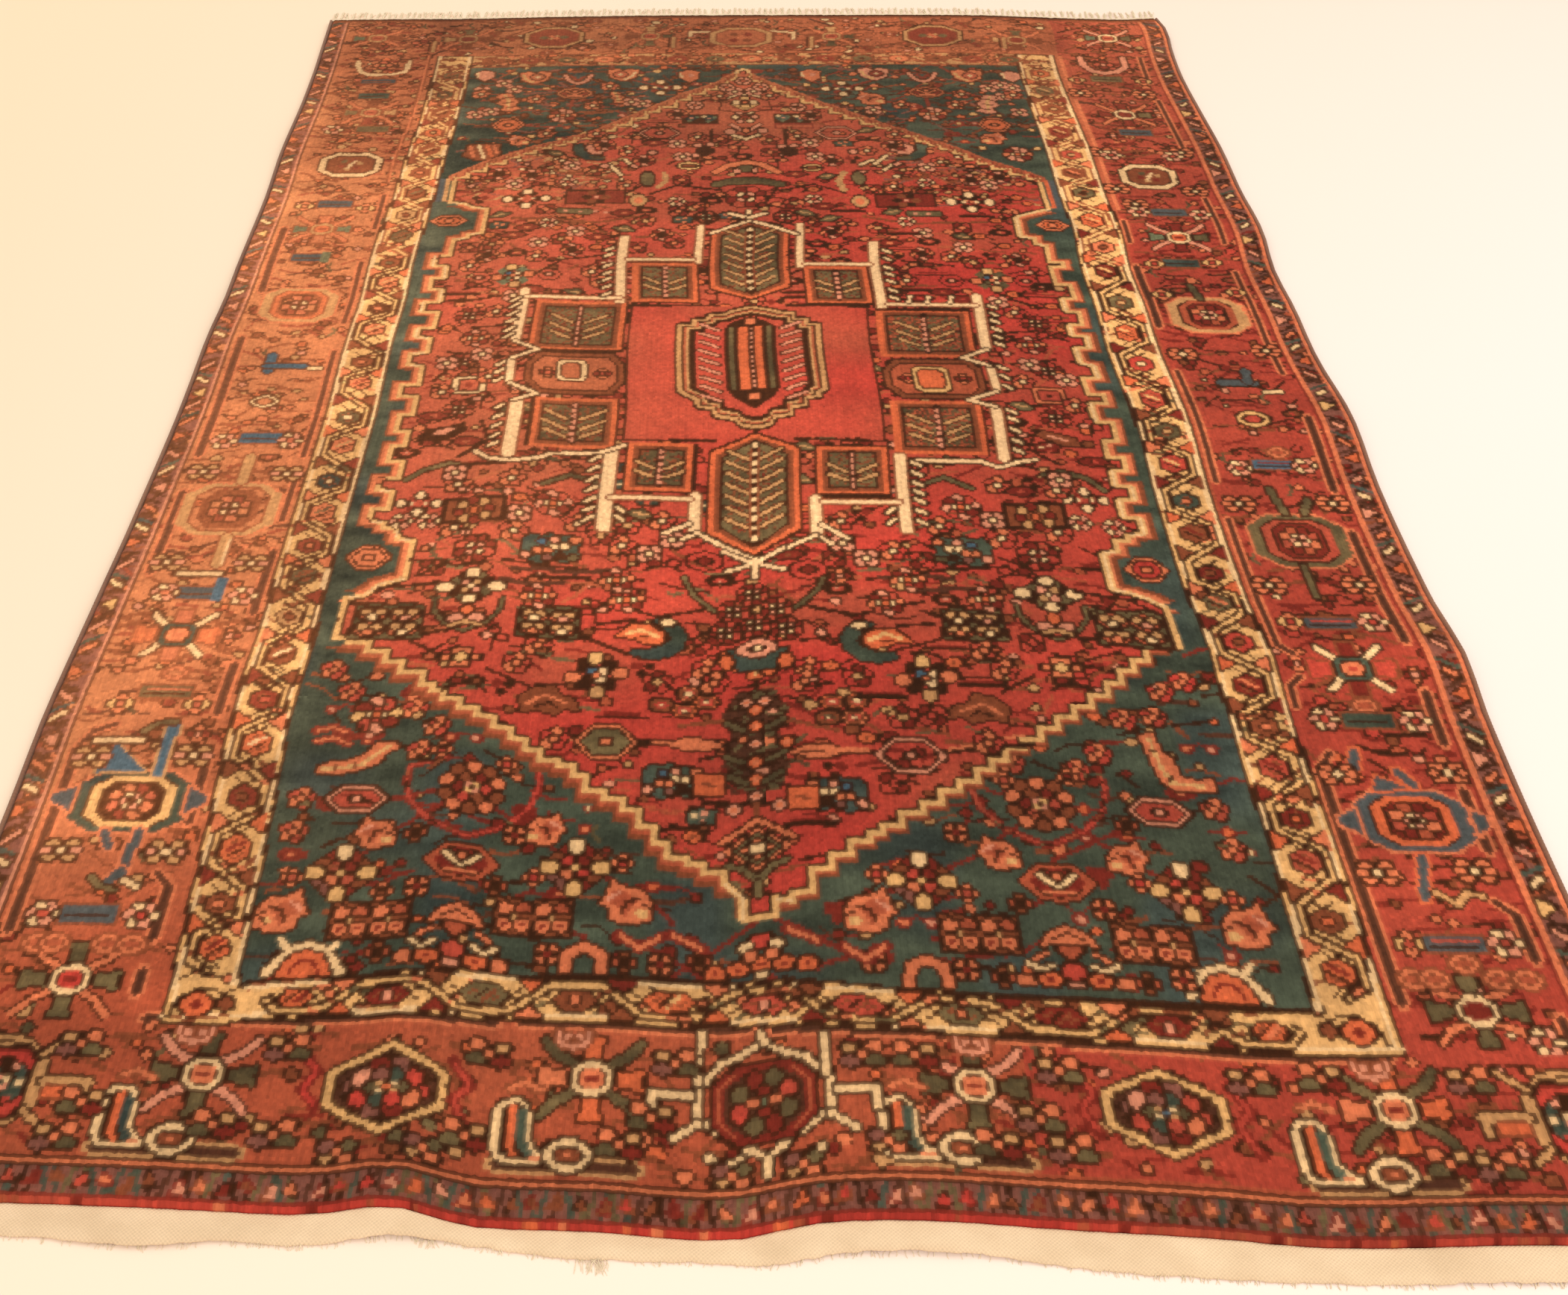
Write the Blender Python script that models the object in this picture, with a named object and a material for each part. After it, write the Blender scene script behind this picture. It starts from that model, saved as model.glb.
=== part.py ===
"""A hand-knotted wool village rug, lying flat on a floor.

The rug is the five things its maker made one after the other: the knotted pile
cloth, a cord of wool overcast along each side, the plain woven web that closes
the near end, and the web with its row of warp tufts at the far end.

Units are metres, +Z is up, and the floor is Z = 0. The rug's length runs along
Y, with the web end at -Y and the fringe at +Y. The origin is on the floor under
the middle of the rug. Distances "across" and "along" are measured on the plain
rectangle that the weaver meant, from its near left corner; the real rug bulges
and draws in around that rectangle by the few millimetres in the edge tables.
"""

import math
from typing import NamedTuple

import bmesh
import bpy

MM = 0.001

# The rectangle that the weaver meant, and where its middle is.
RUG_WIDTH = 1.400
RUG_LENGTH = 2.240
ORIGIN_ACROSS = RUG_WIDTH / 2
ORIGIN_ALONG = 1.135

# Every piece bends at the same stations, so that neighbours keep an even seam.
ACROSS_STEP = 0.028
ALONG_STEP = 0.040

# Pile cloth: foundation and cut pile together, with soft shoulders at its edges.
PILE_THICKNESS = 0.0085
PILE_SHOULDER = 0.004
PILE_SHOULDER_DROP = 0.0028

# Side cords: wool wrapped over the outermost warps.
CORD_WIDTH = 0.0055
CORD_HEIGHT = 0.0076
CORD_SIDES = 8

# Web end at the near side: a plain woven strip, turned under once.
WEB_END_THICKNESS = 0.0042
WEB_END_LIP_THICKNESS = 0.0016
WEB_END_LIP_SHARE = 0.16
WEB_END_LIFT_LOST = 0.4

# Far end: a narrow web, and warp ends knotted off into short tufts.
FAR_WEB_WIDTH = 0.018
FAR_WEB_THICKNESS = 0.0024
TUFT_COUNT = 138
TUFT_LENGTH = 0.027
TUFT_WIDTH = 0.0050
TUFT_MID_WIDTH = 0.0046
TUFT_TIP_WIDTH = 0.0026
TUFT_TIP_THICKNESS = 0.0014
TUFT_BEND_SHARE = 0.55
TUFT_BEND_DRIFT = 0.35
TUFT_LEAN = 0.0022
TUFT_UNEVEN = 0.17

# Clearance between pieces that touch on the real rug.
SEAM_GAP = 0.0003

# Colours of the yarns, as linear red, green and blue, and how matt they are.
MADDER_WOOL = (0.32, 0.05, 0.03)
BROWN_WOOL = (0.09, 0.03, 0.02)
CREAM_COTTON = (0.78, 0.62, 0.42)
WARP_COTTON = (0.80, 0.68, 0.50)
WOOL_ROUGHNESS = 0.88
COTTON_ROUGHNESS = 0.92

# A share of a step that counts as being on a station.
ON_STATION = 1e-6
# Faces closer to one plane than this angle are joined.
FLAT_ANGLE = math.radians(0.002)


class EdgePoint(NamedTuple):
    """One point of an edge, in millimetres: how far along it, and how far off straight."""

    at: float
    off: float


class Ripple(NamedTuple):
    """A low swell where the rug doesn't lie tight to the floor, in millimetres."""

    side: str
    at: float
    half_span: float
    reach: float
    lift: float


# Offsets are towards +X for the two sides and towards +Y for the two ends.
LEFT_EDGE = (
    EdgePoint(0, -1), EdgePoint(400, -1), EdgePoint(540, -3), EdgePoint(680, 2),
    EdgePoint(860, 5), EdgePoint(1040, 7), EdgePoint(1210, 5), EdgePoint(1310, 8),
    EdgePoint(1420, 5), EdgePoint(1600, 5), EdgePoint(1720, 1), EdgePoint(1850, 2),
    EdgePoint(2020, 0), EdgePoint(2130, -4), EdgePoint(2240, -8),
)
RIGHT_EDGE = (
    EdgePoint(0, -2), EdgePoint(400, -2), EdgePoint(560, 2), EdgePoint(640, 6),
    EdgePoint(720, 1), EdgePoint(900, 0), EdgePoint(1050, 6), EdgePoint(1200, -1),
    EdgePoint(1300, 0), EdgePoint(1400, -3), EdgePoint(1500, 4), EdgePoint(1620, 2),
    EdgePoint(1750, 3), EdgePoint(1880, -2), EdgePoint(2000, -6), EdgePoint(2100, -3),
    EdgePoint(2190, 4), EdgePoint(2240, -3),
)
NEAR_EDGE = (
    EdgePoint(0, 6), EdgePoint(115, 8), EdgePoint(240, 4), EdgePoint(345, 3),
    EdgePoint(408, 9), EdgePoint(472, -4), EdgePoint(560, -6), EdgePoint(660, -11),
    EdgePoint(725, 3), EdgePoint(796, 6), EdgePoint(890, 4), EdgePoint(1018, -1),
    EdgePoint(1102, -7), EdgePoint(1280, -2), EdgePoint(1400, -1),
)
FAR_EDGE = (
    EdgePoint(0, -30), EdgePoint(120, -24), EdgePoint(235, -19), EdgePoint(400, -6),
    EdgePoint(570, 4), EdgePoint(820, 12), EdgePoint(1080, 18), EdgePoint(1220, 10),
    EdgePoint(1335, 5), EdgePoint(1400, 14),
)
WEB_END_EDGE = (
    EdgePoint(0, -16), EdgePoint(120, -18), EdgePoint(175, -21), EdgePoint(235, -25),
    EdgePoint(290, -19), EdgePoint(350, -22), EdgePoint(411, -12), EdgePoint(475, -19),
    EdgePoint(545, -27), EdgePoint(640, -28), EdgePoint(697, -29), EdgePoint(745, -19),
    EdgePoint(832, -17), EdgePoint(892, -23), EdgePoint(940, -29), EdgePoint(1035, -33),
    EdgePoint(1119, -35), EdgePoint(1268, -30), EdgePoint(1400, -28),
)
RIPPLES = (
    Ripple("near", 235, 120, 150, 3.0),
    Ripple("near", 415, 60, 110, 4.5),
    Ripple("near", 800, 130, 170, 4.5),
    Ripple("near", 1240, 120, 140, 2.5),
    Ripple("left", 690, 150, 120, 2.5),
    Ripple("left", 1290, 170, 130, 3.5),
    Ripple("left", 1800, 140, 110, 2.5),
    Ripple("right", 640, 110, 130, 4.0),
    Ripple("right", 1060, 120, 120, 3.5),
    Ripple("right", 1520, 130, 120, 3.0),
)


def smooth_offset(table, at):
    """Offset of an edge at a distance along it, on a smooth curve through its table."""
    at_mm = min(max(at / MM, table[0].at), table[-1].at)
    last = len(table) - 1
    index = next(i for i in range(last) if at_mm <= table[i + 1].at)
    here, there = table[index], table[index + 1]

    def slope(i):
        before, after = table[max(i - 1, 0)], table[min(i + 1, last)]
        return (after.off - before.off) / (after.at - before.at)

    span = there.at - here.at
    t = (at_mm - here.at) / span
    value = (
        (2 * t**3 - 3 * t**2 + 1) * here.off
        + (t**3 - 2 * t**2 + t) * span * slope(index)
        + (3 * t**2 - 2 * t**3) * there.off
        + (t**3 - t**2) * span * slope(index + 1)
    )
    return value * MM


def edge_offset(table, at, step):
    """Offset of an edge that runs straight between the stations of its smooth curve."""
    low = math.floor(at / step + ON_STATION) * step
    share = (at - low) / step
    return (1 - share) * smooth_offset(table, low) + share * smooth_offset(table, low + step)


def floor_point(across, along):
    """Place on the floor, from the origin, of a point of the weaver's rectangle."""
    rightness = min(max(across / RUG_WIDTH, 0), 1)
    farness = min(max(along / RUG_LENGTH, 0), 1)
    x = across + (1 - rightness) * edge_offset(LEFT_EDGE, along, ALONG_STEP)
    x += rightness * edge_offset(RIGHT_EDGE, along, ALONG_STEP)
    y = along + (1 - farness) * edge_offset(NEAR_EDGE, across, ACROSS_STEP)
    y += farness * edge_offset(FAR_EDGE, across, ACROSS_STEP)
    return x - ORIGIN_ACROSS, y - ORIGIN_ALONG


def ripple_lift(across, along):
    """Height of the rug's underside above the floor."""
    height = 0.0
    for ripple in RIPPLES:
        inward = {"near": along, "left": across, "right": RUG_WIDTH - across}[ripple.side]
        beside = across if ripple.side == "near" else along
        sideways = abs(beside - ripple.at * MM) / (ripple.half_span * MM)
        inwards = max(inward, 0) / (ripple.reach * MM)
        if sideways < 1 and inwards < 1:
            swell = math.cos(math.pi / 2 * sideways) ** 2 * (1 - inwards**2) ** 2
            height = max(height, ripple.lift * MM * swell)
    return height


def placed(across, along, height):
    """A point of the rug at a height above its own underside."""
    x, y = floor_point(across, along)
    return x, y, ripple_lift(across, along) + height


def stations(start, end, step, shoulder=0.0):
    """Places from start to end: both ends, their shoulders, and the steps between."""
    first = math.floor((start + shoulder) / step + ON_STATION) + 1
    last = math.ceil((end - shoulder) / step - ON_STATION) - 1
    inner = [i * step for i in range(first, last + 1)]
    if shoulder:
        inner = [start + shoulder, *inner, end - shoulder]
    return [start, *inner, end]


def make_object(name, mesh_builder, material):
    """Turn a bmesh into a named object with outward faces and its own material."""
    bmesh.ops.recalc_face_normals(mesh_builder, faces=mesh_builder.faces)
    mesh = bpy.data.meshes.new(name)
    mesh_builder.to_mesh(mesh)
    mesh_builder.free()
    mesh.materials.append(material)
    piece = bpy.data.objects.new(name, mesh)
    bpy.context.scene.collection.objects.link(piece)
    return piece


def make_material(name, colour, roughness):
    """A plain wool or cotton material."""
    material = bpy.data.materials.new(name)
    material.use_nodes = True
    shader = material.node_tree.nodes["Principled BSDF"]
    shader.inputs["Base Color"].default_value = (*colour, 1)
    shader.inputs["Roughness"].default_value = roughness
    shader.inputs["Metallic"].default_value = 0
    return material


def closed_sheet(across_stations, along_stations, top_height, place=placed):
    """A closed sheet over a grid of stations: underside, top and the wall round its rim."""
    builder = bmesh.new()
    under = [[builder.verts.new(place(u, v, 0)) for u in across_stations] for v in along_stations]
    over = [
        [builder.verts.new(place(u, v, top_height(u, v))) for u in across_stations]
        for v in along_stations
    ]
    for layer in (under, over):
        for row, next_row in zip(layer, layer[1:]):
            for i in range(len(row) - 1):
                builder.faces.new((row[i], row[i + 1], next_row[i + 1], next_row[i]))
    rims = [
        (under[0], over[0]),
        (under[-1], over[-1]),
        ([row[0] for row in under], [row[0] for row in over]),
        ([row[-1] for row in under], [row[-1] for row in over]),
    ]
    for low, high in rims:
        for i in range(len(low) - 1):
            builder.faces.new((low[i], low[i + 1], high[i + 1], high[i]))
    return builder


def merge_flat_middle(builder):
    """Join the faces that lie in one plane, where the rug is flat on the floor."""
    bmesh.ops.recalc_face_normals(builder, faces=builder.faces)
    bmesh.ops.dissolve_limit(
        builder, angle_limit=FLAT_ANGLE, verts=builder.verts, edges=builder.edges
    )


def build_pile_cloth():
    """The knotted cloth between the two side cords."""
    side = CORD_WIDTH + SEAM_GAP
    near, far = 0.0, RUG_LENGTH
    left, right = side, RUG_WIDTH - side

    def top(across, along):
        inward = min(across - left, right - across, along - near, far - along)
        nearness = max(1 - inward / PILE_SHOULDER, 0)
        return PILE_THICKNESS - PILE_SHOULDER_DROP * nearness

    builder = closed_sheet(
        stations(left, right, ACROSS_STEP, PILE_SHOULDER),
        stations(near, far, ALONG_STEP, PILE_SHOULDER),
        top,
    )
    merge_flat_middle(builder)
    wool = make_material("knotted_wool", MADDER_WOOL, WOOL_ROUGHNESS)
    return make_object("pile_cloth", builder, wool)


def build_side_cord(name, middle_across):
    """A cord of overcast wool along one side, as a row of rings bridged end to end."""
    builder = bmesh.new()
    rings = []
    for along in stations(0, RUG_LENGTH, ALONG_STEP):
        ring = []
        for side in range(CORD_SIDES):
            angle = 2 * math.pi * (side + 0.5) / CORD_SIDES
            reach = math.cos(math.pi / CORD_SIDES)
            across = middle_across + CORD_WIDTH / 2 * math.cos(angle) / reach
            height = CORD_HEIGHT / 2 * (1 + math.sin(angle) / reach)
            x, y = floor_point(across, along)
            ring.append(builder.verts.new((x, y, ripple_lift(middle_across, along) + height)))
        rings.append(ring)
    for ring, next_ring in zip(rings, rings[1:]):
        for i in range(CORD_SIDES):
            j = (i + 1) % CORD_SIDES
            builder.faces.new((ring[i], ring[j], next_ring[j], next_ring[i]))
    builder.faces.new(rings[0])
    builder.faces.new(rings[-1])
    wool = make_material(f"{name}_wool", BROWN_WOOL, WOOL_ROUGHNESS)
    return make_object(name, builder, wool)


def build_web_end():
    """The near web: from the pile's edge out to its own scalloped hem."""

    def place(across, share, height):
        x, inner_y = floor_point(across, 0)
        inner_y -= SEAM_GAP
        outer_y = edge_offset(WEB_END_EDGE, across, ACROSS_STEP) - ORIGIN_ALONG
        lift = ripple_lift(across, 0) * (1 - WEB_END_LIFT_LOST * share)
        return x, inner_y + (outer_y - inner_y) * share, lift + height

    def top(_across, share):
        return WEB_END_LIP_THICKNESS if share == 1 else WEB_END_THICKNESS

    builder = closed_sheet(
        stations(SEAM_GAP, RUG_WIDTH - SEAM_GAP, ACROSS_STEP),
        [0, 0.5, 1 - WEB_END_LIP_SHARE, 1],
        top,
        place,
    )
    cotton = make_material("web_cotton", CREAM_COTTON, COTTON_ROUGHNESS)
    return make_object("web_end_near", builder, cotton)


def build_fringe():
    """The far web and its tufts, which grow out of the web's outer wall."""
    builder = bmesh.new()
    pitch = RUG_WIDTH / TUFT_COUNT
    middles = [(i + 0.5) * pitch for i in range(TUFT_COUNT)]
    edges = [m + side * TUFT_WIDTH / 2 for m in middles for side in (-1, 1)]
    across_stations = [SEAM_GAP, *edges, RUG_WIDTH - SEAM_GAP]
    inner, outer = RUG_LENGTH + SEAM_GAP, RUG_LENGTH + FAR_WEB_WIDTH

    def row(along, height):
        return [builder.verts.new((*floor_point(u, along), height)) for u in across_stations]

    low_in, low_out = row(inner, 0), row(outer, 0)
    high_out, high_in = row(outer, FAR_WEB_THICKNESS), row(inner, FAR_WEB_THICKNESS)
    for a, b in ((low_in, low_out), (high_out, high_in), (high_in, low_in)):
        for i in range(len(a) - 1):
            builder.faces.new((a[i], a[i + 1], b[i + 1], b[i]))
    for end in (0, -1):
        builder.faces.new((low_in[end], low_out[end], high_out[end], high_in[end]))
    for i in range(0, len(across_stations) - 1, 2):
        builder.faces.new((low_out[i], low_out[i + 1], high_out[i + 1], high_out[i]))

    for index, middle in enumerate(middles):
        column = 1 + 2 * index
        ring = [low_out[column], low_out[column + 1], high_out[column + 1], high_out[column]]
        length = TUFT_LENGTH * (1 + TUFT_UNEVEN * math.sin(2.4 * index) * math.cos(0.7 * index))
        lean = TUFT_LEAN * math.sin(1.7 * index + 2 * math.sin(0.31 * index))
        sections = (
            (TUFT_BEND_SHARE, TUFT_MID_WIDTH, FAR_WEB_THICKNESS, TUFT_BEND_DRIFT * lean),
            (1.0, TUFT_TIP_WIDTH, TUFT_TIP_THICKNESS, lean),
        )
        for share, width, thickness, drift in sections:
            x, y = floor_point(middle, outer)
            y += length * share
            x += drift
            corners = ((-1, 0), (1, 0), (1, 1), (-1, 1))
            section = [
                builder.verts.new((x + side * width / 2, y, up * thickness)) for side, up in corners
            ]
            for i in range(4):
                j = (i + 1) % 4
                builder.faces.new((ring[i], ring[j], section[j], section[i]))
            ring = section
        builder.faces.new(ring)
    cotton = make_material("warp_cotton", WARP_COTTON, COTTON_ROUGHNESS)
    return make_object("fringe_far", builder, cotton)


def main():
    """Clear the scene and make the rug's five pieces."""
    for old in list(bpy.data.objects):
        bpy.data.objects.remove(old, do_unlink=True)
    build_pile_cloth()
    build_side_cord("side_cord_left", CORD_WIDTH / 2)
    build_side_cord("side_cord_right", RUG_WIDTH - CORD_WIDTH / 2)
    build_web_end()
    build_fringe()


main()
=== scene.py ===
"""A hand-knotted wool village rug on a pale floor, dressed for the photograph.

The pile is drawn as a weaver's chart: one number a knot, painted by small
motif functions from tables of chart places. Each knot is then one small face
of the pile cloth, laid over the rug's solid. Units are metres, +Z is up.
"""

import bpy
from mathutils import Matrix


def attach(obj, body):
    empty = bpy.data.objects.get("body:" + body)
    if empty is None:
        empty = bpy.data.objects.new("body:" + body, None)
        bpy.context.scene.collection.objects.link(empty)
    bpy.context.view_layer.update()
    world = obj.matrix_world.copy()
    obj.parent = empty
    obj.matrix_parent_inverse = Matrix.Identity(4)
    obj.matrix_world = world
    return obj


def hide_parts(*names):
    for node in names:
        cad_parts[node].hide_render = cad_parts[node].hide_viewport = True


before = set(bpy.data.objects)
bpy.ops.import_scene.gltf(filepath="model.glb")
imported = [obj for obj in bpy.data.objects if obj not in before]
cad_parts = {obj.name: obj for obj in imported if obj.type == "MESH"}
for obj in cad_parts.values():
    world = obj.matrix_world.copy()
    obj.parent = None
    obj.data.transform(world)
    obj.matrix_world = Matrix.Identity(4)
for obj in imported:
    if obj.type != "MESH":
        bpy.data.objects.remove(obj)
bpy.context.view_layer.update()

import logging
import math
from dataclasses import dataclass, field, replace
from enum import Enum
from typing import Callable, NamedTuple, Union

import bpy
import numpy as np
from mathutils import Matrix, Vector

log = logging.getLogger("rug")

MM = 0.001
ROOT_BODY = "root"
BAKE_MAP = "OFBake"
BAKE_MARGIN = 0.003
KNOT_COLOUR = "knot_colour"

RUG_WIDTH = 1.400
RUG_LENGTH = 2.240
ORIGIN_ACROSS = 0.700
ORIGIN_ALONG = 1.135
ACROSS_STEP = 0.028
ALONG_STEP = 0.040
SEAM_GAP = 0.0003
CORD_MIDDLE = 0.00275

Point = tuple[float, float]
Triple = tuple[float, float, float]
Colour = tuple[float, float, float, float]
Number = Union[float, "Value"]


# ---------------------------------------------------------------- the rug's plan


class EdgePoint(NamedTuple):
    """One point of an edge, in millimetres: how far along it, and how far off straight."""

    at: float
    off: float


class Ripple(NamedTuple):
    """A low swell where the rug doesn't lie tight to the floor, in millimetres."""

    side: str
    at: float
    half_span: float
    reach: float
    lift: float


def edge_table(text: str) -> tuple[EdgePoint, ...]:
    """Edge points written as "at,off at,off"."""
    return tuple(EdgePoint(*place) for place in places(text))


def places(text: str) -> list[Point]:
    """Pairs of numbers, such as chart places, written as "u,v u,v"."""
    return [tuple(float(number) for number in pair.split(",")) for pair in text.split()]


# The rug's edges and the near web's outer edge, along them and off the straight, outwards being
# negative at the left and the near end and positive at the right and the far end.
LEFT_EDGE = edge_table(
    "0,-1 400,-1 540,-3 680,2 860,5 1040,7 1210,5 1310,8 1420,5 1600,5 1720,1 1850,2"
    " 2020,0 2130,-4 2240,-8"
)
RIGHT_EDGE = edge_table(
    "0,-2 400,-2 560,2 640,6 720,1 900,0 1050,6 1200,-1 1300,0 1400,-3 1500,4 1620,2"
    " 1750,3 1880,-2 2000,-6 2100,-3 2190,4 2240,-3"
)
NEAR_EDGE = edge_table(
    "0,6 115,8 240,4 345,3 408,9 472,-4 560,-6 660,-11 725,3 796,6 890,4 1018,-1"
    " 1102,-7 1280,-2 1400,-1"
)
FAR_EDGE = edge_table(
    "0,-30 120,-24 235,-19 400,-6 570,4 820,12 1080,18 1220,10 1335,5 1400,14"
)
WEB_END_EDGE = edge_table(
    "0,-16 120,-18 175,-21 235,-25 290,-19 350,-22 411,-12 475,-19 545,-27 640,-28"
    " 697,-29 745,-19 832,-17 892,-23 940,-29 1035,-33 1119,-35 1268,-30 1400,-28"
)
RIPPLES = (
    Ripple("near", 235, 120, 150, 3.0),
    Ripple("near", 415, 60, 110, 4.5),
    Ripple("near", 800, 130, 170, 4.5),
    Ripple("near", 1240, 120, 140, 2.5),
    Ripple("left", 690, 150, 120, 2.5),
    Ripple("left", 1290, 170, 130, 3.5),
    Ripple("left", 1800, 140, 110, 2.5),
    Ripple("right", 640, 110, 130, 4.0),
    Ripple("right", 1060, 120, 120, 3.5),
    Ripple("right", 1520, 130, 120, 3.0),
)


def smooth_offset(table: tuple[EdgePoint, ...], at: np.ndarray) -> np.ndarray:
    """Offsets of an edge, on a smooth curve through its table.

    Args:
        table: The edge's points, in millimetres.
        at: Distances along the edge, in metres.

    Returns:
        The offsets at those distances, in metres.
    """
    ats = np.array([point.at for point in table])
    offs = np.array([point.off for point in table])
    before = np.maximum(np.arange(len(ats)) - 1, 0)
    after = np.minimum(np.arange(len(ats)) + 1, len(ats) - 1)
    slopes = (offs[after] - offs[before]) / (ats[after] - ats[before])
    at_mm = np.clip(at / MM, ats[0], ats[-1])
    here = np.clip(np.searchsorted(ats, at_mm, side="left") - 1, 0, len(ats) - 2)
    span = ats[here + 1] - ats[here]
    t = (at_mm - ats[here]) / span
    value = (2 * t**3 - 3 * t**2 + 1) * offs[here]
    value += (t**3 - 2 * t**2 + t) * span * slopes[here]
    value += (3 * t**2 - 2 * t**3) * offs[here + 1]
    value += (t**3 - t**2) * span * slopes[here + 1]
    return value * MM


def edge_offset(table: tuple[EdgePoint, ...], at: np.ndarray, step: float) -> np.ndarray:
    """Offsets of an edge that runs straight between the stations of its smooth curve.

    Args:
        table: The edge's points, in millimetres.
        at: Distances along the edge, in metres.
        step: Distance between stations, in metres.

    Returns:
        The offsets at those distances, in metres.
    """
    low = np.floor(at / step + 1e-6) * step
    share = (at - low) / step
    return (1 - share) * smooth_offset(table, low) + share * smooth_offset(table, low + step)


def floor_points(across: np.ndarray, along: np.ndarray) -> tuple[np.ndarray, np.ndarray]:
    """Places on the floor of points of the weaver's rectangle.

    Args:
        across: Distances from the rectangle's left side, in metres.
        along: Distances from its near end, in metres.

    Returns:
        The places' x and y, from the origin.
    """
    rightness = np.clip(across / RUG_WIDTH, 0, 1)
    farness = np.clip(along / RUG_LENGTH, 0, 1)
    x = across + (1 - rightness) * edge_offset(LEFT_EDGE, along, ALONG_STEP)
    x = x + rightness * edge_offset(RIGHT_EDGE, along, ALONG_STEP)
    y = along + (1 - farness) * edge_offset(NEAR_EDGE, across, ACROSS_STEP)
    y = y + farness * edge_offset(FAR_EDGE, across, ACROSS_STEP)
    return x - ORIGIN_ACROSS, y - ORIGIN_ALONG


def ripple_lift(across: np.ndarray, along: np.ndarray) -> np.ndarray:
    """Heights of the rug's underside above the floor.

    Args:
        across: Distances from the rectangle's left side, in metres.
        along: Distances from its near end, in metres.

    Returns:
        The heights, in metres.
    """
    across, along = np.broadcast_arrays(across, along)
    height = np.zeros(across.shape)
    for ripple in RIPPLES:
        inward = {"near": along, "left": across, "right": RUG_WIDTH - across}[ripple.side]
        beside = across if ripple.side == "near" else along
        sideways = np.minimum(abs(beside - ripple.at * MM) / (ripple.half_span * MM), 1)
        inwards = np.clip(inward / (ripple.reach * MM), 0, 1)
        swell = np.cos(math.pi / 2 * sideways) ** 2 * (1 - inwards**2) ** 2
        height = np.maximum(height, ripple.lift * MM * swell)
    return height


# ---------------------------------------------------------------- yarns and motifs


class Yarn(Enum):
    """A dyed yarn: its letter in the charts, its colour out of 255, and how it fades."""

    OUTLINE = ("k", (54, 27, 12), 0.45)
    CRIMSON = ("r", (172, 62, 48), 0.9)
    BRICK = ("b", (160, 74, 49), 1.0)
    MAROON = ("d", (112, 36, 26), 0.6)
    NAVY = ("n", (63, 69, 56), 0.2)
    BLUE = ("u", (66, 88, 102), 0.15)
    SLATE = ("l", (72, 74, 74), 0.15)
    GOLD = ("g", (208, 156, 100), 0.15)
    CREAM = ("c", (220, 178, 130), 0.2)
    IVORY = ("w", (224, 180, 134), 0.1)
    SALMON = ("s", (202, 108, 72), 0.4)
    PINK = ("p", (206, 130, 102), 0.3)
    OLIVE = ("v", (92, 76, 50), 0.3)
    TAN = ("t", (184, 132, 86), 0.2)
    BROWN = ("e", (122, 62, 38), 0.4)
    UMBER = ("h", (76, 42, 28), 0.4)
    PLUM = ("q", (122, 72, 60), 0.3)
    SAGE = ("y", (98, 100, 74), 0.2)
    ORANGE = ("o", (196, 92, 56), 0.5)
    MADDER = ("m", (158, 60, 45), 0.8)

    @property
    def letter(self) -> str:
        """The yarn's letter in the charts."""
        return self.value[0]


YARN_NUMBER = {yarn.letter: number for number, yarn in enumerate(Yarn)}
BARE_ENOUGH = 0.93


class Form(Enum):
    """How a part of a motif is worked."""

    AREA = "filled outline"
    STROKE = "line of even width"
    OVAL = "filled oval"


@dataclass(frozen=True)
class Part:
    """One piece of a motif, in knots from the motif's middle.

    Args:
        form: How the part is worked.
        yarn: Letter of its yarn.
        points: Its corners, its line, or an oval's middle and half sizes.
        width: Width of a stroke.
        edge: Letter of the yarn round it, or nothing.
        edge_width: Width of that edge.
    """

    form: Form
    yarn: str
    points: tuple[Point, ...]
    width: float = 1.5
    edge: str = ""
    edge_width: float = 1.0


Motif = tuple[Part, ...]
DARK_EDGES = "ked"


def area(yarn: str, text: str, edge: str = "k", edge_width: float = 1.0) -> Part:
    """A filled outline."""
    return Part(Form.AREA, yarn, tuple(places(text)), 0.0, edge, edge_width)


def stroke(yarn: str, text: str, width: float = 1.5, edge: str = "", edge_width: float = 1.0) -> Part:
    """A line of even width."""
    return Part(Form.STROKE, yarn, tuple(places(text)), width, edge, edge_width)


def oval(yarn: str, u: float, v: float, ru: float, rv: float, edge: str = "k") -> Part:
    """A filled oval."""
    return Part(Form.OVAL, yarn, ((u, v), (ru, rv)), 0.0, edge)


def polygon(yarn: str, ru: float, rv: float, cut: float, edge: str = "k") -> Part:
    """An eight-sided block about the middle.

    Args:
        yarn: Letter of its yarn.
        ru: Half its width.
        rv: Half its height.
        cut: Share of each half side that the corners take off.
        edge: Letter of the yarn round it.

    Returns:
        The block.
    """
    inner_u = ru * (1 - cut)
    inner_v = rv * (1 - cut)
    corners = (
        (inner_u, -rv), (ru, -inner_v), (ru, inner_v), (inner_u, rv),
        (-inner_u, rv), (-ru, inner_v), (-ru, -inner_v), (-inner_u, -rv),
    )
    return Part(Form.AREA, yarn, corners, 0.0, edge)


def pair(part: Part) -> Motif:
    """A part and its mirror image, the part itself first.

    Args:
        part: A part drawn on one side of the motif's middle.

    Returns:
        Both parts.
    """
    mirrored = tuple((-u, v) for u, v in part.points)
    if part.form is Form.OVAL:
        mirrored = (mirrored[0], part.points[1])
    return part, replace(part, points=mirrored)


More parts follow.
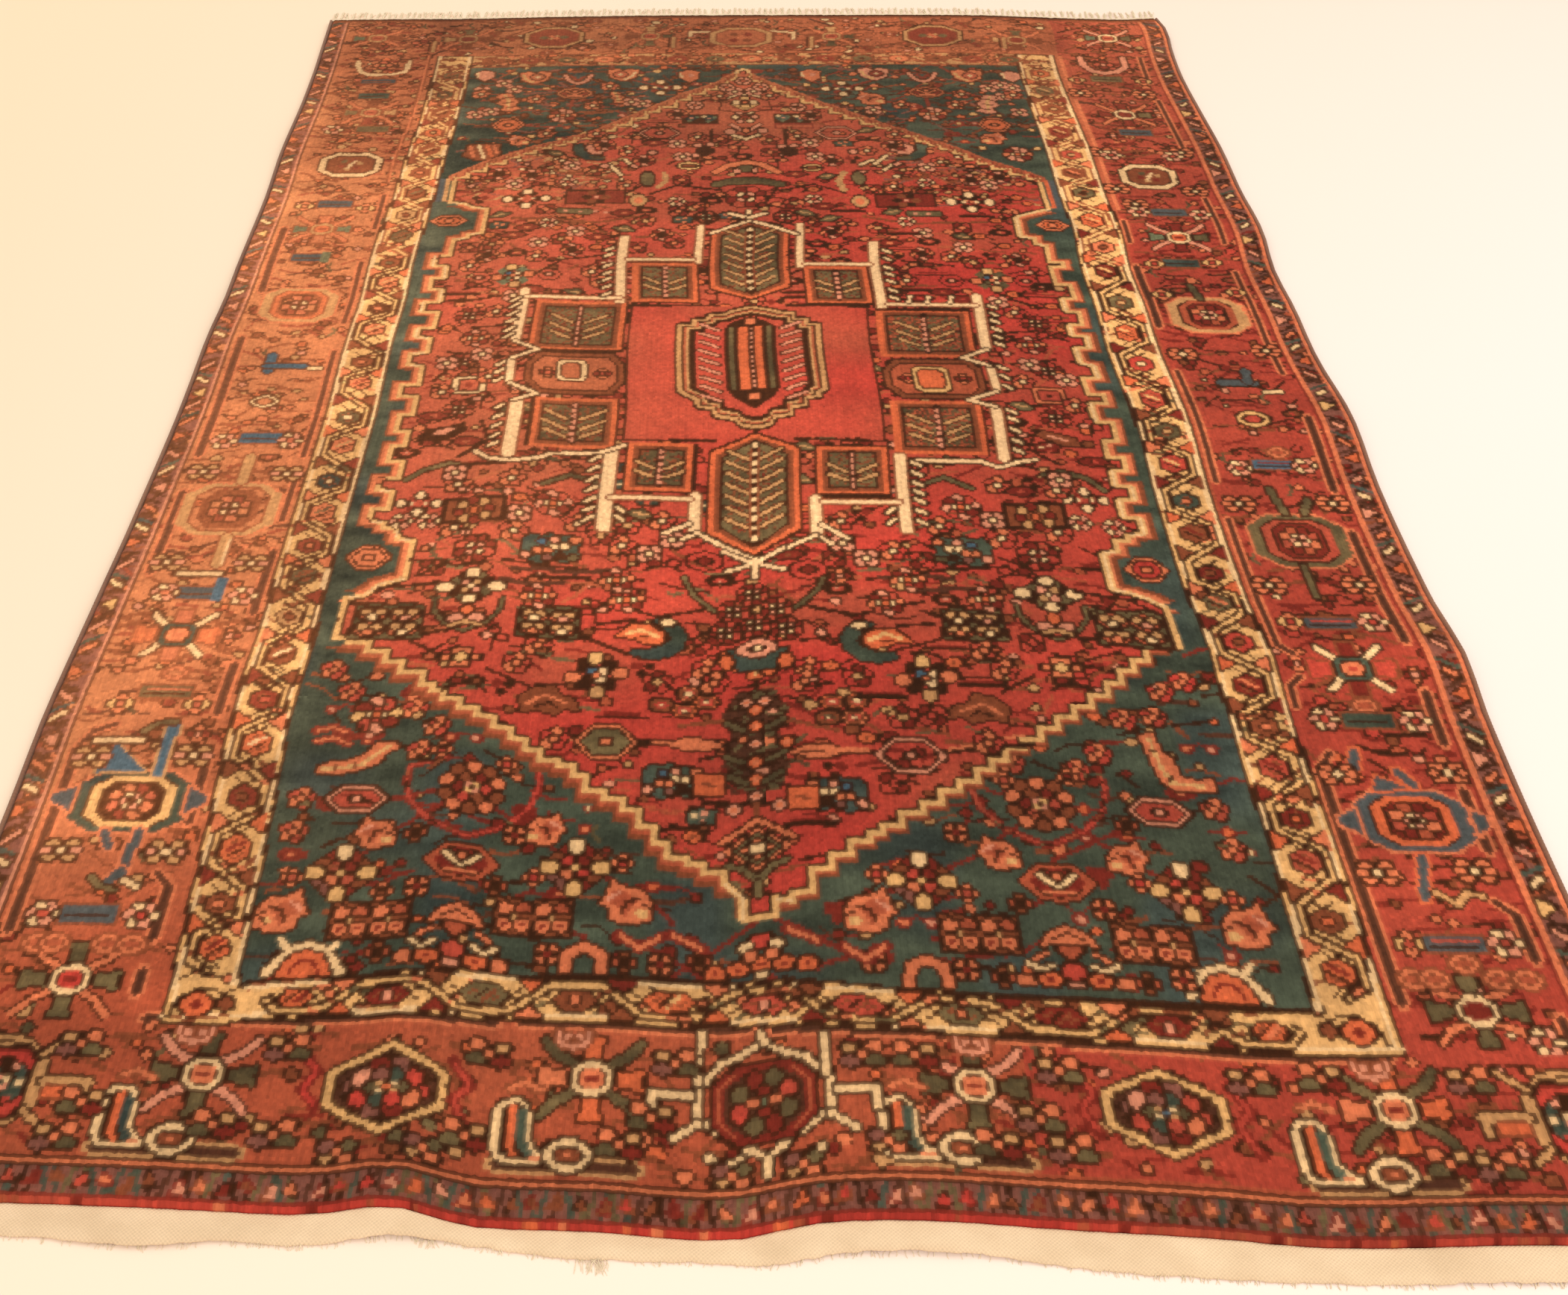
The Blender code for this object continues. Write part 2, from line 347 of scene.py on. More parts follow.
def rosette(
    petals: str, reach: float, size: float, heart: str = "", turn: float = 0.0, edge: str = "k"
) -> Motif:
    """A ring of round petals about a heart.

    Args:
        petals: Letters of the petals' yarns, anticlockwise from the right.
        reach: Distance of the petals' middles from the motif's middle.
        size: Half a petal's size.
        heart: Letter of the heart's yarn, or nothing.
        turn: Degrees that the ring is turned.
        edge: Letter of the yarn round the petals.

    Returns:
        The rosette's parts.
    """
    parts = []
    for number, letter in enumerate(petals):
        angle = math.radians(turn + 360 * number / len(petals))
        parts.append(
            oval(letter, reach * math.cos(angle), reach * math.sin(angle), size, size, edge)
        )
    if heart:
        parts.append(oval(heart, 0, 0, max(size * 0.7, 0.8), max(size * 0.7, 0.8), edge))
    return tuple(parts)


def flower_cross(
    petals: str, rays: str, ring: str, heart: str, reach_u: float, reach_v: float
) -> Motif:
    """A flower of four block petals with four rays between them.

    Args:
        petals: Letters of the right, far, left and near petals' yarns.
        rays: Letter of the rays' yarn.
        ring: Letter of the yarn of the ring round the heart.
        heart: Letter of the heart's yarn.
        reach_u: Distance of the side petals' ends from the middle.
        reach_v: Distance of the far and near petals' ends from the middle.

    Returns:
        The flower's parts.
    """
    u, v = reach_u, reach_v
    right, far, left, near = petals
    ray_u, ray_v = 0.95 * u, 0.9 * v
    width = 2.6 if rays == "v" else 2.0
    return (
        *(
            stroke(rays, f"{4.2 * side},{3.8 * lift} {ray_u * side * 0.72},{ray_v * lift * 0.62}"
                   f" {ray_u * side},{ray_v * lift}", width, "k", 0.8)
            for side in (-1, 1)
            for lift in (-1, 1)
        ),
        area(right, f"7.0,-1.4 {u},-3.2 {u},3 7.0,1.4"),
        area(left, f"-7.0,-1.4 {-u},-3.2 {-u},3 -7.0,1.4"),
        area(far, f"-1.8,6.2 -2.8,{v} 2.8,{v} 1.8,6.2"),
        area(near, f"-1.6,-5.8 -2.8,{-v} 2.8,{-v} 1.6,-5.8"),
        polygon(ring, 5.4, 4.5, 0.55),
        polygon("k", 4.1, 3.2, 0.55, ""),
        polygon(heart, 3.4, 2.6, 0.45, ""),
        stroke("d", "-1.6,0 1.6,0", 1.0),
    )


def star_flower(petals: str, side_petals: str) -> Motif:
    """A dark flower heart with four short petals and four thick cream rays.

    Args:
        petals: Letter of the far and near petals' yarn.
        side_petals: Letter of the side petals' yarn.

    Returns:
        The flower's parts.
    """
    rays = ((-1, 1, 10, 10), (1, 1, 11, 10), (-1, -1, 9, 9.4), (1, -1, 10, 9.6))
    return (
        area(petals, "-2,6 -2.6,12 2.6,12 2,6", "e"),
        area(petals, "-2,-6 -2.6,-12 2.6,-12 2,-6", "e"),
        area(side_petals, "-7.5,-2.6 -14,-4.4 -14,4 -7.5,2.6", "e"),
        area(side_petals, "7.5,-2.6 14,-4.4 14,4 7.5,2.6", "e"),
        *(stroke("c", f"{4.6 * a},{4.4 * b} {u * a},{v * b}", 2.1, "k", 0.8) for a, b, u, v in rays),
        polygon("n", 5.6, 5.4, 0.45),
        polygon("s", 3.0, 3.0, 0.3),
        polygon("r", 1.4, 1.4, 0.2, ""),
    )


def border_bar(yarn: str, stripe: str, half: float = 8.0, high: float = 2.7) -> Motif:
    """A short dark bar with two stripes along it.

    Args:
        yarn: Letter of the bar's yarn.
        stripe: Letter of the lighter stripe's yarn.
        half: Half the bar's width.
        high: Half its height.

    Returns:
        The bar's parts.
    """
    return (
        area(yarn, f"{-half},{-high} {half},{-high} {half},{high} {-half},{high}", "e", 1.2),
        stroke(stripe, f"{-half + 2},1.0 {half - 1},1.0", 0.9),
        stroke("k", f"{-half + 1},-0.6 {half - 2},-0.6", 1.0),
    )


def border_octagon(ring: str, band: str, inside: str, ru: float, rv: float) -> Motif:
    """A wide octagon with a ring and a petalled flower inside.

    Args:
        ring: Letter of the outer ring's yarn.
        band: Letter of the yarn of the ring within it.
        inside: Letter of the ground within that.
        ru: Half the octagon's width.
        rv: Half its height.

    Returns:
        The octagon's parts.
    """
    return (
        polygon(ring, ru, rv, 0.42, "s"),
        polygon("k", ru - 4.0, rv - 1.6, 0.42, ""),
        polygon(band, ru - 4.8, rv - 2.3, 0.42, ""),
        polygon("k", ru - 7.4, rv - 3.6, 0.42, ""),
        polygon(inside, ru - 8.4, rv - 4.4, 0.42, ""),
        *rosette("rdbsrdbs", 5.4, 1.9, "", 22, "k"),
        *rosette("cpcpcp", 2.3, 1.0, "k", 0, "k"),
    )


def hexagon_flower(ring: str, petals: str, heart: str, ru: float, rv: float) -> Motif:
    """A tall hexagon with a ring of its own yarn and a flower in its dark inside.

    Args:
        ring: Letter of the ring's yarn.
        petals: Letters of the outer petals' yarns.
        heart: Letter of the heart's yarn.
        ru: Half the hexagon's width.
        rv: Half its height.

    Returns:
        The hexagon's parts.
    """
    outline = f"0,{rv} {ru},{rv * 0.42} {ru},{-rv * 0.36} 0,{-rv} {-ru},{-rv * 0.36} {-ru},{rv * 0.42}"
    inner_u, inner_v = ru - 3.0, rv - 3.0
    inside = (
        f"0,{inner_v} {inner_u},{inner_v * 0.42} {inner_u},{-inner_v * 0.36} 0,{-inner_v}"
        f" {-inner_u},{-inner_v * 0.36} {-inner_u},{inner_v * 0.42}"
    )
    return (
        area(ring, outline), area("h", inside, "k"),
        oval("q", -9, 1, 2.3, 1.7), oval("r", 9, -1, 2.3, 1.7),
        oval("n", -8, -2, 2.3, 1.7), oval("v", 8, 3, 2.3, 1.7),
        oval("d", 0, 2.6 - inner_v, 2.2, 1.6), oval("q", 0, inner_v - 2.6, 2.2, 1.6),
        *rosette(petals, 6.9, 2.6, "", 22, "k"), *rosette("vnqvnr", 3.8, 1.9, "", 0, "k"),
        stroke("c", "-2.4,-1.4 2.4,1.4", 1.0), stroke("t", "-2.4,1.4 2.4,-1.4", 1.0),
        oval(heart, 0, 0, 1.0, 1.0, ""),
    )


def lozenge_ring(ring: str, inside: str, ru: float, rv: float) -> Motif:
    """A flat six-sided ring with a small oval inside.

    Args:
        ring: Letter of the ring's yarn.
        inside: Letter of the yarn within it.
        ru: Half the ring's width.
        rv: Half its height.

    Returns:
        The ring's parts.
    """
    tip = ru * 0.45
    return (
        area(ring, f"{-ru},0 {-tip},{rv} {tip},{rv} {ru},0 {tip},{-rv} {-tip},{-rv}"),
        area(
            inside,
            f"{-ru + 2.6},0 {-tip + 0.5},{rv - 1.8} {tip - 0.5},{rv - 1.8} {ru - 2.6},0"
            f" {tip - 0.5},{-rv + 1.8} {-tip + 0.5},{-rv + 1.8}",
            "k",
        ),
        oval(ring, 0, 0, 1.6, 1.4),
    )


def boot() -> Motif:
    """A striped upright leaf with a curled toe and a pale curl above it.

    Returns:
        The leaf's parts.
    """
    return (
        area("c", "-5.5,-6 -5.5,5 -3.5,8 1.5,8.6 4,6 4.6,-3 7,-6.4 10,-7.4 10,-9.4 -1.5,-9.6 -4,-8.6"),
        area(
            "k",
            "-4.1,-6 -4.1,4.6 -2.6,6.8 1,7.4 2.9,5.4 3.5,-3.4 6.2,-7.3 8.4,-8.1 -1.2,-8.5 -3.2,-7.4",
            "",
        ),
        stroke("o", "-0.3,6.0 -0.5,-5.6 1.0,-7.4", 1.5), stroke("n", "2.2,4.8 2.2,-3.2 4.6,-6.8", 2.4),
        stroke("s", "4.6,-7.8 8,-8.2", 0.9), stroke("s", "-2,11.6 2,13.2 7,11.2", 1.4, "e", 0.6),
    )


def half_sun(ring: str, inside: str) -> Motif:
    """A dome in a thick pale ring with feet and horns, standing on the guard.

    Args:
        ring: Letter of the ring's yarn.
        inside: Letter of the dome's yarn.

    Returns:
        The dome's parts.
    """
    return (
        stroke(ring, "-10.5,-2.6 -8.2,0.4 -5,5 0,6.6 5,5 8.2,0.4 10.5,-2.6", 2.6, "k"),
        stroke(ring, "-6.2,5.4 -8.4,8.2", 1.8),
        stroke(ring, "6.2,5.4 8.4,8.2", 1.8),
        area(inside, "-7.4,-4 -6.6,0 -4,3.6 0,5 4,3.6 6.6,0 7.4,-4"),
        stroke("d", "-4.4,-2.6 -2.6,0.8 0,1.8 2.6,0.8 4.4,-2.6", 1.1),
    )


def arch(yarn: str, inside: str) -> Motif:
    """A plain arch with a dark doorway.

    Args:
        yarn: Letter of the arch's yarn.
        inside: Letter of the doorway's yarn.

    Returns:
        The arch's parts.
    """
    return (
        area(yarn, "-7,-4 -6,3 0,6 6,3 7,-4"),
        area(inside, "-3,-4 -2.4,0.5 0,2 2.4,0.5 3,-4"),
    )


CURLED_LEAF: Motif = (
    area("s", "-7,-4.5 -7.5,1 -4,5.5 1.5,6.5 4.5,8.5 6,4 8,0.5 5,-1 4.5,-5 0,-6.5"),
    area("b", "-3,2 1,5.4 4.6,5 5.6,1 2,-1 1,-4.4 -1,-1", ""),
    oval("g", -4.4, -2.6, 2.0, 1.5, ""),
    stroke("k", "-3.5,2.8 0.4,1.4 1.8,-2.8", 1.1),
    stroke("p", "2.4,4.6 5.4,2", 1.2),
    stroke("k", "-7.4,-0.4 -4.6,0.4", 1.0),
)

UMBRELLA: Motif = (
    area("s", "-8,-2 -6,2 0,5 6,2 8,-2 4,-1 0,-2.4 -4,-1"),
    stroke("k", "-5,0.2 0,2.4 5,0.2", 1.0),
    area("b", "-4,-2.8 0,-1.8 4,-2.8 0,-7"),
    *pair(stroke("s", "-11,-7 -7,-4.4", 1.2, "k", 0.7)),
)

HEX_PALMETTE: Motif = (
    area("b", "-11,0 -6,5.5 0,6.5 6,5.5 11,0 6,-5.5 0,-7 -6,-5.5"),
    area("d", "-8,0 -4.5,4 0,4.8 4.5,4 8,0 4.5,-4 0,-5 -4.5,-4", "k", 0.6),
    stroke("c", "-5,2.6 -1.6,-0.4 0,-2.0 1.6,-0.4 5,2.6", 1.4, "k"),
    stroke("s", "-4,-3.4 4,-3.4", 1.6),
    oval("s", 0, 2.0, 1.4, 1.1),
)

SPANDREL_FLOWER: Motif = (
    *rosette("edqd", 6.4, 2.1, "", 28, "k"),
    *rosette("deqe", 6.4, 2.1, "", 62, "k"),
    *rosette("gcgg", 7.8, 2.5, "", 0, "k"),
    *rosette("drsr", 3.2, 1.5, "g", 45, "k"),
)

OCTAGON_FLOWER: Motif = (
    *rosette("sesesesese", 8.4, 2.1, "", 18, "k"),
    *rosette("rdedre", 4.4, 1.8, "", 0, "k"),
    *rosette("gpgp", 1.9, 1.1, "k", 45, ""),
)

RED_FLOWER: Motif = (
    *rosette("srpdsrpd", 5.0, 2.1, "", 10, "k"),
    *rosette("crcr", 2.0, 1.2, "o", 0, "k"),
)

DARK_FLOWER: Motif = (
    *rosette("drdrdrdr", 5.2, 2.2, "", 22, "k"),
    *rosette("pcpc", 2.2, 1.2, "d", 45, "k"),
)

WHITE_FLOWER: Motif = (
    *rosette("kkkk", 5.8, 3.0, "", 45, ""),
    *rosette("sgst", 7.4, 2.3, "", 8, "k"),
    *rosette("wukw", 2.6, 1.3, "s", 40, "k"),
)

NAVY_CLUSTER: Motif = (
    area("n", "-9,-5 -9.5,3 -7,6.5 -3,5.5 -1,7 3,5.5 6,6.5 9.5,3 8,0 9.5,-4 5,-6.5 2,-5 -3,-7"),
    *rosette("cpusqk", 4.4, 1.3, "", 15, "k"),
    *rosette("cs", 1.4, 1.2, "", 40, "k"),
    oval("p", -7.6, -3.6, 1.5, 1.3),
    oval("s", 7.4, 4.2, 1.5, 1.3),
    oval("v", 7.2, -4.0, 1.6, 1.3),
)

SMALL_PINK: Motif = rosette("pppp", 2.5, 1.6, "c", 45)
SMALL_RING: Motif = (
    oval("s", 0, 0, 3.9, 2.8, "e"), oval("e", 0, 0, 2.7, 1.7, ""), oval("b", 0, 0, 2.1, 1.2, "")
)
SMALL_GOLD: Motif = rosette("gsgs", 2.4, 1.6, "r", 0)
SMALL_RED: Motif = rosette("rsrsr", 2.6, 1.6, "c", 10)
CREAM_FLOWER: Motif = rosette("cpcpcp", 3.2, 1.7, "r", 0)
HALF_FLOWER: Motif = (
    stroke("c", "-6,1.5 -4.5,-2.4 0,-4 4.5,-2.4 6,1.5", 1.8, "k"),
    *pair(oval("p", -2.6, 0.4, 1.6, 1.6)),
)

SPANDREL_BOX: Motif = (
    area("e", "-11,-6 -11,6 -7,6.6 -2,5 3,6 11,6.4 11,-6 1,-6 0,-4 -1,-6"),
    *(
        part
        for du in (-5.6, 5.6)
        for part in (
            oval("s", du - 2.7, 2.8, 2.1, 1.8),
            oval("b", du + 2.7, 3.2, 2.0, 1.6),
            oval("s", du - 2.7, -2.8, 2.2, 2.0),
            oval("s", du + 2.7, -2.6, 2.2, 2.0),
            oval("d", du - 2.7, -2.8, 0.9, 0.8, ""),
            oval("d", du + 2.7, -2.6, 0.9, 0.8, ""),
            oval("t", du, 0.1, 0.9, 0.8, ""),
        )
    ),
)

FIELD_BOX: Motif = (
    area("v", "-12,-8 -11,7 -6,8.4 0,7.4 6,8.6 11,7 12,-8 4,-8.6 -4,-8", "k", 1.3),
    *(
        part
        for du, dv, heart in ((-5.6, 3.4, "c"), (5.6, 3.2, "p"), (-5.8, -4.0, "s"), (5.6, -3.8, "c"))
        for part in (
            oval("b", du, dv, 4.8, 3.4),
            oval("t", du - 2.3, dv + 1.0, 1.8, 1.4, "k"),
            oval("t", du + 2.3, dv + 1.0, 1.8, 1.4, "k"),
            oval(heart, du, dv - 1.5, 1.6, 1.2, "k"),
        )
    ),
)

SPRAY: Motif = (
    stroke("k", "-5,-2.6 0,0 5,2.6", 1.2),
    oval("t", -3.4, 2.0, 2.0, 1.2, "k"),
    oval("v", 3.4, -1.8, 2.4, 1.5, "k"),
    oval("s", 3.2, 2.4, 2.1, 1.5, "k"),
    oval("q", -3.4, -2.0, 2.3, 1.6, "k"),
    oval("s", 0, 0.2, 1.2, 1.0, "k"),
)

RING_BUD: Motif = (oval("c", 0, 0, 5.8, 4.4), oval("e", 0, 0, 3.0, 2.0), oval("s", 0, 0, 1.4, 1.0, ""))

BORDER_ROSETTE: Motif = (
    stroke("e", "-5.6,-4.6 5.6,4.6", 0.9),
    stroke("e", "-5.6,4.6 5.6,-4.6", 0.9),
    *pair(oval("t", -3.0, 2.4, 2.0, 1.5, "k")),
    *pair(oval("t", -3.0, -2.4, 2.0, 1.5, "k")),
    *pair(oval("p", -4.4, 0, 1.5, 1.2, "k")),
    oval("c", 0, 0, 1.3, 1.2, "k"),
)

CRESCENT: Motif = (
    area("n", "-9,-7 -3,-9.5 4,-8 9,-3 10,3 7,8 1,10.5 -2,9 3,5 5,1 3,-2 -2,-4.5 -8,-5"),
    area("o", "-14,1 -9,6.5 -3,7 1.5,3.5 2,-0.4 -1,-2.6 -5,-1.4 -8,0.2"),
    stroke("g", "-10,2.6 -5,4.4 0,1.4", 1.6),
    stroke("k", "-8,0.8 -3,1.4", 0.9),
    oval("c", 3.4, 8.4, 2.2, 1.5),
)

BELL_LEAF: Motif = (
    area("e", "-9,-5 -10,1 -5,6 1,7 3,3 8,1 10,-4 5,-3 2,-6 -3,-4"),
    stroke("s", "-7,-1.5 -2,3 2,1 6,-1", 1.2),
    stroke("k", "-5,-2.6 0,-0.6 3,-3", 1.0),
)

STEP_DIAMOND: Motif = (
    area("k", "-8,0 -8,2 -4,2 -4,5 4,5 4,2 8,2 8,-2 4,-2 4,-5 -4,-5 -4,-2 -8,-2", ""),
    area("s", "-6.5,0 -6,1 -3,1 -3,3.6 3,3.6 3,1 6.5,1 6.5,-1 3,-1 3,-3.6 -3,-3.6 -3,-1 -6,-1", ""),
    area("g", "-3,0 0,2.4 3,0 0,-2.4"),
)

SHOULDER_PALMETTE: Motif = (
    *rosette("kvkvkvkv", 5.6, 2.4, "", 22, "k"),
    *pair(oval("c", -9, 0.3, 2.8, 2.2)),
    oval("c", 0, 6.8, 2.4, 2.3),
    oval("c", 0, -6.8, 2.2, 2.3),
    *rosette("tptp", 3.0, 1.4, "c", 45, "k"),
)

SHIELD: Motif = (
    stroke("v", "-12,9 -11,2 -7,-4 0,-8 7,-4 11,2 12,9", 1.3, "k", 0.8),
    oval("p", -3.6, -1.6, 2.6, 1.8),
    oval("p", 3.6, -1.4, 2.6, 1.8),
    oval("o", 0, 2.6, 1.8, 2.4),
    stroke("t", "-5,-5 0,-3.4 5,-5", 1.4, "k"),
)

RING_ROSETTE: Motif = (
    oval("p", 0, 0, 3.5, 2.9),
    oval("r", 0, 0, 2.0, 1.6, "e"),
    oval("c", 0, 0, 0.9, 0.8, ""),
)

WHITE_SPECKS: Motif = (
    *rosette("dkdkdk", 5.0, 2.4, "", 0, ""),
    *pair(oval("w", -9, 0, 2.2, 2.6)),
    oval("w", 0, 6.5, 2.1, 2.4),
    oval("w", 0, -6.5, 2.1, 2.4),
    *pair(oval("w", -3, 0, 1.0, 1.0, "")),
)

TULIP: Motif = (
    area("s", "-8,5.5 -3,7 0,5 3,7 8,5.5 7,-3 2,-6.5 -2,-6.5 -7,-3"),
    oval("r", 1.5, 0.5, 3.2, 3.4),
    stroke("g", "-6.5,3.5 -4.6,-2 -1,-5", 1.5),
    oval("c", 1.5, 0.5, 1.1, 1.1, ""),
)

TEARDROP: Motif = (
    area("s", "-5.5,4 0,7.5 5.5,4.5 5,-2 0.5,-7 -4.5,-2"),
    stroke("c", "-4.5,3.6 -3.8,-1.4", 1.3),
    oval("p", 1.2, 1.2, 1.6, 2.0, ""),
)

HORN_V: Motif = (
    stroke("p", "-7,8 -4.5,1 0,-2 4.5,1 7,8", 2.2, "k"),
    stroke("d", "-3,6 0,2 3,6", 2.0),
)

STRIPED_LEAF: Motif = (
    area("e", "-9,-4 -8,7 -2,8.5 8,8 9,-3 4,-8 -3,-8"),
    stroke("s", "-6.5,6 -4,-4", 1.9),
    stroke("c", "-2.5,7 1.5,-6", 1.7),
    stroke("o", "1.6,7 5,-4", 1.9),
    stroke("s", "5.4,6 7.4,-1", 1.6),
)

SERRATED_LEAF: Motif = (
    area("s", "-4,11 2,10 4,4 7,1 5,-3 8,-8 3,-11 -2,-9 -1,-4 -5,-1 -3,3 -6,7"),
    stroke("g", "-1.5,9 1,2 1.6,-8", 1.5),
    stroke("k", "-2.4,5 3,6", 0.9),
    stroke("k", "-2,-1 4,0.4", 0.9),
    stroke("k", "0,-6 6,-5", 0.9),
)

CORNER_LEAF: Motif = (
    area("s", "-8,11 -3,12 -2,4 1,2 2,-5 7,-7 12,-6 12,-11 0,-11 -4,-8 -6,0"),
    stroke("g", "-5,9 -3,-2 -1,-8 8,-9", 1.5),
    stroke("k", "-6,4 -3,5", 0.9),
    stroke("k", "0,-5 -2,-8", 0.9),
)

PANEL_STAR: Motif = (
    stroke("w", "0,0 -10,-3.2", 1.7, "k"),
    stroke("w", "0,0 10.5,-4.4", 1.7, "k"),
    stroke("w", "0,0 10.5,7", 1.5, "k"),
    stroke("w", "0,0 -11,7", 1.5, "k"),
    stroke("w", "0,2 0,-7.5", 1.9, "k"),
    oval("w", 0, 0.4, 2.6, 2.2, ""),
)

HOOKED_LEAF: Motif = (
    area("s", "-13,-5.5 -7,-6 -1,-5 6,-1.5 8,3 12,5 9,7.5 4,6.5 1,2 -4,-0.5 -9,-1 -13,-3"),
    stroke("g", "-11,-4 -5,-3.4 1,-2 5,2.4 8,5.4", 1.5),
    stroke("e", "-8,-4.6 -7,-2.2", 0.9),
    stroke("e", "-2,-4 -1.6,-1.4", 0.9),
)

FAN_SPRAY: Motif = (
    *pair(oval("s", -13.5, -2, 2.6, 1.8)),
    *pair(oval("o", -7, -1.6, 3.2, 2.1)),
    *pair(oval("d", -7, -1.6, 1.2, 0.8, "")),
    *pair(stroke("c", "-12.5,3.6 -9,1.4 -6,3.2", 1.2, "k")),
    oval("p", 0, -2.6, 2.2, 1.4),
    oval("r", 0, 1.2, 3.2, 2.4),
)

SPRIGS: tuple[Motif, ...] = (
    (stroke("k", "-4,-1 0,1 4,-1", 1.1), oval("s", -4, -1, 1.3, 1.1), oval("p", 4, -1, 1.2, 1.1)),
    rosette("dsds", 2.2, 1.3, "p", 0),
    (stroke("e", "-5,0 5,0", 1.2), oval("o", 0, 0, 1.5, 1.2)),
    rosette("ded", 2.0, 1.5, "", 30),
    (stroke("k", "-3,3 0,0 3,3", 1.0), oval("p", 0, -1.2, 1.4, 1.2)),
    (oval("e", 0, 0, 3.0, 1.6), oval("r", 0, 0, 1.2, 0.8, "")),
    (stroke("v", "-3,-3 -1,0 -2,3", 1.3), oval("s", 1.6, 1.6, 1.3, 1.3)),
    (oval("k", 0, 0, 1.8, 1.5, ""), oval("c", 0, 0, 0.8, 0.8, "")),
)

FIELD_SPRIGS: tuple[Motif, ...] = (
    rosette("rdsrd", 3.0, 1.8, "t", 20),
    (
        stroke("k", "-7,-1.5 -3,0.8 3,0.8 7,-1.5", 1.3),
        oval("s", -3.4, 2.8, 1.9, 1.3),
        oval("d", 3.4, 2.6, 1.9, 1.4),
    ),
    (area("d", "-6,0 -2,2.6 3,2.2 6,0 2,-2.4 -3,-2"), oval("s", 0, 0, 1.5, 0.9, "")),
    (stroke("k", "-5,3 -1,0 -5,-3", 1.2), oval("o", 1.5, 0, 2.4, 1.9), oval("e", 1.5, 0, 0.9, 0.7, "")),
    rosette("drdr", 2.8, 1.9, "s", 45),
    (
        stroke("k", "0,-5 0,4", 1.3),
        oval("p", -2.6, 1.6, 1.6, 1.2),
        oval("s", 2.6, 1.0, 1.7, 1.3),
        oval("r", 0, 4.4, 1.6, 1.4),
    ),
    (area("v", "-5,-2 -1,3 5,1.4 1,-2.4"), stroke("t", "-2.6,-0.6 1.8,0.8", 1.0)),
    (stroke("k", "-8,0 8,0", 1.5), stroke("d", "-6,1.6 6,1.6", 1.1)),
    rosette("kdk", 2.4, 1.9, "", 30, ""),
    (oval("e", 0, 0, 3.8, 2.4), oval("r", 0, 0, 2.2, 1.2, "k"), oval("p", 0, 0, 0.8, 0.6, "")),
    (area("n", "-4,-2.6 -4.6,2 0,3.4 4.4,1.6 3.6,-2.4"), *rosette("cps", 1.9, 1.0, "", 10, "")),
)


# ---------------------------------------------------------------- the chart


Block = tuple[slice, slice]


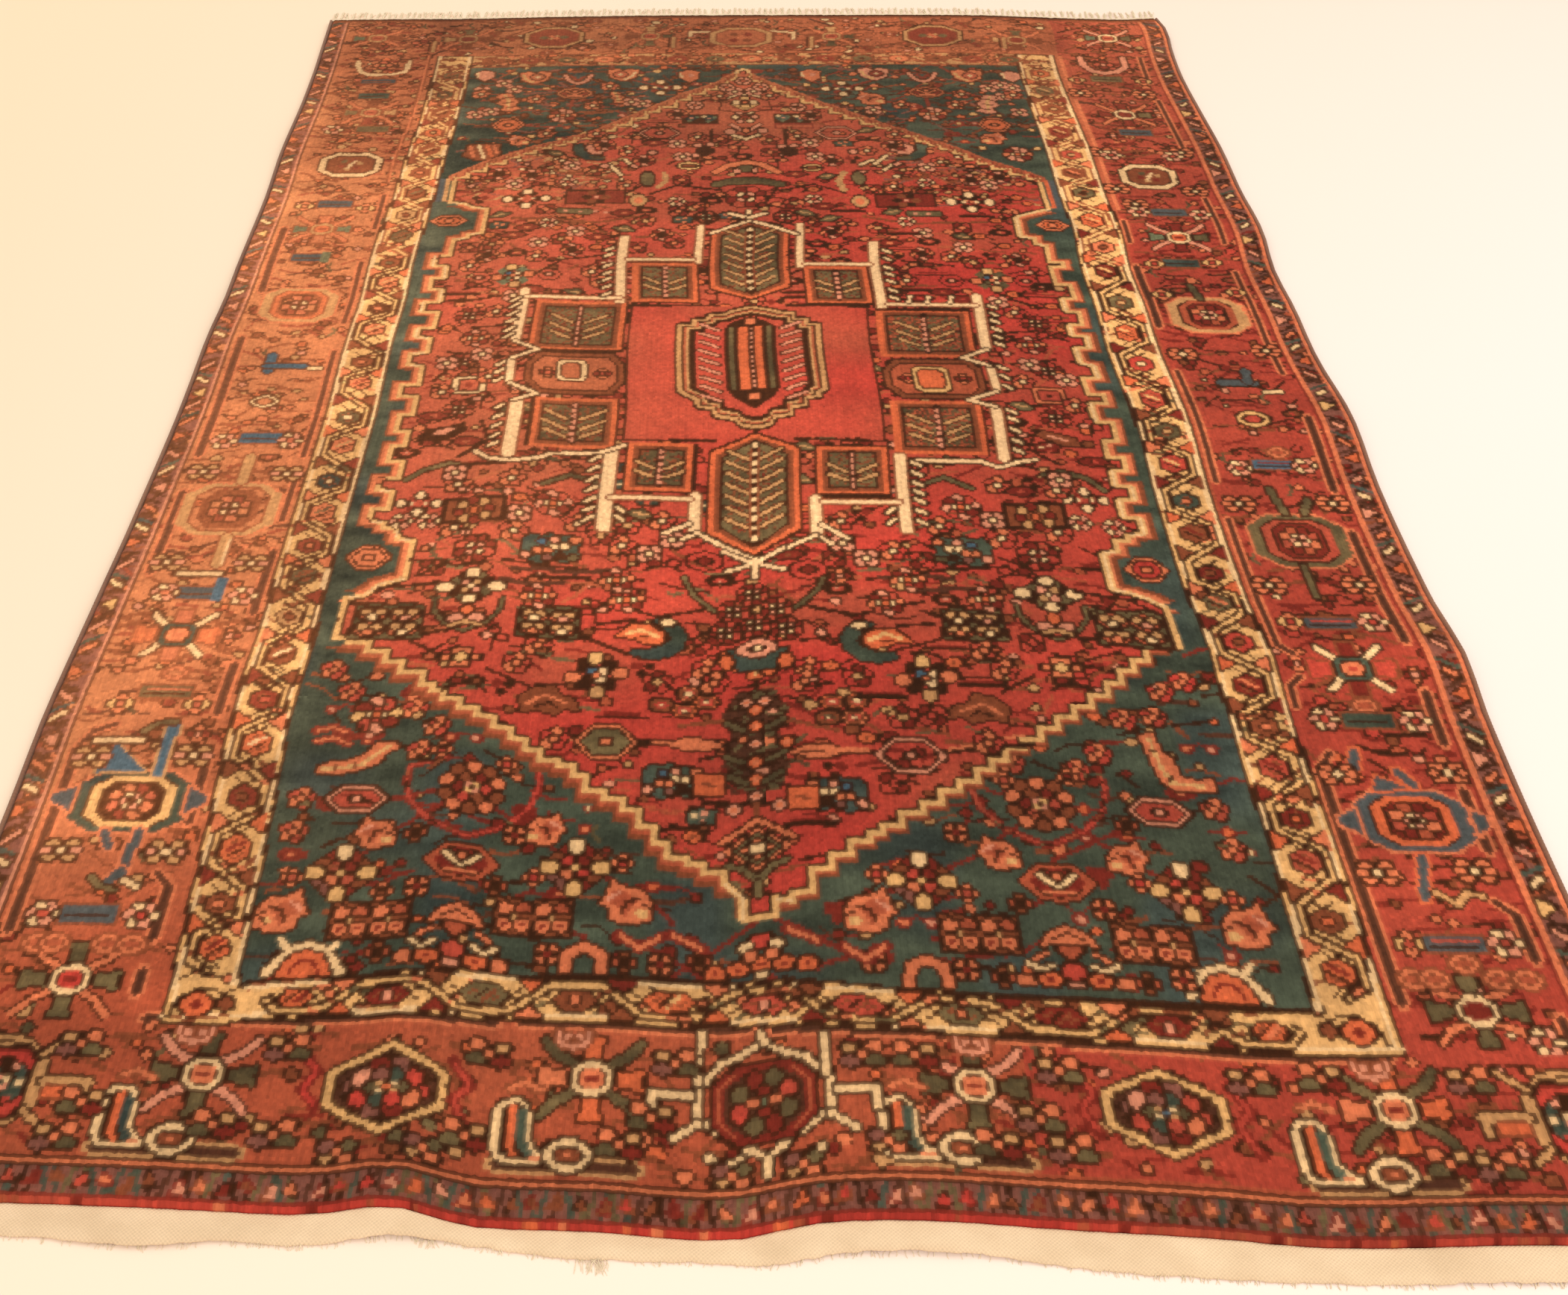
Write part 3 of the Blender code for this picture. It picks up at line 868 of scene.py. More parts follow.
class Chart:
    """The weaver's chart: a yarn number for each knot, row 0 at the near end."""

    def __init__(self, columns: int, rows: int, ground: str) -> None:
        """Start a chart of one ground yarn.

        Args:
            columns: Knots across the rug.
            rows: Rows of knots along it.
            ground: Letter of the ground yarn.
        """
        self.columns = columns
        self.rows = rows
        self.yarns = np.full((rows, columns), YARN_NUMBER[ground], np.int8)

    def _window(self, points: list[Point], margin: float) -> tuple[Block, np.ndarray, np.ndarray]:
        """The block of knots round some points.

        Args:
            points: Chart places.
            margin: Knots to add on every side.

        Returns:
            The block's index, and the u and v of its knots' middles.
        """
        us = [point[0] for point in points]
        vs = [point[1] for point in points]
        low_u = min(max(int(min(us) - margin), 0), self.columns)
        low_v = min(max(int(min(vs) - margin), 0), self.rows)
        high_u = max(min(int(max(us) + margin) + 2, self.columns), low_u)
        high_v = max(min(int(max(vs) + margin) + 2, self.rows), low_v)
        u, v = np.meshgrid(np.arange(low_u, high_u) + 0.5, np.arange(low_v, high_v) + 0.5)
        return (slice(low_v, high_v), slice(low_u, high_u)), u, v

    def _fill(self, block: Block, distance: np.ndarray, yarn: str, edge: str, edge_width: float) -> None:
        """Lay yarn where the distance is below zero, with its edge round it.

        Args:
            block: The block's index.
            distance: Each knot's distance outside the shape.
            yarn: Letter of the yarn, or nothing.
            edge: Letter of the yarn round it, or nothing.
            edge_width: Width of that edge.
        """
        knots = self.yarns[block]
        if edge:
            knots[distance <= edge_width] = YARN_NUMBER[edge]
        if yarn:
            knots[distance <= 0] = YARN_NUMBER[yarn]

    @staticmethod
    def _line_distance(u: np.ndarray, v: np.ndarray, points: list[Point]) -> np.ndarray:
        """Distance of each knot from a bent line.

        Args:
            u: Columns of the knots' middles.
            v: Rows of the knots' middles.
            points: The line's points.

        Returns:
            The distances, in knots.
        """
        best = np.full(u.shape, 1e9)
        for (au, av), (bu, bv) in zip(points, points[1:]):
            du, dv = bu - au, bv - av
            length = du * du + dv * dv
            share = np.zeros(u.shape)
            if length:
                share = np.clip(((u - au) * du + (v - av) * dv) / length, 0, 1)
            best = np.minimum(best, np.hypot(u - au - share * du, v - av - share * dv))
        return best

    @staticmethod
    def _inside(u: np.ndarray, v: np.ndarray, points: list[Point]) -> np.ndarray:
        """Which knots lie inside a closed outline.

        Args:
            u: Columns of the knots' middles.
            v: Rows of the knots' middles.
            points: The outline's corners.

        Returns:
            True for each knot inside.
        """
        inside = np.zeros(u.shape, bool)
        for (au, av), (bu, bv) in zip(points, points[1:] + points[:1]):
            if av != bv:
                crosses = (av > v) != (bv > v)
                inside ^= crosses & (u < (bu - au) * (v - av) / (bv - av) + au)
        return inside

    def stroke(
        self, yarn: str, points: list[Point], width: float = 1.5, edge: str = "", edge_width: float = 1.0
    ) -> None:
        """Work a line of even width.

        Args:
            yarn: Letter of its yarn.
            points: The points that it runs through.
            width: Its width, in knots.
            edge: Letter of the yarn on both sides of it, or nothing.
            edge_width: Width of that edge.
        """
        block, u, v = self._window(points, width / 2 + edge_width)
        distance = self._line_distance(u, v, points) - width / 2
        self._fill(block, distance, yarn, edge, edge_width)

    def area(self, yarn: str, points: list[Point], edge: str = "", edge_width: float = 1.0) -> None:
        """Work a filled outline.

        Args:
            yarn: Letter of its yarn, or nothing.
            points: Its corners.
            edge: Letter of the yarn round it, or nothing.
            edge_width: Width of that edge.
        """
        block, u, v = self._window(points, edge_width)
        inside = self._inside(u, v, points)
        distance = np.where(inside, -1.0, 1e9)
        if edge:
            closed = [*points, points[0]]
            distance = np.where(inside, -1.0, self._line_distance(u, v, closed))
        self._fill(block, distance, yarn, edge, edge_width)

    def oval(self, yarn: str, middle: Point, half: Point, edge: str = "", edge_width: float = 1.0) -> None:
        """Work a filled oval.

        Args:
            yarn: Letter of its yarn.
            middle: Its middle.
            half: Half its width and half its height.
            edge: Letter of the yarn round it, or nothing.
            edge_width: Width of that edge.
        """
        corners = [(middle[0] - half[0], middle[1] - half[1]), (middle[0] + half[0], middle[1] + half[1])]
        block, u, v = self._window(corners, edge_width)
        size = np.hypot((u - middle[0]) / half[0], (v - middle[1]) / half[1])
        distance = (size - 1) * min(half)
        self._fill(block, distance, yarn, edge, edge_width)

    def motif(
        self, motif: Motif, u: float, v: float, flip: bool = False, swap: str = "",
        scale: float = 1.0, upside: bool = False,
    ) -> None:
        """Work a motif at a place.

        Args:
            motif: Its parts.
            u: Columns to its middle.
            v: Rows to its middle.
            flip: Whether left and right change places.
            swap: Pairs of letters: a yarn, and the yarn used in its place.
            scale: How much larger than drawn.
            upside: Whether near and far change places.
        """
        changed = dict(zip(swap[::2], swap[1::2]))
        sign_u = -scale if flip else scale
        sign_v = -scale if upside else scale
        for part in motif:
            yarn = changed.get(part.yarn, part.yarn)
            edge = changed.get(part.edge, part.edge)
            edge = edge if edge in DARK_EDGES else part.edge
            if part.form is Form.OVAL:
                (du, dv), (ru, rv) = part.points
                middle = (u + sign_u * du, v + sign_v * dv)
                self.oval(yarn, middle, (ru * scale, rv * scale), edge, part.edge_width)
                continue
            points = [(u + sign_u * du, v + sign_v * dv) for du, dv in part.points]
            if part.form is Form.AREA:
                self.area(yarn, points, edge, part.edge_width)
            else:
                self.stroke(yarn, points, part.width, edge, part.edge_width)

    def motifs(
        self, motif: Motif, text: str, flip: bool = False, swap: str = "", scale: float = 1.0,
        upside: bool = False,
    ) -> None:
        """Work one motif at each of several places.

        Args:
            motif: Its parts.
            text: The places, written as "u,v u,v".
            flip: Whether left and right change places.
            swap: Pairs of letters: a yarn, and the yarn used in its place.
            scale: How much larger than drawn.
            upside: Whether near and far change places.
        """
        for u, v in places(text):
            self.motif(motif, u, v, flip, swap, scale, upside)

    def strokes(self, yarn: str, lines: str, width: float = 1.5, edge: str = "") -> None:
        """Work several lines, written one after the other with a bar between them."""
        for line in lines.split("|"):
            self.stroke(yarn, places(line), width, edge)

    def block(self, yarn: str, low_u: float, low_v: float, high_u: float, high_v: float) -> None:
        """Work a plain upright block."""
        self.yarns[round(low_v) : round(high_v), round(low_u) : round(high_u)] = YARN_NUMBER[yarn]


# ---------------------------------------------------------------- the design


def staircase(points: list[Point], up_first: bool = True) -> list[Point]:
    """A stepped line through points, level and upright by turns.

    Args:
        points: The points.
        up_first: Whether each step goes upright before it goes level.

    Returns:
        The stepped line.
    """
    steps = [points[0]]
    for (au, av), (bu, bv) in zip(points, points[1:]):
        steps.append((au, bv) if up_first else (bu, av))
        steps.append((bu, bv))
    return steps


def battlement(text: str) -> list[Point]:
    """A line of upright runs, one after the other.

    Args:
        text: The runs, written as "from-to:column" with rows before the colon.

    Returns:
        The line's points.
    """
    line = []
    for run in text.split():
        span, column = run.split(":")
        low, high = span.split("-")
        line += [(float(column), float(low)), (float(column), float(high))]
    return line


# The lozenge's stepped edge: its four slanted sides, upright sides and shoulders.
NEAR_LEFT_STEPS = (
    "226,97 220,104 214,108 209,111 203,113 199,118 194,124 189,130 183,134 177,137 173,143"
    " 168,147 162,149 157,153 152,157 146,161 140,165 134,168 128,172 124,176 120,179 112,185"
    " 106,190 99,195 92,199 87,201"
)
NEAR_RIGHT_STEPS = (
    "234,95 240,95 246,98 252,106 258,111 264,116 268,119 274,122 281,127 287,131 293,136"
    " 299,140 304,145 309,149 315,154 321,158 327,163 333,168 339,173 345,178 350,184 355,190"
    " 360,195 366,201 372,202"
)
FAR_LEFT_STEPS = (
    "89,517 95,523 103,530 112,536 118,540 126,545 133,548 140,551 145,555 152,558 158,563"
    " 164,569 172,576 180,583 186,588 195,596 202,603 210,608 217,613 222,619 227,624"
)
FAR_RIGHT_STEPS = (
    "371,515 366,519 358,524 350,529 344,533 338,539 333,543 327,547 321,551 316,556 309,561"
    " 303,565 297,569 290,575 282,581 275,587 268,592 261,599 254,605 247,611 240,617 235,623"
)
LEFT_BATTLEMENT = (
    "262-269:88 269-279:94 280-287:88 287-297:95 297-307:89 307-316:94 316-327:89 327-339:94"
    " 339-347:87 347-360:94 361-369:88 370-380:95 381-388:88.5 388-400:95 400-408:87.5"
    " 408-418:94.5 418-427:89 427-437:94.5 437-446:88.5 446-456:95"
)
RIGHT_BATTLEMENT = (
    "259-268:372.5 268-278:366.5 278-286:372.5 286-295:366.5 295-303:372 303-313:366"
    " 313-325:371 325-337:364.5 337-343:371 343-354:365 354-363:371.5 364-375:366.5"
    " 375-384:372.5 384-392:366.5 392-402:372 402-412:366.5 412-423:372 423-437:366"
    " 437-441:372 441-450:366"
)
LEFT_SHOULDER = "87,221 93,222 98,228 106,231 106,251 100,252 99,258 94,258 94,261"
RIGHT_SHOULDER = "372,221 367,225 361,228 355.5,229 355.5,248 361,249 361,255 366,255 366,258"
LEFT_UPPER_SHOULDER = "95,460 101,461 101,464 107,465 107,487 101,488 96,492 89,493"
RIGHT_UPPER_SHOULDER = "366,455 361,456 361,461 354.5,462 354.5,479 358,481 364,484 371,487"

# Both edges of the gold guard's runs, from their near or left end.
NEAR_GUARD_LOW = "67,52 110,55 130,54.5 160,57 200,57 220,58 240,55.5 260,53 300,52 340,51 402,51"
NEAR_GUARD_HIGH = "67,62 85,64 110,67 130,67.5 150,70 180,70.5 220,70.5 240,68 260,65.5 300,63.5 402,63.5"
LEFT_GUARD_OUT = "67.5,52 64,120 62,160 60.5,230 60,345 60,455 62,500 65,570 66,650"
LEFT_GUARD_IN = "85,52 82,120 80,160 79,230 79,345 79,455 80.5,500 83,570 84,650"
RIGHT_GUARD_IN = "382,51 384,120 381.5,230 380.5,345 380.5,455 379,500 379,570 381,650"
RIGHT_GUARD_OUT = "401.5,51 403,120 401,230 401,345 401,455 400,500 400,570 400,650"

# Columns and rows where the photographed rug's yarns change.
RIGHT_PANELS_START = 280
CORNER_FIELD_END = 637
CLEAR_VINE_END = 450
FADED_VINE_START = 436
DARK_FLOWERS_END = 520

# The gold guard's flowers: where each stands along its run, and its two yarns.
LEFT_FLOWERS = (
    "76:od 91:es 111:od 131:de 153:oc 172:dr 193:ec 211:te 232:ve 248:ds 267:sv 285:nc 307:st"
    " 325:vc 348:sd 363:es 387:st 403:ks 424:st 440:ev 463:ve 482:te 502:ev 522:es 545:et 563:ot"
    " 585:et 605:vt 627:ve"
)
RIGHT_FLOWERS = (
    "76:od 93:eo 114:rd 130:do 150:rd 167:es 185:ds 205:re 224:vs 239:de 260:ed 278:ns 300:rg"
    " 320:vt 341:rg 365:rc 387:og 410:vt 435:dg 455:se 478:og 503:vk 522:es 540:rt 563:dt 588:et"
    " 608:vt 628:ot"
)
NEAR_FLOWERS = (
    "102:od 127:dp 154:ve 179:es 205:og 231:rp 257:re 285:vs 312:de 341:dp 368:os"
)


def column_at(text: str, row: float) -> float:
    """The column where an upright edge crosses a row."""
    edge = places(text)
    return float(np.interp(row, [point[1] for point in edge], [point[0] for point in edge]))


def row_at(text: str, column: float) -> float:
    """The row where a level edge crosses a column."""
    edge = places(text)
    return float(np.interp(column, [point[0] for point in edge], [point[1] for point in edge]))


@dataclass
class RugDesign:
    """The rug's whole design, worked ground by ground and motif by motif.

    Args:
        columns: Knots across the rug.
        rows: Rows of knots along it.
        seed: Start of the random draws for the loose sprigs.
    """

    columns: int = 467
    rows: int = 700
    seed: int = 11
    chart: Chart = field(init=False)
    random: np.random.Generator = field(init=False)

    def work(self) -> Chart:
        """Work the whole design.

        Returns:
            The finished chart.
        """
        self.chart = Chart(self.columns, self.rows, "b")
        self.random = np.random.default_rng(self.seed)
        self.border_sprigs()
        self.outer_guard()
        self.side_borders()
        self.near_border()
        self.far_border()
        self.corner_field()
        self.lozenge()
        self.lozenge_flowers()
        self.medallion()
        self.gold_guard()
        return self.chart

    # Borders.

    def sprigs(
        self, count: int, low: Point, high: Point, ground: str, swap: str = "",
        kinds: tuple[Motif, ...] = SPRIGS,
    ) -> None:
        """Scatter small sprigs over the bare places of a ground.

        Args:
            count: How many places are tried.
            low: Near left corner of the block.
            high: Far right corner of the block.
            ground: Letter of the ground yarn that has to lie bare there.
            swap: Pairs of letters: a yarn, and the yarn used in its place.
            kinds: The sprigs to choose from.
        """
        bare = YARN_NUMBER[ground]
        for _ in range(count):
            u = self.random.uniform(low[0], high[0])
            v = self.random.uniform(low[1], high[1])
            kind = int(self.random.integers(len(kinds)))
            flip = bool(self.random.integers(2))
            around = self.chart.yarns[int(v) - 3 : int(v) + 4, int(u) - 4 : int(u) + 5]
            if around.size and (around == bare).mean() > BARE_ENOUGH:
                self.chart.motif(kinds[kind], u, v, flip, swap)

    def undergrowth(self, count: int, low: Point, high: Point, ground: str, tones: str, buds: str) -> None:
        """Fine dark stems and dull buds, mostly level, over a bare ground.

        Args:
            count: How many stems are worked.
            low: Near left corner of the block.
            high: Far right corner of the block.
            ground: Letter of the ground yarn, the only one that is covered.
            tones: Letters of the stems' yarns.
            buds: Letters of the buds' yarns.
        """
        before = self.chart.yarns.copy()
        for number in range(count):
            u = self.random.uniform(low[0], high[0])
            v = self.random.uniform(low[1], high[1])
            yarn = tones[int(self.random.integers(len(tones)))]
            reach = self.random.uniform(2.0, 7.0)
            rise = self.random.normal(0, 1.2) if number % 4 else self.random.uniform(-5, 5)
            bend = self.random.uniform(-1.8, 1.8)
            line = [(u - reach, v - rise), (u, v + bend), (u + reach, v + rise)]
            self.chart.stroke(yarn, line, self.random.uniform(0.9, 1.7))
            bud = buds[int(self.random.integers(len(buds)))]
            if number % 2:
                size = self.random.uniform(1.0, 1.9)
                self.chart.oval(bud, (u + reach + 1, v + rise), (size * 1.15, size), "k", 0.8)
            if number % 6 == 0:
                self.chart.oval(bud, (u, v + 2.6), (1.3, 1.1), "k", 0.7)
        self.keep_all_but(ground, before)

    def keep_all_but(self, ground: str, before: np.ndarray) -> None:
        """Put back every knot that wasn't of the ground yarn before.

        Args:
            ground: Letter of the ground yarn.
            before: The yarns as they were.
        """
        kept = before != YARN_NUMBER[ground]
        self.chart.yarns[kept] = before[kept]

    def border_sprigs(self) -> None:
        """Small leaves and buds over the border's ground."""
        self.chart.block("m", 403, 0, 455, self.rows)
        self.undergrowth(240, (15, 14), (59, 694), "b", "eeede", "setoed")
        self.undergrowth(240, (406, 14), (449, 694), "m", "deddk", "serbdd")
        self.sprigs(230, (14, 20), (58, 690), "b")
        self.sprigs(230, (406, 20), (450, 690), "m")

    def outer_guard(self) -> None:
        """The narrow dark guard round the rug, with its slanted bars and triangles."""
        chart = self.chart
        chart.block("q", 0, 0, 10, self.rows)
        chart.block("q", 455, 0, 467, self.rows)
        chart.block("q", 0, 0, self.columns, 10)
        for low, high in ((0.5, 9.5), (455.5, 463)):
            self.undergrowth(260, (low, 10), (high, 695), "q", "khdek", "dbhse")
        self.guard_marks(5.3, 12, 690, 11.0, False)
        self.guard_marks(459.0, 12, 690, 11.0, True)
        self.near_guard_marks()
        rims = (
            (0, 1.2, "h"), (10, 11, "p"), (11, 12, "k"), (453.4, 455, "s"), (452, 453.4, "d"),
            (463.4, 465.6, "s"),
        )
        for low, high, yarn in rims:
            chart.block(yarn, low, 9, high, self.rows)
        chart.block("d", 465.6, 0, 467, self.rows)
        chart.block("r", 0, 0, self.columns, 1)
        chart.block("d", 0, 1, self.columns, 1.6)
        for _ in range(40):
            u = self.random.uniform(0, self.columns)
            chart.block("dbosd"[int(self.random.integers(5))], u, 0, u + self.random.uniform(1, 4), 1)
        chart.block("k", 10, 11, 453, 12)
        chart.block("s", 10, 10, 454, 11)
        chart.block("k", 0, 9, self.columns, 10)

    def guard_marks(self, middle: float, low: float, high: float, pitch: float, flip: bool) -> None:
        """Slanted bars and triangles up one side of the outer guard.

        Args:
            middle: Column of the guard's middle.
            low: Row where the marks start.
            high: Row where they end.
            pitch: Rows from mark to mark, before they are drawn in a little.
            flip: Whether left and right change places.
        """
        yarns = "cspcpospgcpo"
        row = low + 4
        number = 0
        while row < high:
            yarn = yarns[number % len(yarns)]
            lean = 1.8 if (number // 2) % 2 else -1.8
            if number % 3 == 2:
                side = 2.6 if number % 2 else -2.6
                mark = area(yarn, f"{-side},-2.8 {-side},2.8 {side * 0.7},0")
            else:
                mark = area(
                    yarn,
                    f"{-2.4},{-1.4 - lean} {-2.4},{0.6 - lean} {2.4},{1.4 + lean} {2.4},{-0.6 + lean}",
                )
            spot = row + self.random.uniform(-1, 1)
            dark = stroke("nkh"[number % 3], f"-3.4,{3.6 - lean} 3.4,{4.4 + lean}", 1.5)
            self.chart.motif((dark, mark), middle, spot, flip)
            row += pitch * self.random.uniform(0.85, 1.15) * 0.92
            number += 1

    def near_guard_marks(self) -> None:
        """Small leaves and triangles along the near end's guard, with dark stems between them."""
        yarns = "psodrpesre"
        for number in range(78):
            u = 3 + number * 6.0 + self.random.uniform(-0.8, 0.8)
            lean = 1.3 if number % 2 else -1.3
            for step in (-2.6, 0.4):
                dark = "nhvk"[int(self.random.integers(4))]
                self.chart.stroke(
                    dark, [(u + step, 5.2 - 2.6 * lean), (u + step + 1.6, 5.2 + 2.6 * lean)], 1.4
                )
            yarn = yarns[int(self.random.integers(10))]
            v = 5.4 + self.random.uniform(-1.0, 1.0)
            mark = area(
                yarn, f"-1.9,{-1.3 - lean * 0.5} 1.9,-1.2 {lean * 0.5},{1.6 + abs(lean) * 0.4}",
                "kde"[number % 3], 0.7,
            )
            self.chart.motif((mark,), u + 1.5, v)

    def brackets(self, lines: str, yarn: str = "s") -> None:
        """A dark line between two thin light ones.

        Args:
            lines: The lines' points.
            yarn: Letter of the light yarn.
        """
        self.chart.strokes(yarn, lines, 4.0)
        self.chart.strokes("h", lines, 2.1)

    def side_borders(self) -> None:
        """Both side borders, each motif at its own place on either side."""
        chart = self.chart
        self.brackets(
            "15.5,20 15.5,62|15.5,80 15.5,150 19,157 25,160|15.5,232 15.5,278|15.5,300 15.5,380"
            "|15.5,415 15.5,470"
        )
        self.brackets(
            "57.5,60 57.5,68|57.5,78 57.5,97 53,101|57.5,120 57.5,150|56.5,165 56.5,188|56.5,212 56.5,245"
            "|56,262 56,285 51,290|56,300 56,370|56,392 56,440|57,470 57,500"
        )
        self.brackets(
            "406.5,66 406.5,150 411,156|405,176 405,185 409,189|409,200 405,204 405,268|405,290 405,360"
            "|404.5,392 404.5,440|404,460 404,478"
        )
        self.brackets(
            "448.5,20 448.5,62|448.5,80 448.5,96 444,100|448.5,118 448.5,142|448.5,160 448.5,183"
            "|448.5,205 448.5,262|448.5,285 448.5,330|448,360 448,436|447,460 447,500|447,545"
            " 447,600|447,620 447,650",
        )
        far_lines = "57,512 58,545 60,580 61,652|404,488 404,600|404,612 404,650"
        chart.strokes("e", far_lines, 2.2)
        chart.strokes("s", far_lines, 1.0)
        self.flower_crosses()
        self.border_octagons()
        self.border_bars()
        self.small_border_flowers()

    def flower_crosses(self) -> None:
        """Large crossed flowers and star flowers of the side borders."""
        chart = self.chart
        chart.motif(flower_cross("vvvv", "s", "c", "r", 13.5, 12), 38, 64)
        chart.motif(flower_cross("vvvv", "s", "c", "d", 13.5, 11), 426.5, 64)
        chart.motif(star_flower("r", "o"), 33.5, 201)
        chart.motif(star_flower("d", "r"), 427.5, 193)
        chart.motif(flower_cross("ysyr", "s", "t", "o", 13, 12), 33, 469, swap="kebe")
        chart.motif(flower_cross("vdyd", "p", "c", "o", 13, 12), 427, 465)
        chart.motif(flower_cross("tevd", "s", "t", "r", 13, 13), 38, 585, swap="ke")
        chart.motif(flower_cross("vddd", "s", "c", "d", 13, 12), 426, 584)

    def border_octagons(self) -> None:
        """Octagons of the side borders, with the blue hooks above and below them."""
        chart = self.chart
        chart.motif(border_octagon("n", "g", "k", 17.5, 12), 38, 128)
        chart.motif(border_octagon("l", "o", "d", 16.5, 11.5), 430, 129.5)
        chart.strokes("l", "43.5,116 42,101|42,101 38.5,97", 3.2, "s")
        chart.strokes("l", "33,116 36,110", 2.6, "s")
        chart.strokes("v", "34,99 37,96 42,94.5", 1.6, "k")
        chart.area("u", places("24.5,139.5 24.5,152 27,152 39,140"), "t")
        chart.strokes("u", "43.5,139.5 44,159", 3.2, "t")
        chart.strokes("v", "35,157 39,160.5 44,161", 1.8, "k")
        chart.strokes("b", "34,149 40,152", 2.6, "k")
        for u, reach in ((16.8, -3.4), (58, 3.0), (409.8, -3.0), (450, 2.4)):
            chart.area("l", [(u - reach, 124), (u + reach, 128), (u + reach, 131), (u - reach, 134)], "s")
        chart.strokes("l", "428,116 424,101", 2.8, "o")
        chart.strokes("t", "428,103 433,99 437,103 441,102", 1.5, "k")
        chart.area("l", places("421,141 423,147 432,142"), "o")
        chart.strokes("l", "416,146 419,157|434,143 430,149", 3.0, "o")
        chart.strokes("k", "426,156 436,156", 1.2)
        chart.motif(border_octagon("t", "b", "e", 18, 14.5), 35, 268, swap="oske")
        chart.motif(border_octagon("v", "r", "d", 17, 13.5), 428.5, 257)
        chart.motif(border_octagon("t", "o", "b", 16, 13), 34, 405, swap="kebeds")
        chart.motif(border_octagon("t", "b", "d", 16, 13), 427.5, 402)
        chart.strokes("t", "38,237 38,252|36,284 36,299", 3.4, "e")
        chart.strokes("v", "426,228 426,243|427,272 424,286|434,272 437,280|427,414 425,425", 2.8, "k")
        chart.strokes("c", "39.5,238 39.5,250", 1.2)
        for u, v in ((35, 268), (34, 405)):
            chart.motif(
                (*rosette("rdrbrdrb", 5.6, 2.3, "", 22, "k"), *rosette("cpcp", 2.3, 1.1, "k", 45)), u, v
            )
        self.cream_octagon(37, 530, 14.5, 11.5)
        self.cream_octagon(424.5, 520.5, 13, 11)
        chart.stroke("c", places("23,645 24,638 26.5,632 31,628.5 43,629 50,632 51,645"), 2.6, "e")
        chart.motif(border_bar("l", "e", 9, 2.4), 37, 621, swap="ke")
        chart.stroke("p", places("414.5,649 415,640 419,633 425,631 432,633 437.5,639 437.5,650"), 3.4, "k")
        chart.motif(rosette("rdrd", 3, 2.0, "p"), 426, 641)
        chart.motif(rosette("srsr", 3, 2.0, "t"), 37, 640)
        self.undergrowth(230, (15, 540), (60, 694), "b", "ehdek", "tsedor")
        self.undergrowth(170, (406, 540), (449, 694), "m", "ehdek", "tsedor")
        self.undergrowth(200, (15, 110), (60, 540), "b", "eedeh", "tseoe")
        self.undergrowth(200, (406, 60), (449, 540), "m", "deddk", "esrbd")

    def cream_octagon(self, u: float, v: float, ru: float, rv: float) -> None:
        """A cream octagon ring round a speckled brown heart.

        Args:
            u: Column of its middle.
            v: Row of its middle.
            ru: Half its width.
            rv: Half its height.
        """
        parts = (
            polygon("c", ru, rv, 0.45),
            polygon("e", ru - 3.4, rv - 3.2, 0.45),
            *rosette("tdvdtd", 4.4, 1.6, "c", 15, ""),
            stroke("c", "-1,-3.6 2,4", 1.3),
        )
        self.chart.motif(parts, u, v)

    def border_bars(self) -> None:
        """Short bars between the side borders' flowers."""
        chart = self.chart
        rows = (
            ("l", "r", "37,86 427.5,85.5"),
            ("v", "r", "37.5,174.5"),
            ("n", "r", "427,170"),
            ("l", "r", "34,222 426.5,214.5"),
            ("u", "d", "37,311 429,300.5"),
            ("l", "d", "32,444"),
            ("n", "d", "425,443"),
            ("l", "e", "35,492"),
            ("l", "d", "427,487 427,565"),
            ("n", "e", "37,604"),
            ("v", "k", "425,624"),
        )
        for yarn, stripe, spots in rows:
            chart.motifs(border_bar(yarn, stripe), spots)
        chart.block("u", 39.5, 218, 44, 230)
        chart.strokes("u", "31,356 31,367|30,359.5 45,359.5", 3.6, "k")
        chart.strokes("l", "421,353 434,353|432,354 433,361", 3.4, "k")
        chart.block("y", 37, 440, 41, 449)
        chart.motif(border_bar("v", "t", 8, 3), 42, 567, swap="kv")

    def small_border_flowers(self) -> None:
        """Little rosettes beside the bars and octagons."""
        chart = self.chart
        chart.motifs(BORDER_ROSETTE, "22,109 53.5,109 21,146 53,147 20,290 52,289 20,238 50,238")
        chart.motifs(
            BORDER_ROSETTE,
            "413,110 442,111 411.5,147.5 446,148.5 411,277 446,278 411,233 443,234 410.5,372.5"
            " 446,376 406,544 445,545 407,508 444,507 413,494 408,607 441,607",
            swap="tsps",
        )
        chart.motifs(
            SMALL_RING,
            "25,76 30,76 45,76 52,76 412,74 418,74 436,74 444,74 428,79 427.5,176.5 38,183 432,308",
        )
        chart.motifs(
            CREAM_FLOWER,
            "23.5,86 52,86 442,86 442,54.5 413,170.5 442,170 23.5,222 51,221 441,215 440.5,300 415.5,298"
            " 23,309 49,309.5 410,541 440,541 22,566 413,487 441,485",
            scale=0.95,
        )
        chart.motifs(
            SMALL_GOLD,
            "413,215 24,169 49,169 414.5,85.5 411,417 444,420 413,442 439,444 21,490 50,488 444,622"
            " 409,622",
        )
        chart.motif((oval("c", 0, 0, 5.5, 3.6), oval("b", 0, 0, 3, 1.6)), 33.5, 335)
        chart.motif((oval("g", 0, 0, 6.2, 4.8), oval("r", 0, 0, 3.2, 2.2)), 427, 329)
        chart.motifs((stroke("c", "-8,0 8,0", 1.3, "k"),), "28,153 33,232")
        chart.strokes("c", "44,98 48,96|437,347 443,347|48,358 52,358", 1.6, "k")

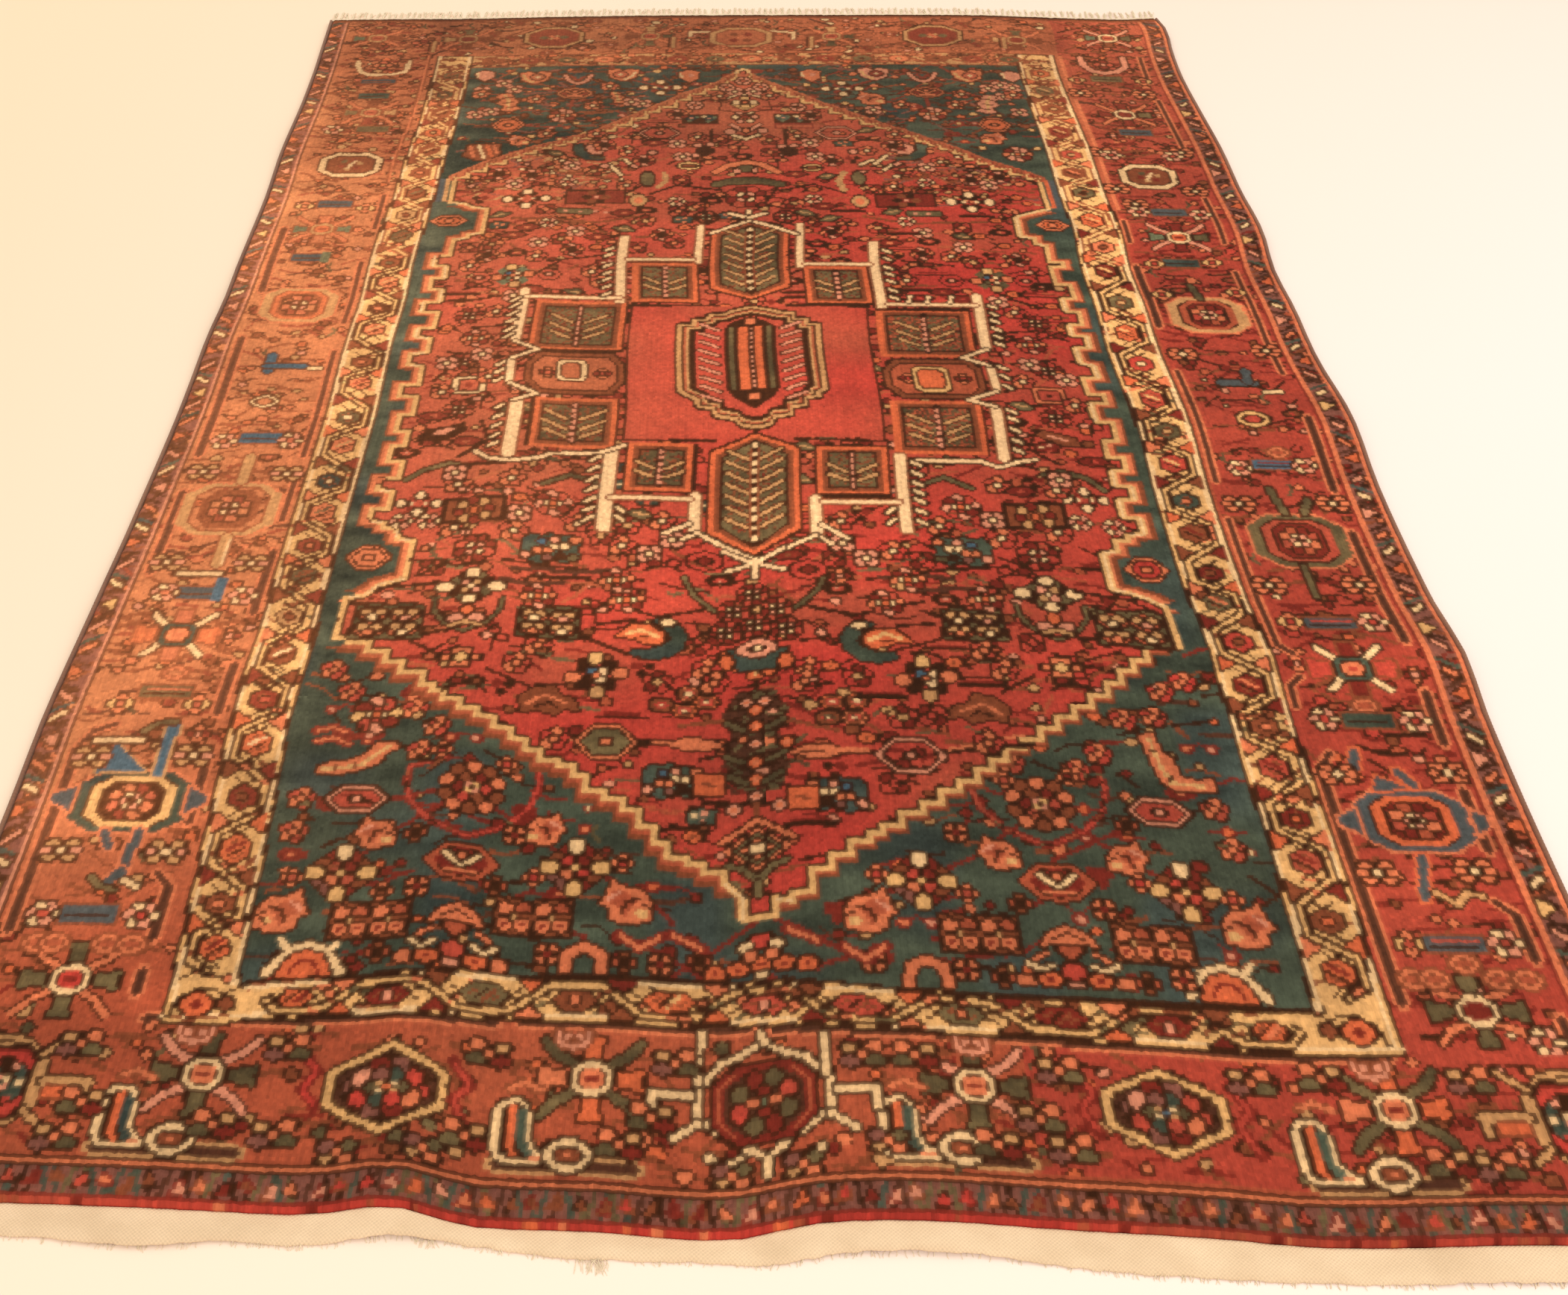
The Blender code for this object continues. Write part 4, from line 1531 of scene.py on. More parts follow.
    def near_border(self) -> None:
        """The near border, from its left corner to its right one."""
        chart = self.chart
        chart.block("b", 14, 13, 300, 51)
        chart.block("m", 300, 13, 452, 51)
        self.undergrowth(150, (15, 13), (300, 50), "b", "eedee", "setovd")
        self.undergrowth(80, (300, 13), (451, 50), "m", "dedde", "setovd")
        self.sprigs(90, (16, 14), (300, 49), "b")
        self.sprigs(50, (300, 14), (450, 49), "m")
        self.brackets("58,14.5 96,14.5|161,15.5 198,15.5|263,15.5 298,15.5|369,14.5 405,14.5", "t")
        self.brackets("62,52.5 104,53.5 140,54 158,55.5|165,56 228,56.5|234,54 262,52 330,50 398,50")
        chart.motifs(flower_cross("vvvv", "p", "c", "s", 13.5, 12), "82,36.5 286,36.5")
        chart.motifs(flower_cross("ooso", "v", "c", "s", 13.5, 12), "185,40 395,35")
        chart.motif(hexagon_flower("g", "rqdprqds", "o", 15.5, 13.5), 131, 32.5)
        chart.motif(hexagon_flower("g", "rqdprqds", "u", 15.5, 12.5), 335, 31.5)
        chart.motifs(boot(), "62.5,24 165.5,25.5 265.5,24.5 371.5,24", scale=0.97)
        self.centre_octagon()
        self.end_octagon(29, 32, False)
        self.end_octagon(440, 32, True)
        chart.strokes(
            "r",
            "109,42 112,38 109,33 113,28|153,24 149,31 153,36 148,42|313,41 317,36 313,31 317,25"
            "|357,22 353,29 357,34 353,40",
            1.2, "d",
        )
        chart.motifs(RING_BUD, "78,17.5 180,18.5 281,18.5 389,17.5", scale=1.0)
        chart.motifs(HALF_FLOWER, "77,49 179.5,52 286.5,49 392,47", scale=0.7, swap="kecp")
        chart.motifs(
            SPRAY, "47,44 103,45 104,20 48,17 207,46 257,45 309,42 309,20 359,42 417,43 416,19 302,28"
        )
        chart.motifs(
            SPRAY, "88,22 153,22 157,46 193,22 290,20 378,44 404,20 201,30 271,45 52,27",
            flip=True, swap="cpqd",
        )
        chart.motifs(SPRAY, "121,15 143,16 262,20 240,15 222,15", scale=0.8, upside=True, swap="cspe")

    def centre_octagon(self) -> None:
        """The near border's middle octagon, with its hooked cream arms."""
        chart = self.chart
        frame_line = "215,41 219,46 224,48 230,51 236,47.5 242,45 246,40"
        chart.area("b", places("213,30 213,41 223,48 237,47 248,40 248,28 231,17.5"), "k")
        chart.strokes("c", f"{frame_line}|215,29 222,24 231,18.5 240,24 246,28", 1.5, "k")
        chart.strokes("c", "213,29 213,41|248,28 248,40", 2.7, "k")
        chart.strokes("c", "213,41 214,55|247,40 247,51|213,29 207,25|248,28 254,24", 1.5, "k")
        chart.strokes("c", "211,37 201,37 201.5,31|250,35 260,35 260,30", 2.4, "k")
        chart.strokes(
            "c",
            "231,51 229.5,54|222,14 219,18 216,20|219,18 224,19|241,14 238.5,17 236,18|238.5,17"
            " 245,19|231,18 231,14",
            1.5, "k",
        )
        parts = (
            polygon("d", 13.4, 11.4, 0.5, "k"),
            polygon("b", 12.2, 10.2, 0.5, ""),
            polygon("h", 10.6, 8.8, 0.5, "d"),
            *rosette("rvdvrvdv", 7.0, 2.3, "", 22),
            *rosette("sdsd", 2.8, 1.5, "y", 0),
        )
        chart.motif(parts, 230.5, 34)

    def end_octagon(self, u: float, v: float, flip: bool) -> None:
        """A corner octagon of the near border, with one hooked arm.

        Args:
            u: Column of its middle.
            v: Row of its middle.
            flip: Whether left and right change places.
        """
        parts = (
            polygon("t", 11, 12, 0.5),
            polygon("d", 9.2, 10.2, 0.5),
            polygon("r", 8.2, 9.2, 0.5, ""),
            *rosette("nknnkn", 4.2, 2.7, "", 30, "k"),
            *rosette("cprcpr", 5.4, 1.1, "", 0, ""),
            *rosette("cpcp", 1.8, 1.0, "n", 45, ""),
            stroke("t", "9.4,-6 9.4,6", 2.6, "k"),
            stroke("t", "10.6,0.5 23.6,0.5 23,-4.5", 2.0, "k"),
            stroke("o", "13,-2.6 19,-2.6", 3.0, "e"),
            stroke("t", "8,8 16,14", 1.4, "k"),
            stroke("t", "8,-8 14,-12", 1.4, "k"),
            stroke("t", "4,12.6 -10,14.4", 1.2, "k"),
        )
        self.chart.motif(parts, u, v, flip)

    def far_border(self) -> None:
        """The far border, faded and partly worn."""
        chart = self.chart
        self.sprigs(260, (14, 652), (452, 694), "b", "kecs")
        self.undergrowth(300, (62, 652), (403, 694), "b", "eekhe", "tsceo")
        self.brackets("62,656 64,668|374,658 376,668")
        parts = (
            polygon("t", 15.5, 12.5, 0.55),
            polygon("d", 12.6, 9.8, 0.55, "e"),
            *rosette("vdvd", 5.6, 2.2, "", 0, ""),
            *rosette("tsts", 2.2, 1.3, "r", 45, ""),
        )
        chart.motifs(parts, "127,672 336,672")
        chart.strokes("c", "202,672 202,677 214,677 214,668|247,668 247,678 259,676 259,668", 2.0, "e")
        centre = (
            polygon("t", 17, 12, 0.5, "e"),
            polygon("b", 13, 9, 0.5, "e"),
            *rosette("dede", 5.2, 2.3, "s", 45, ""),
        )
        chart.motif(centre, 230, 670)
        chart.motifs(flower_cross("vtev", "s", "t", "r", 12.5, 12), "180,672 280,671", swap="keck")
        chart.motifs(flower_cross("evte", "s", "t", "d", 12.5, 12), "80,672 382,668", swap="keck")
        chart.motifs(
            (stroke("t", "0,-6 0,6", 1.6, "e"), stroke("k", "-2.4,-5 -2.4,5", 1.6)),
            "193,664 269,664 375,664 62,663",
        )
        chart.motifs(SMALL_RING, "181,655 284,655 99,655 245,658 219,657 350,655", swap="pt")
        chart.motif(flower_cross("edye", "s", "t", "r", 13, 11), 30, 674, swap="keck")
        chart.motif(flower_cross("vdye", "p", "c", "r", 12, 11), 432, 674)
        chart.block("e", 0, 694.6, self.columns, 697.4)
        chart.block("k", 0, 697.4, self.columns, 700)
        self.sprigs(60, (14, 684), (452, 695), "b", "kecsot")

    # The field.

    def field_edge(self) -> list[Point]:
        """The lozenge's stepped outline, once round from its near point.

        Returns:
            The outline's corners.
        """
        left = [
            (225.5, 91), (225.5, 98), *staircase(places(NEAR_LEFT_STEPS)[1:]), *places(LEFT_SHOULDER),
            *battlement(LEFT_BATTLEMENT), *places(LEFT_UPPER_SHOULDER),
            *staircase(places(FAR_LEFT_STEPS), False), (228, 629), (231.5, 631),
        ]
        right = [
            (235, 91), (235, 97), *staircase(places(NEAR_RIGHT_STEPS)[1:]), *places(RIGHT_SHOULDER),
            *battlement(RIGHT_BATTLEMENT), *places(RIGHT_UPPER_SHOULDER),
            *staircase(places(FAR_RIGHT_STEPS), False), (234, 629),
        ]
        return left + right[::-1]

    def corner_field(self) -> None:
        """The dark corners round the lozenge, with their flowers."""
        chart = self.chart
        outline = places(LEFT_GUARD_IN)[1:] + places(RIGHT_GUARD_IN)[:0:-1] + places(NEAR_GUARD_HIGH)[::-1]
        outline = [(u, min(v, CORNER_FIELD_END)) for u, v in outline]
        chart.area("n", outline)
        self.undergrowth(280, (86, 68), (380, 200), "n", "kkkedh", "sdeodt")
        self.undergrowth(260, (86, 540), (380, 636), "n", "kkkedhq", "sdeoeqg")
        self.sprigs(150, (90, 70), (378, 178), "n", "kdedrs")
        self.sprigs(110, (90, 545), (378, 632), "n", "kdedrs")
        self.near_corners()
        self.far_corners()
        self.sprigs(260, (88, 540), (378, 634), "n", "kdedsg")
        self.undergrowth(300, (96, 548), (372, 636), "n", "hkeqhd", "sdeoeg")

    def near_corners(self) -> None:
        """Flowers of the two near corners."""
        chart = self.chart
        chart.strokes(
            "d",
            "142,134 120,118 104,100|142,134 165,118 178,108|96,131 118,131 130,133|142,105 158,92 180,84"
            "|317,131 340,112 355,102|317,131 296,112 278,102|353,131 338,122 318,111|318,100 300,88 280,82"
            "|205,72 232,92 262,72|196,83 212,74|260,77 244,72|176,108 196,100 205,90|278,102 262,95 252,88",
            1.5,
        )
        chart.motif(half_sun("c", "o"), 102.5, 71)
        chart.motif(half_sun("c", "o"), 359.5, 70)
        chart.motifs(arch("s", "n"), "180.5,76 277,70.5")
        bow = "-9,14 -14,12 -20,11 -20.5,4 -18.5,-3 -12,-11 0,-17 12,-11 18.5,-3 21,6 20,12"
        bowed_stem = (stroke("d", bow, 2.4), stroke("r", bow, 1.2), *pair(stroke("e", "-10,13 -15,9", 1.3)))
        chart.motifs(bowed_stem, "142,133 317,133")
        chart.motifs(SPANDREL_FLOWER, "107,103 176,108 278,102 355,102")
        chart.motifs(OCTAGON_FLOWER, "142,135 317,132")
        chart.motif(RED_FLOWER, 108, 166, scale=1.1, swap="sg")
        chart.motifs(CURLED_LEAF, "92,88 262,90 370,90", flip=False)
        chart.motifs(CURLED_LEAF, "192,95", flip=True)
        chart.motifs(CURLED_LEAF, "115,117 302,112", flip=True, scale=0.8)
        chart.motifs(CURLED_LEAF, "340,112 166,121", scale=0.8)
        chart.motifs(SPANDREL_BOX, "118,86 165,90 293,84 342,83")
        chart.motifs(UMBRELLA, "143,87 318,83")
        chart.motifs(HEX_PALMETTE, "142,107 318,103")
        chart.motifs(lozenge_ring("p", "r", 10, 5.2), "107,131 353,131")
        chart.motif(HOOKED_LEAF, 106, 147)
        chart.strokes("s", "90,159 95,160.5 100,158|91,154.5 96,156 101,153.5", 1.3, "d")
        chart.motifs(FAN_SPRAY, "143,75 318,71.5")
        chart.motif(
            (
                oval("r", 0, 0, 3.6, 2.4), oval("c", -4.4, -1.4, 1.9, 1.4),
                oval("c", 4.4, -1.4, 1.9, 1.4),
            ),
            230.5, 83,
        )
        for step in (-13, -6.5, 0, 6.5, 13):
            bead = (oval("o", 0, 0, 2.8, 2.1), oval("d", 0, 0, 1, 0.8, ""))
            chart.motif(bead, 230.5 + step, 75.5 - abs(step) / 8)
        chart.motif((*pair(oval("s", -3.2, 4, 1.8, 1.4)), oval("c", 0, -2.2, 1.6, 1.2)), 230.5, 74.5)
        chart.motif(CORNER_LEAF, 360, 151)
        chart.motifs(
            SMALL_RED,
            "90,186 370,186 348,168 358,170 338,153 90,118 90,131 372,118 370,133"
            " 124,150 128,160 330,146 310,148 98,176 362,181 120,168",
            scale=1.0, swap="cs",
        )
        chart.motifs(
            SMALL_PINK,
            "170,78 202,76 262,74 288,72 348,72 157,119 130,97 330,94 290,120",
            scale=0.85, swap="cdps",
        )
        chart.motifs(
            SMALL_GOLD,
            "122,75 192,76 213,78 298,70 338,70 127,117 153,100 306,95 342,125",
            scale=0.85, swap="gbrkse",
        )
        chart.motifs(
            SMALL_GOLD,
            "93,101 120,96 190,110 164,104 265,104 291,98 342,104 368,100 152,146 131,150 327,143"
            " 307,141",
            scale=0.75, swap="gs",
        )
        chart.strokes("s", "190,85 196,81 202,85|254,79 260,75 266,79|205,86 214,82|238,86 247,81", 1.4, "d")

    def far_corners(self) -> None:
        """Flowers of the two far corners."""
        chart = self.chart
        chart.strokes(
            "d",
            "92,627 110,612 142,605|165,622 188,611|285,609 300,618|326,605 356,600|142,605 140,580"
            "|326,604 326,580",
            1.5,
        )
        chart.motifs(TULIP, "120,623 351,623")
        chart.motifs(TULIP, "301,625", swap="sprd")
        chart.motif(TULIP, 167, 625, flip=True, swap="gc")
        chart.motifs(TEARDROP, "202,623 267,623")
        chart.motifs(HORN_V, "143,617 327,618")
        chart.motifs(TEARDROP, "93,626", swap="sp", scale=0.9)
        chart.motifs(TEARDROP, "374,623", swap="sp", scale=0.9)
        chart.motifs(WHITE_SPECKS, "187,610 283,608", swap="wc", scale=0.95)
        chart.motifs(HEX_PALMETTE, "142,604 327,604", swap="cs", scale=0.9)
        chart.motif(SERRATED_LEAF, 107, 595, scale=0.95)
        chart.motif(SERRATED_LEAF, 358, 591, flip=True, scale=0.95, swap="sp")
        chart.motif(SERRATED_LEAF, 164, 599, scale=0.6)
        chart.motif(CURLED_LEAF, 297, 596, flip=True)
        chart.motifs(lozenge_ring("s", "o", 8.5, 6.5), "110,570 357,569")
        chart.motif(STRIPED_LEAF, 100, 542, scale=0.98)
        chart.motifs(RED_FLOWER, "364,539 137,579 327,580", swap="rp")
        chart.motif(CURLED_LEAF, 117, 553, scale=0.75, flip=True)
        chart.motif(CURLED_LEAF, 354, 554, scale=0.85)
        chart.motifs(
            SMALL_PINK,
            "93,609 110,610 104,617 92,582 100,585 178,592 172,594 360,609 373,610 367,600 367,613"
            " 372,583 297,584",
            scale=1.1,
        )
        chart.motifs(
            SMALL_RED, "93,605 372,602 160,612 312,590 345,602 122,598 130,560 152,590 340,590",
            scale=1.1,
        )

    def lozenge(self) -> None:
        """The red lozenge inside its stepped edge."""
        chart = self.chart
        outline = self.field_edge()
        left = [(228, 90), *places(NEAR_LEFT_STEPS)]
        right = [(232, 90), *places(NEAR_RIGHT_STEPS)]
        for yarn, wide, high in (("e", 3.2, 4.6), ("b", 2.0, 2.8)):
            for line, share in ((left, 1.0), (right, 0.75)):
                steps = staircase(line)
                away = wide if line is right else -wide
                chart.area(yarn, [(u + away * share, v - high * share) for u, v in steps] + [(230.0, 205.0)])
                chart.area(yarn, [(u, v - high * share) for u, v in steps] + [(230.0, 205.0)])
        bands = (
            [*places(LEFT_SHOULDER), *battlement(LEFT_BATTLEMENT), *places(LEFT_UPPER_SHOULDER)],
            [*places(RIGHT_SHOULDER), *battlement(RIGHT_BATTLEMENT), *places(RIGHT_UPPER_SHOULDER)],
        )
        for yarn, wide, high in (("e", 4.2, 3.0), ("s", 2.7, 1.6)):
            for line in bands:
                ends = [(230.0, line[-1][1]), (230.0, line[0][1])]
                for du, dv in ((-wide, -high), (-wide, high), (wide, -high), (wide, high)):
                    chart.area(yarn, [(u + du, v + dv) for u, v in [*line, *ends]])
        chart.area("r", outline)
        for line in (places(FAR_LEFT_STEPS), places(FAR_RIGHT_STEPS)):
            chart.stroke("b", line, 6.0)
        edge = [*outline, outline[0]]
        before = chart.yarns.copy()
        chart.stroke("k", edge, 4.2)
        self.keep_all_but("r", before)
        chart.stroke("g", edge, 2.0)
        chart.stroke("c", edge, 0.7)
        for line in (places(FAR_LEFT_STEPS), places(FAR_RIGHT_STEPS)):
            chart.stroke("g", staircase(line, False), 1.4)
            self.dashes("ebde", line, 2.3, 2.2)
        chart.motif(lozenge_ring("s", "o", 8, 5.5), 91.5, 242, swap="os")
        chart.motif(lozenge_ring("s", "o", 7.5, 5.5), 369.5, 240, swap="or")
        chart.motif(lozenge_ring("s", "o", 8, 4.5), 90.5, 476.5, swap="ks")
        chart.motif(lozenge_ring("s", "o", 7, 4.5), 370.5, 472.5)
        chart.block("t", 84.6, 494, 87, 516)
        chart.block("l", 81.5, 494, 84.6, 516)
        chart.block("o", 373, 488, 375, 514)
        chart.block("l", 375, 488, 378, 514)

    def dashes(self, yarns: str, line: list[Point], pitch: float, reach: float) -> None:
        """Short slanted dashes that break up the lozenge's far edge.

        Args:
            yarns: Letters of the dashes' yarns, taken in turn.
            line: The edge they lie on.
            pitch: Distance from dash to dash, across the rug.
            reach: Half the length of a dash, along it.
        """
        columns = np.array([u for u, _ in line])
        rows = np.array([v for _, v in line])
        order = np.argsort(columns)
        lean = 1.0 if rows[order[-1]] > rows[order[0]] else -1.0
        number = 0
        u = columns.min()
        while u < columns.max():
            v = float(np.interp(u, columns[order], rows[order]))
            self.chart.stroke(
                yarns[number % len(yarns)], [(u - lean * 0.6, v - reach), (u + lean * 0.6, v + reach)],
                1.1,
            )
            u += pitch * self.random.uniform(0.8, 1.2)
            number += 1

    def lozenge_flowers(self) -> None:
        """Flowers, leaves and stems of the lozenge, near part first."""
        self.near_tip()
        self.near_shoulders()
        self.beside_medallion()
        self.far_part()
        self.sprigs(1100, (90, 100), (372, 300), "r", "sr", kinds=FIELD_SPRIGS)
        self.sprigs(900, (90, 300), (372, 440), "r", "ndsr", kinds=FIELD_SPRIGS)
        self.sprigs(1600, (90, 430), (372, 625), "r", "pscs", kinds=FIELD_SPRIGS)
        self.sprigs(420, (90, 110), (372, 620), "r")
        self.undergrowth(620, (90, 92), (374, 300), "r", "kkdvebd", "ebtepdb")
        self.undergrowth(330, (90, 300), (374, 440), "r", "kddebb", "sotedb")
        self.undergrowth(460, (90, 430), (374, 630), "r", "kddebe", "soteds")
        self.undergrowth(240, (84, 492), (170, 600), "r", "bebtqe", "stbtec")
        self.undergrowth(240, (296, 490), (376, 600), "r", "bebtqe", "stbtec")

    def near_tip(self) -> None:
        """The lozenge's near tip, up to the row of flower boxes."""
        chart = self.chart
        chart.strokes(
            "k", "230,104 230,186|214,134 247,131|192,157.5 214,157.5|247,151 268,151|290,152 318,156",
            2.4,
        )
        chart.strokes("e", "230,122 230,170|206,165 222,168|238,166 256,160", 1.8)
        chart.motif(
            (
                stroke("s", "-11,3 0,11 11,3", 1.5, "k"),
                area("s", "0,7.6 10,0 0,-7.6 -10,0"),
                area("v", "0,5.8 7.4,0 0,-5.8 -7.4,0"),
                area("s", "0,3.8 4.6,0 0,-3.8 -4.6,0"),
                oval("c", 0, 0, 1.9, 1.7, "k"),
                stroke("v", "-9,-5 -4,-7 0,-12 4,-7 9,-5", 1.8, "k", 0.8),
                stroke("v", "0,-12 0,-17", 1.6, "k", 0.8),
            ),
            230, 115.5,
        )
        chart.area(
            "h",
            places("222,137 219,147 222,160 219,170 224,180 236,180 241,170 238,160 241,147 238,137"),
        )
        self.undergrowth(46, (219, 138), (241, 180), "h", "kvkdv", "vqsdp")
        chart.motifs(
            (oval("o", 0, 0, 2.2, 2.0), oval("s", 0, 0, 1, 0.9, "")),
            "230,142 230,149 230,164 230,171 219,157 240,156",
        )
        chart.motifs(
            (oval("p", 0, 0, 1.9, 1.6), oval("s", 0, 0, 0.8, 0.7, "")),
            "230,156.5 227,174.5 233,174.5 223,131 237,131 230,135.5",
        )
        chart.strokes(
            "v",
            "221,152 226,149.5|239,152 234,149.5|221,166 226,163|239,166 234,163|222,144 227,141"
            "|238,144 233,141",
            1.8, "k",
        )
        chart.motif(NAVY_CLUSTER, 204, 142)
        chart.motif(NAVY_CLUSTER, 255, 134, flip=True)
        chart.motifs((polygon("o", 4.6, 3.8, 0.2), stroke("e", "-2,0.4 2,-0.4", 1.0)), "215.5,141 244.5,133")
        chart.motif(lozenge_ring("s", "v", 10, 6.5), 182.5, 157)
        chart.motifs(
            (area("s", "-9,0 -3,2.8 4,2.4 9,0 3,-2.4 -3,-2.2"), stroke("k", "-6,0 5,0", 0.9)),
            "211,157 250,151.5",
        )
        chart.motif(lozenge_ring("p", "r", 11, 7), 279, 150)
        chart.strokes(
            "s", "198,157.5 212,157.5|252,152 266,152|291,153 300,155|309,158 316,160|166,158 172,158",
            1.2,
        )
        chart.motifs(SMALL_RED, "304,156 166,158", scale=1.1, swap="cs")
        chart.motifs(RING_ROSETTE, "199.5,173.5 208,179 253.5,165.5 262,165.5", swap="ps")
        chart.motifs(RING_ROSETTE, "207,171.5 214,175.5 255,172.5 263,173", swap="po")
        chart.motif(BELL_LEAF, 163, 174)
        chart.motif(BELL_LEAF, 302, 170, flip=True)
        chart.motifs(WHITE_FLOWER, "177,186 286,183.5", scale=1.05)
        chart.motifs(
            (oval("o", 0, 0, 2.6, 2.4), oval("g", 0, 0, 1.1, 1.0, "")),
            "224,191 229.5,187 234,188.5 220,196 238,195",
        )
        chart.area("n", places("220,199 224,199 230,193 236,198 240,198 236,189 224,189"), "k")
        chart.motifs((oval("o", 0, 0, 2.2, 3.2),), "219.5,193 239.5,192")
        chart.motif(
            (
                polygon("p", 6.5, 3.8, 0.7), polygon("k", 3.4, 1.8, 0.6, ""),
                oval("c", 0, 0, 1.2, 1.0, ""),
            ),
            229.7, 198.8,
        )
        chart.motif(CRESCENT, 196, 203)
        chart.motif(CRESCENT, 268, 199.5, flip=True)
        chart.motifs(STEP_DIAMOND, "131,191 331,190")
        chart.strokes(
            "k",
            "140,186 156,180|122,194 112,200|322,186 310,178|340,194 352,199|186,196 170,204|276,196"
            " 292,202",
            1.4,
        )
        chart.motifs(
            SMALL_RED, "150,190 156,199 312,188 306,197 213,190 247,188 216,184 246,182", scale=1.1,
            swap="cs",
        )

    def near_shoulders(self) -> None:
        """The wide near part of the lozenge, up to the medallion's feet."""
        chart = self.chart
        chart.motifs(FIELD_BOX, "103.5,209.5 357.5,210")
        chart.motifs(FIELD_BOX, "158.5,210.5 304,209.5", scale=0.88, swap="nvrb")
        chart.motifs(SHOULDER_PALMETTE, "130,226 332.5,225.3")
        chart.motifs(SHIELD, "130,211.5 332,211")
        chart.strokes(
            "k",
            "98,226 118,229|362,224 342,227|172,222 196,214 214,219|288,220 264,213 246,218|176,210"
            " 188,212|278,208 290,209|118,203 128,206|324,205 344,204|140,240 166,238 190,232"
            "|320,239 296,236 270,231",
            1.6,
        )
        chart.strokes(
            "h",
            "143,235.5 154,237 166,235.5 178,237|140,230 150,228.8 162,230|274,232 288,233.4 300,232"
            "|286,226 306,227",
            2.2,
        )
        chart.strokes(
            "k",
            "196,231 204,228.4 214,227|246,227 256,229.5|106,241 116,240|346,239 354,239|150,233"
            " 172,233",
            1.2,
        )
        chart.strokes("v", "205,234 208,226 214,219 222,213|255,234 252,226 246,219 238,213", 1.5, "k")
        for spots, motif, scale in (
            ("229,210 222,217 237,217 229,225 219,207 240,207", DARK_FLOWER, 0.75),
            ("129,246 332,245", DARK_FLOWER, 1.0),
            ("185,222 275,219 154,223 310,222 181,232 284,231", RED_FLOWER, 0.85),
            ("105,272 354,277", WHITE_SPECKS, 0.75),
            ("120,258 341,258 142,256 320,254", SMALL_RED, 1.3),
        ):
            chart.motifs(motif, spots, scale=scale)
        chart.motif(NAVY_CLUSTER, 156.5, 248, scale=1.15, swap="wc")
        chart.motif(NAVY_CLUSTER, 305, 246.5, flip=True, scale=1.12, swap="wc")
        chart.motifs((oval("r", 0, 0, 6, 4.6), oval("d", 0, 0, 2.2, 1.6)), "212,243 249,236")
        chart.motifs(RED_FLOWER, "155,273 307,271", scale=0.95, swap="sp")
        for u, v in ((126, 268), (334, 267)):
            chart.motif(
                (area("k", "-11,-7 -11,6 11,7 11,-6"), area("e", "-10,-6 -10,5 10,6 10,-5", "")), u, v
            )
            chart.motif(rosette("dtdtdtdt", 5.6, 1.8, "o", 10), u, v - 0.5)
        chart.strokes(
            "v",
            "98,286 104,292 113,296 120,293|362,283 356,290 347,293 340,291|150,284 160,290 170,286"
            "|312,282 302,288 294,284",
            2.0, "k",
        )
        chart.motifs(
            SMALL_RED,
            "118,283 138,286 344,282 322,284 165,262 196,264 262,262 298,260 182,250 280,246",
            scale=1.15,
        )
        chart.motifs(SMALL_PINK, "192,246 270,242 200,254 262,250 143,266 318,264 116,290 346,288", scale=1.2)
        chart.motifs(CREAM_FLOWER, "100,262 362,262 110,262 350,264", scale=0.8)

    def beside_medallion(self) -> None:
        """Small motifs to the left and right of the medallion."""
        chart = self.chart
        chart.motif(
            (
                area("k", "-8,-5 -4,-2 2,-1.5 8,4 7,8 1,5 -6,4 -9,0"),
                area("p", "-4,1 1,1 5,5 2,5 -3,3.4", ""),
            ),
            108, 313,
        )
        curl = (area("e", "-8,-3 -2,-3 8,3 6,6 0,4 -7,2"), stroke("p", "-4,0 4,3", 1.2))
        chart.motif(curl, 348, 312, True)
        chart.motif(
            (polygon("c", 6, 5.6, 0.15), polygon("r", 3.8, 3.6, 0.1), polygon("d", 1.4, 1.3, 0.1, "")),
            114.5, 346.5,
        )
        chart.motif(
            (
                polygon("s", 5.8, 5.4, 0.15), polygon("r", 3.6, 3.4, 0.1),
                polygon("k", 1.2, 1.2, 0.1, ""),
            ),
            349, 341,
        )
        chart.motif(WHITE_FLOWER, 125, 428, swap="ky", scale=0.95)
        chart.motif(WHITE_FLOWER, 338, 425, swap="kv", scale=0.95)
        chart.motifs(
            (oval("r", 0, 0, 4.6, 4.2), oval("p", 0, 0, 1.6, 1.4)), "320,424 353,425 110,427 141,429"
        )
        chart.motifs(RED_FLOWER, "114,380 348,376", scale=0.85)
        chart.motifs(DARK_FLOWER, "109,397 352,392 112,330 349,326 110,363 352,358", scale=0.8)
        chart.motifs(RED_FLOWER, "150,450 309,446 112,446 352,442 190,424 270,420 190,463 268,464", scale=0.7)
        chart.strokes(
            "k",
            "104,370 124,366|104,408 120,412|140,440 165,446|356,366 338,362|356,404 344,410|322,436"
            " 300,440|116,300 126,310 122,322|346,298 336,306 340,318|100,350 104,356|124,389"
            " 112,388|334,384 350,386",
            1.5,
        )
        chart.motifs(
            SMALL_RED,
            "120,400 105,437 134,444 160,432 322,444 344,400 300,424 164,424 122,352 340,350 104,342"
            " 358,335",
            scale=1.1,
        )
        chart.motifs(
            SMALL_PINK,
            "118,368 104,362 126,412 345,362 358,352 338,408 150,466 310,464 134,456 328,452",
            scale=1.1,
        )
        for u, v in ((190, 286), (191, 425), (268, 286), (269, 420)):
            chart.motif(SMALL_RED, u, v, scale=0.6)

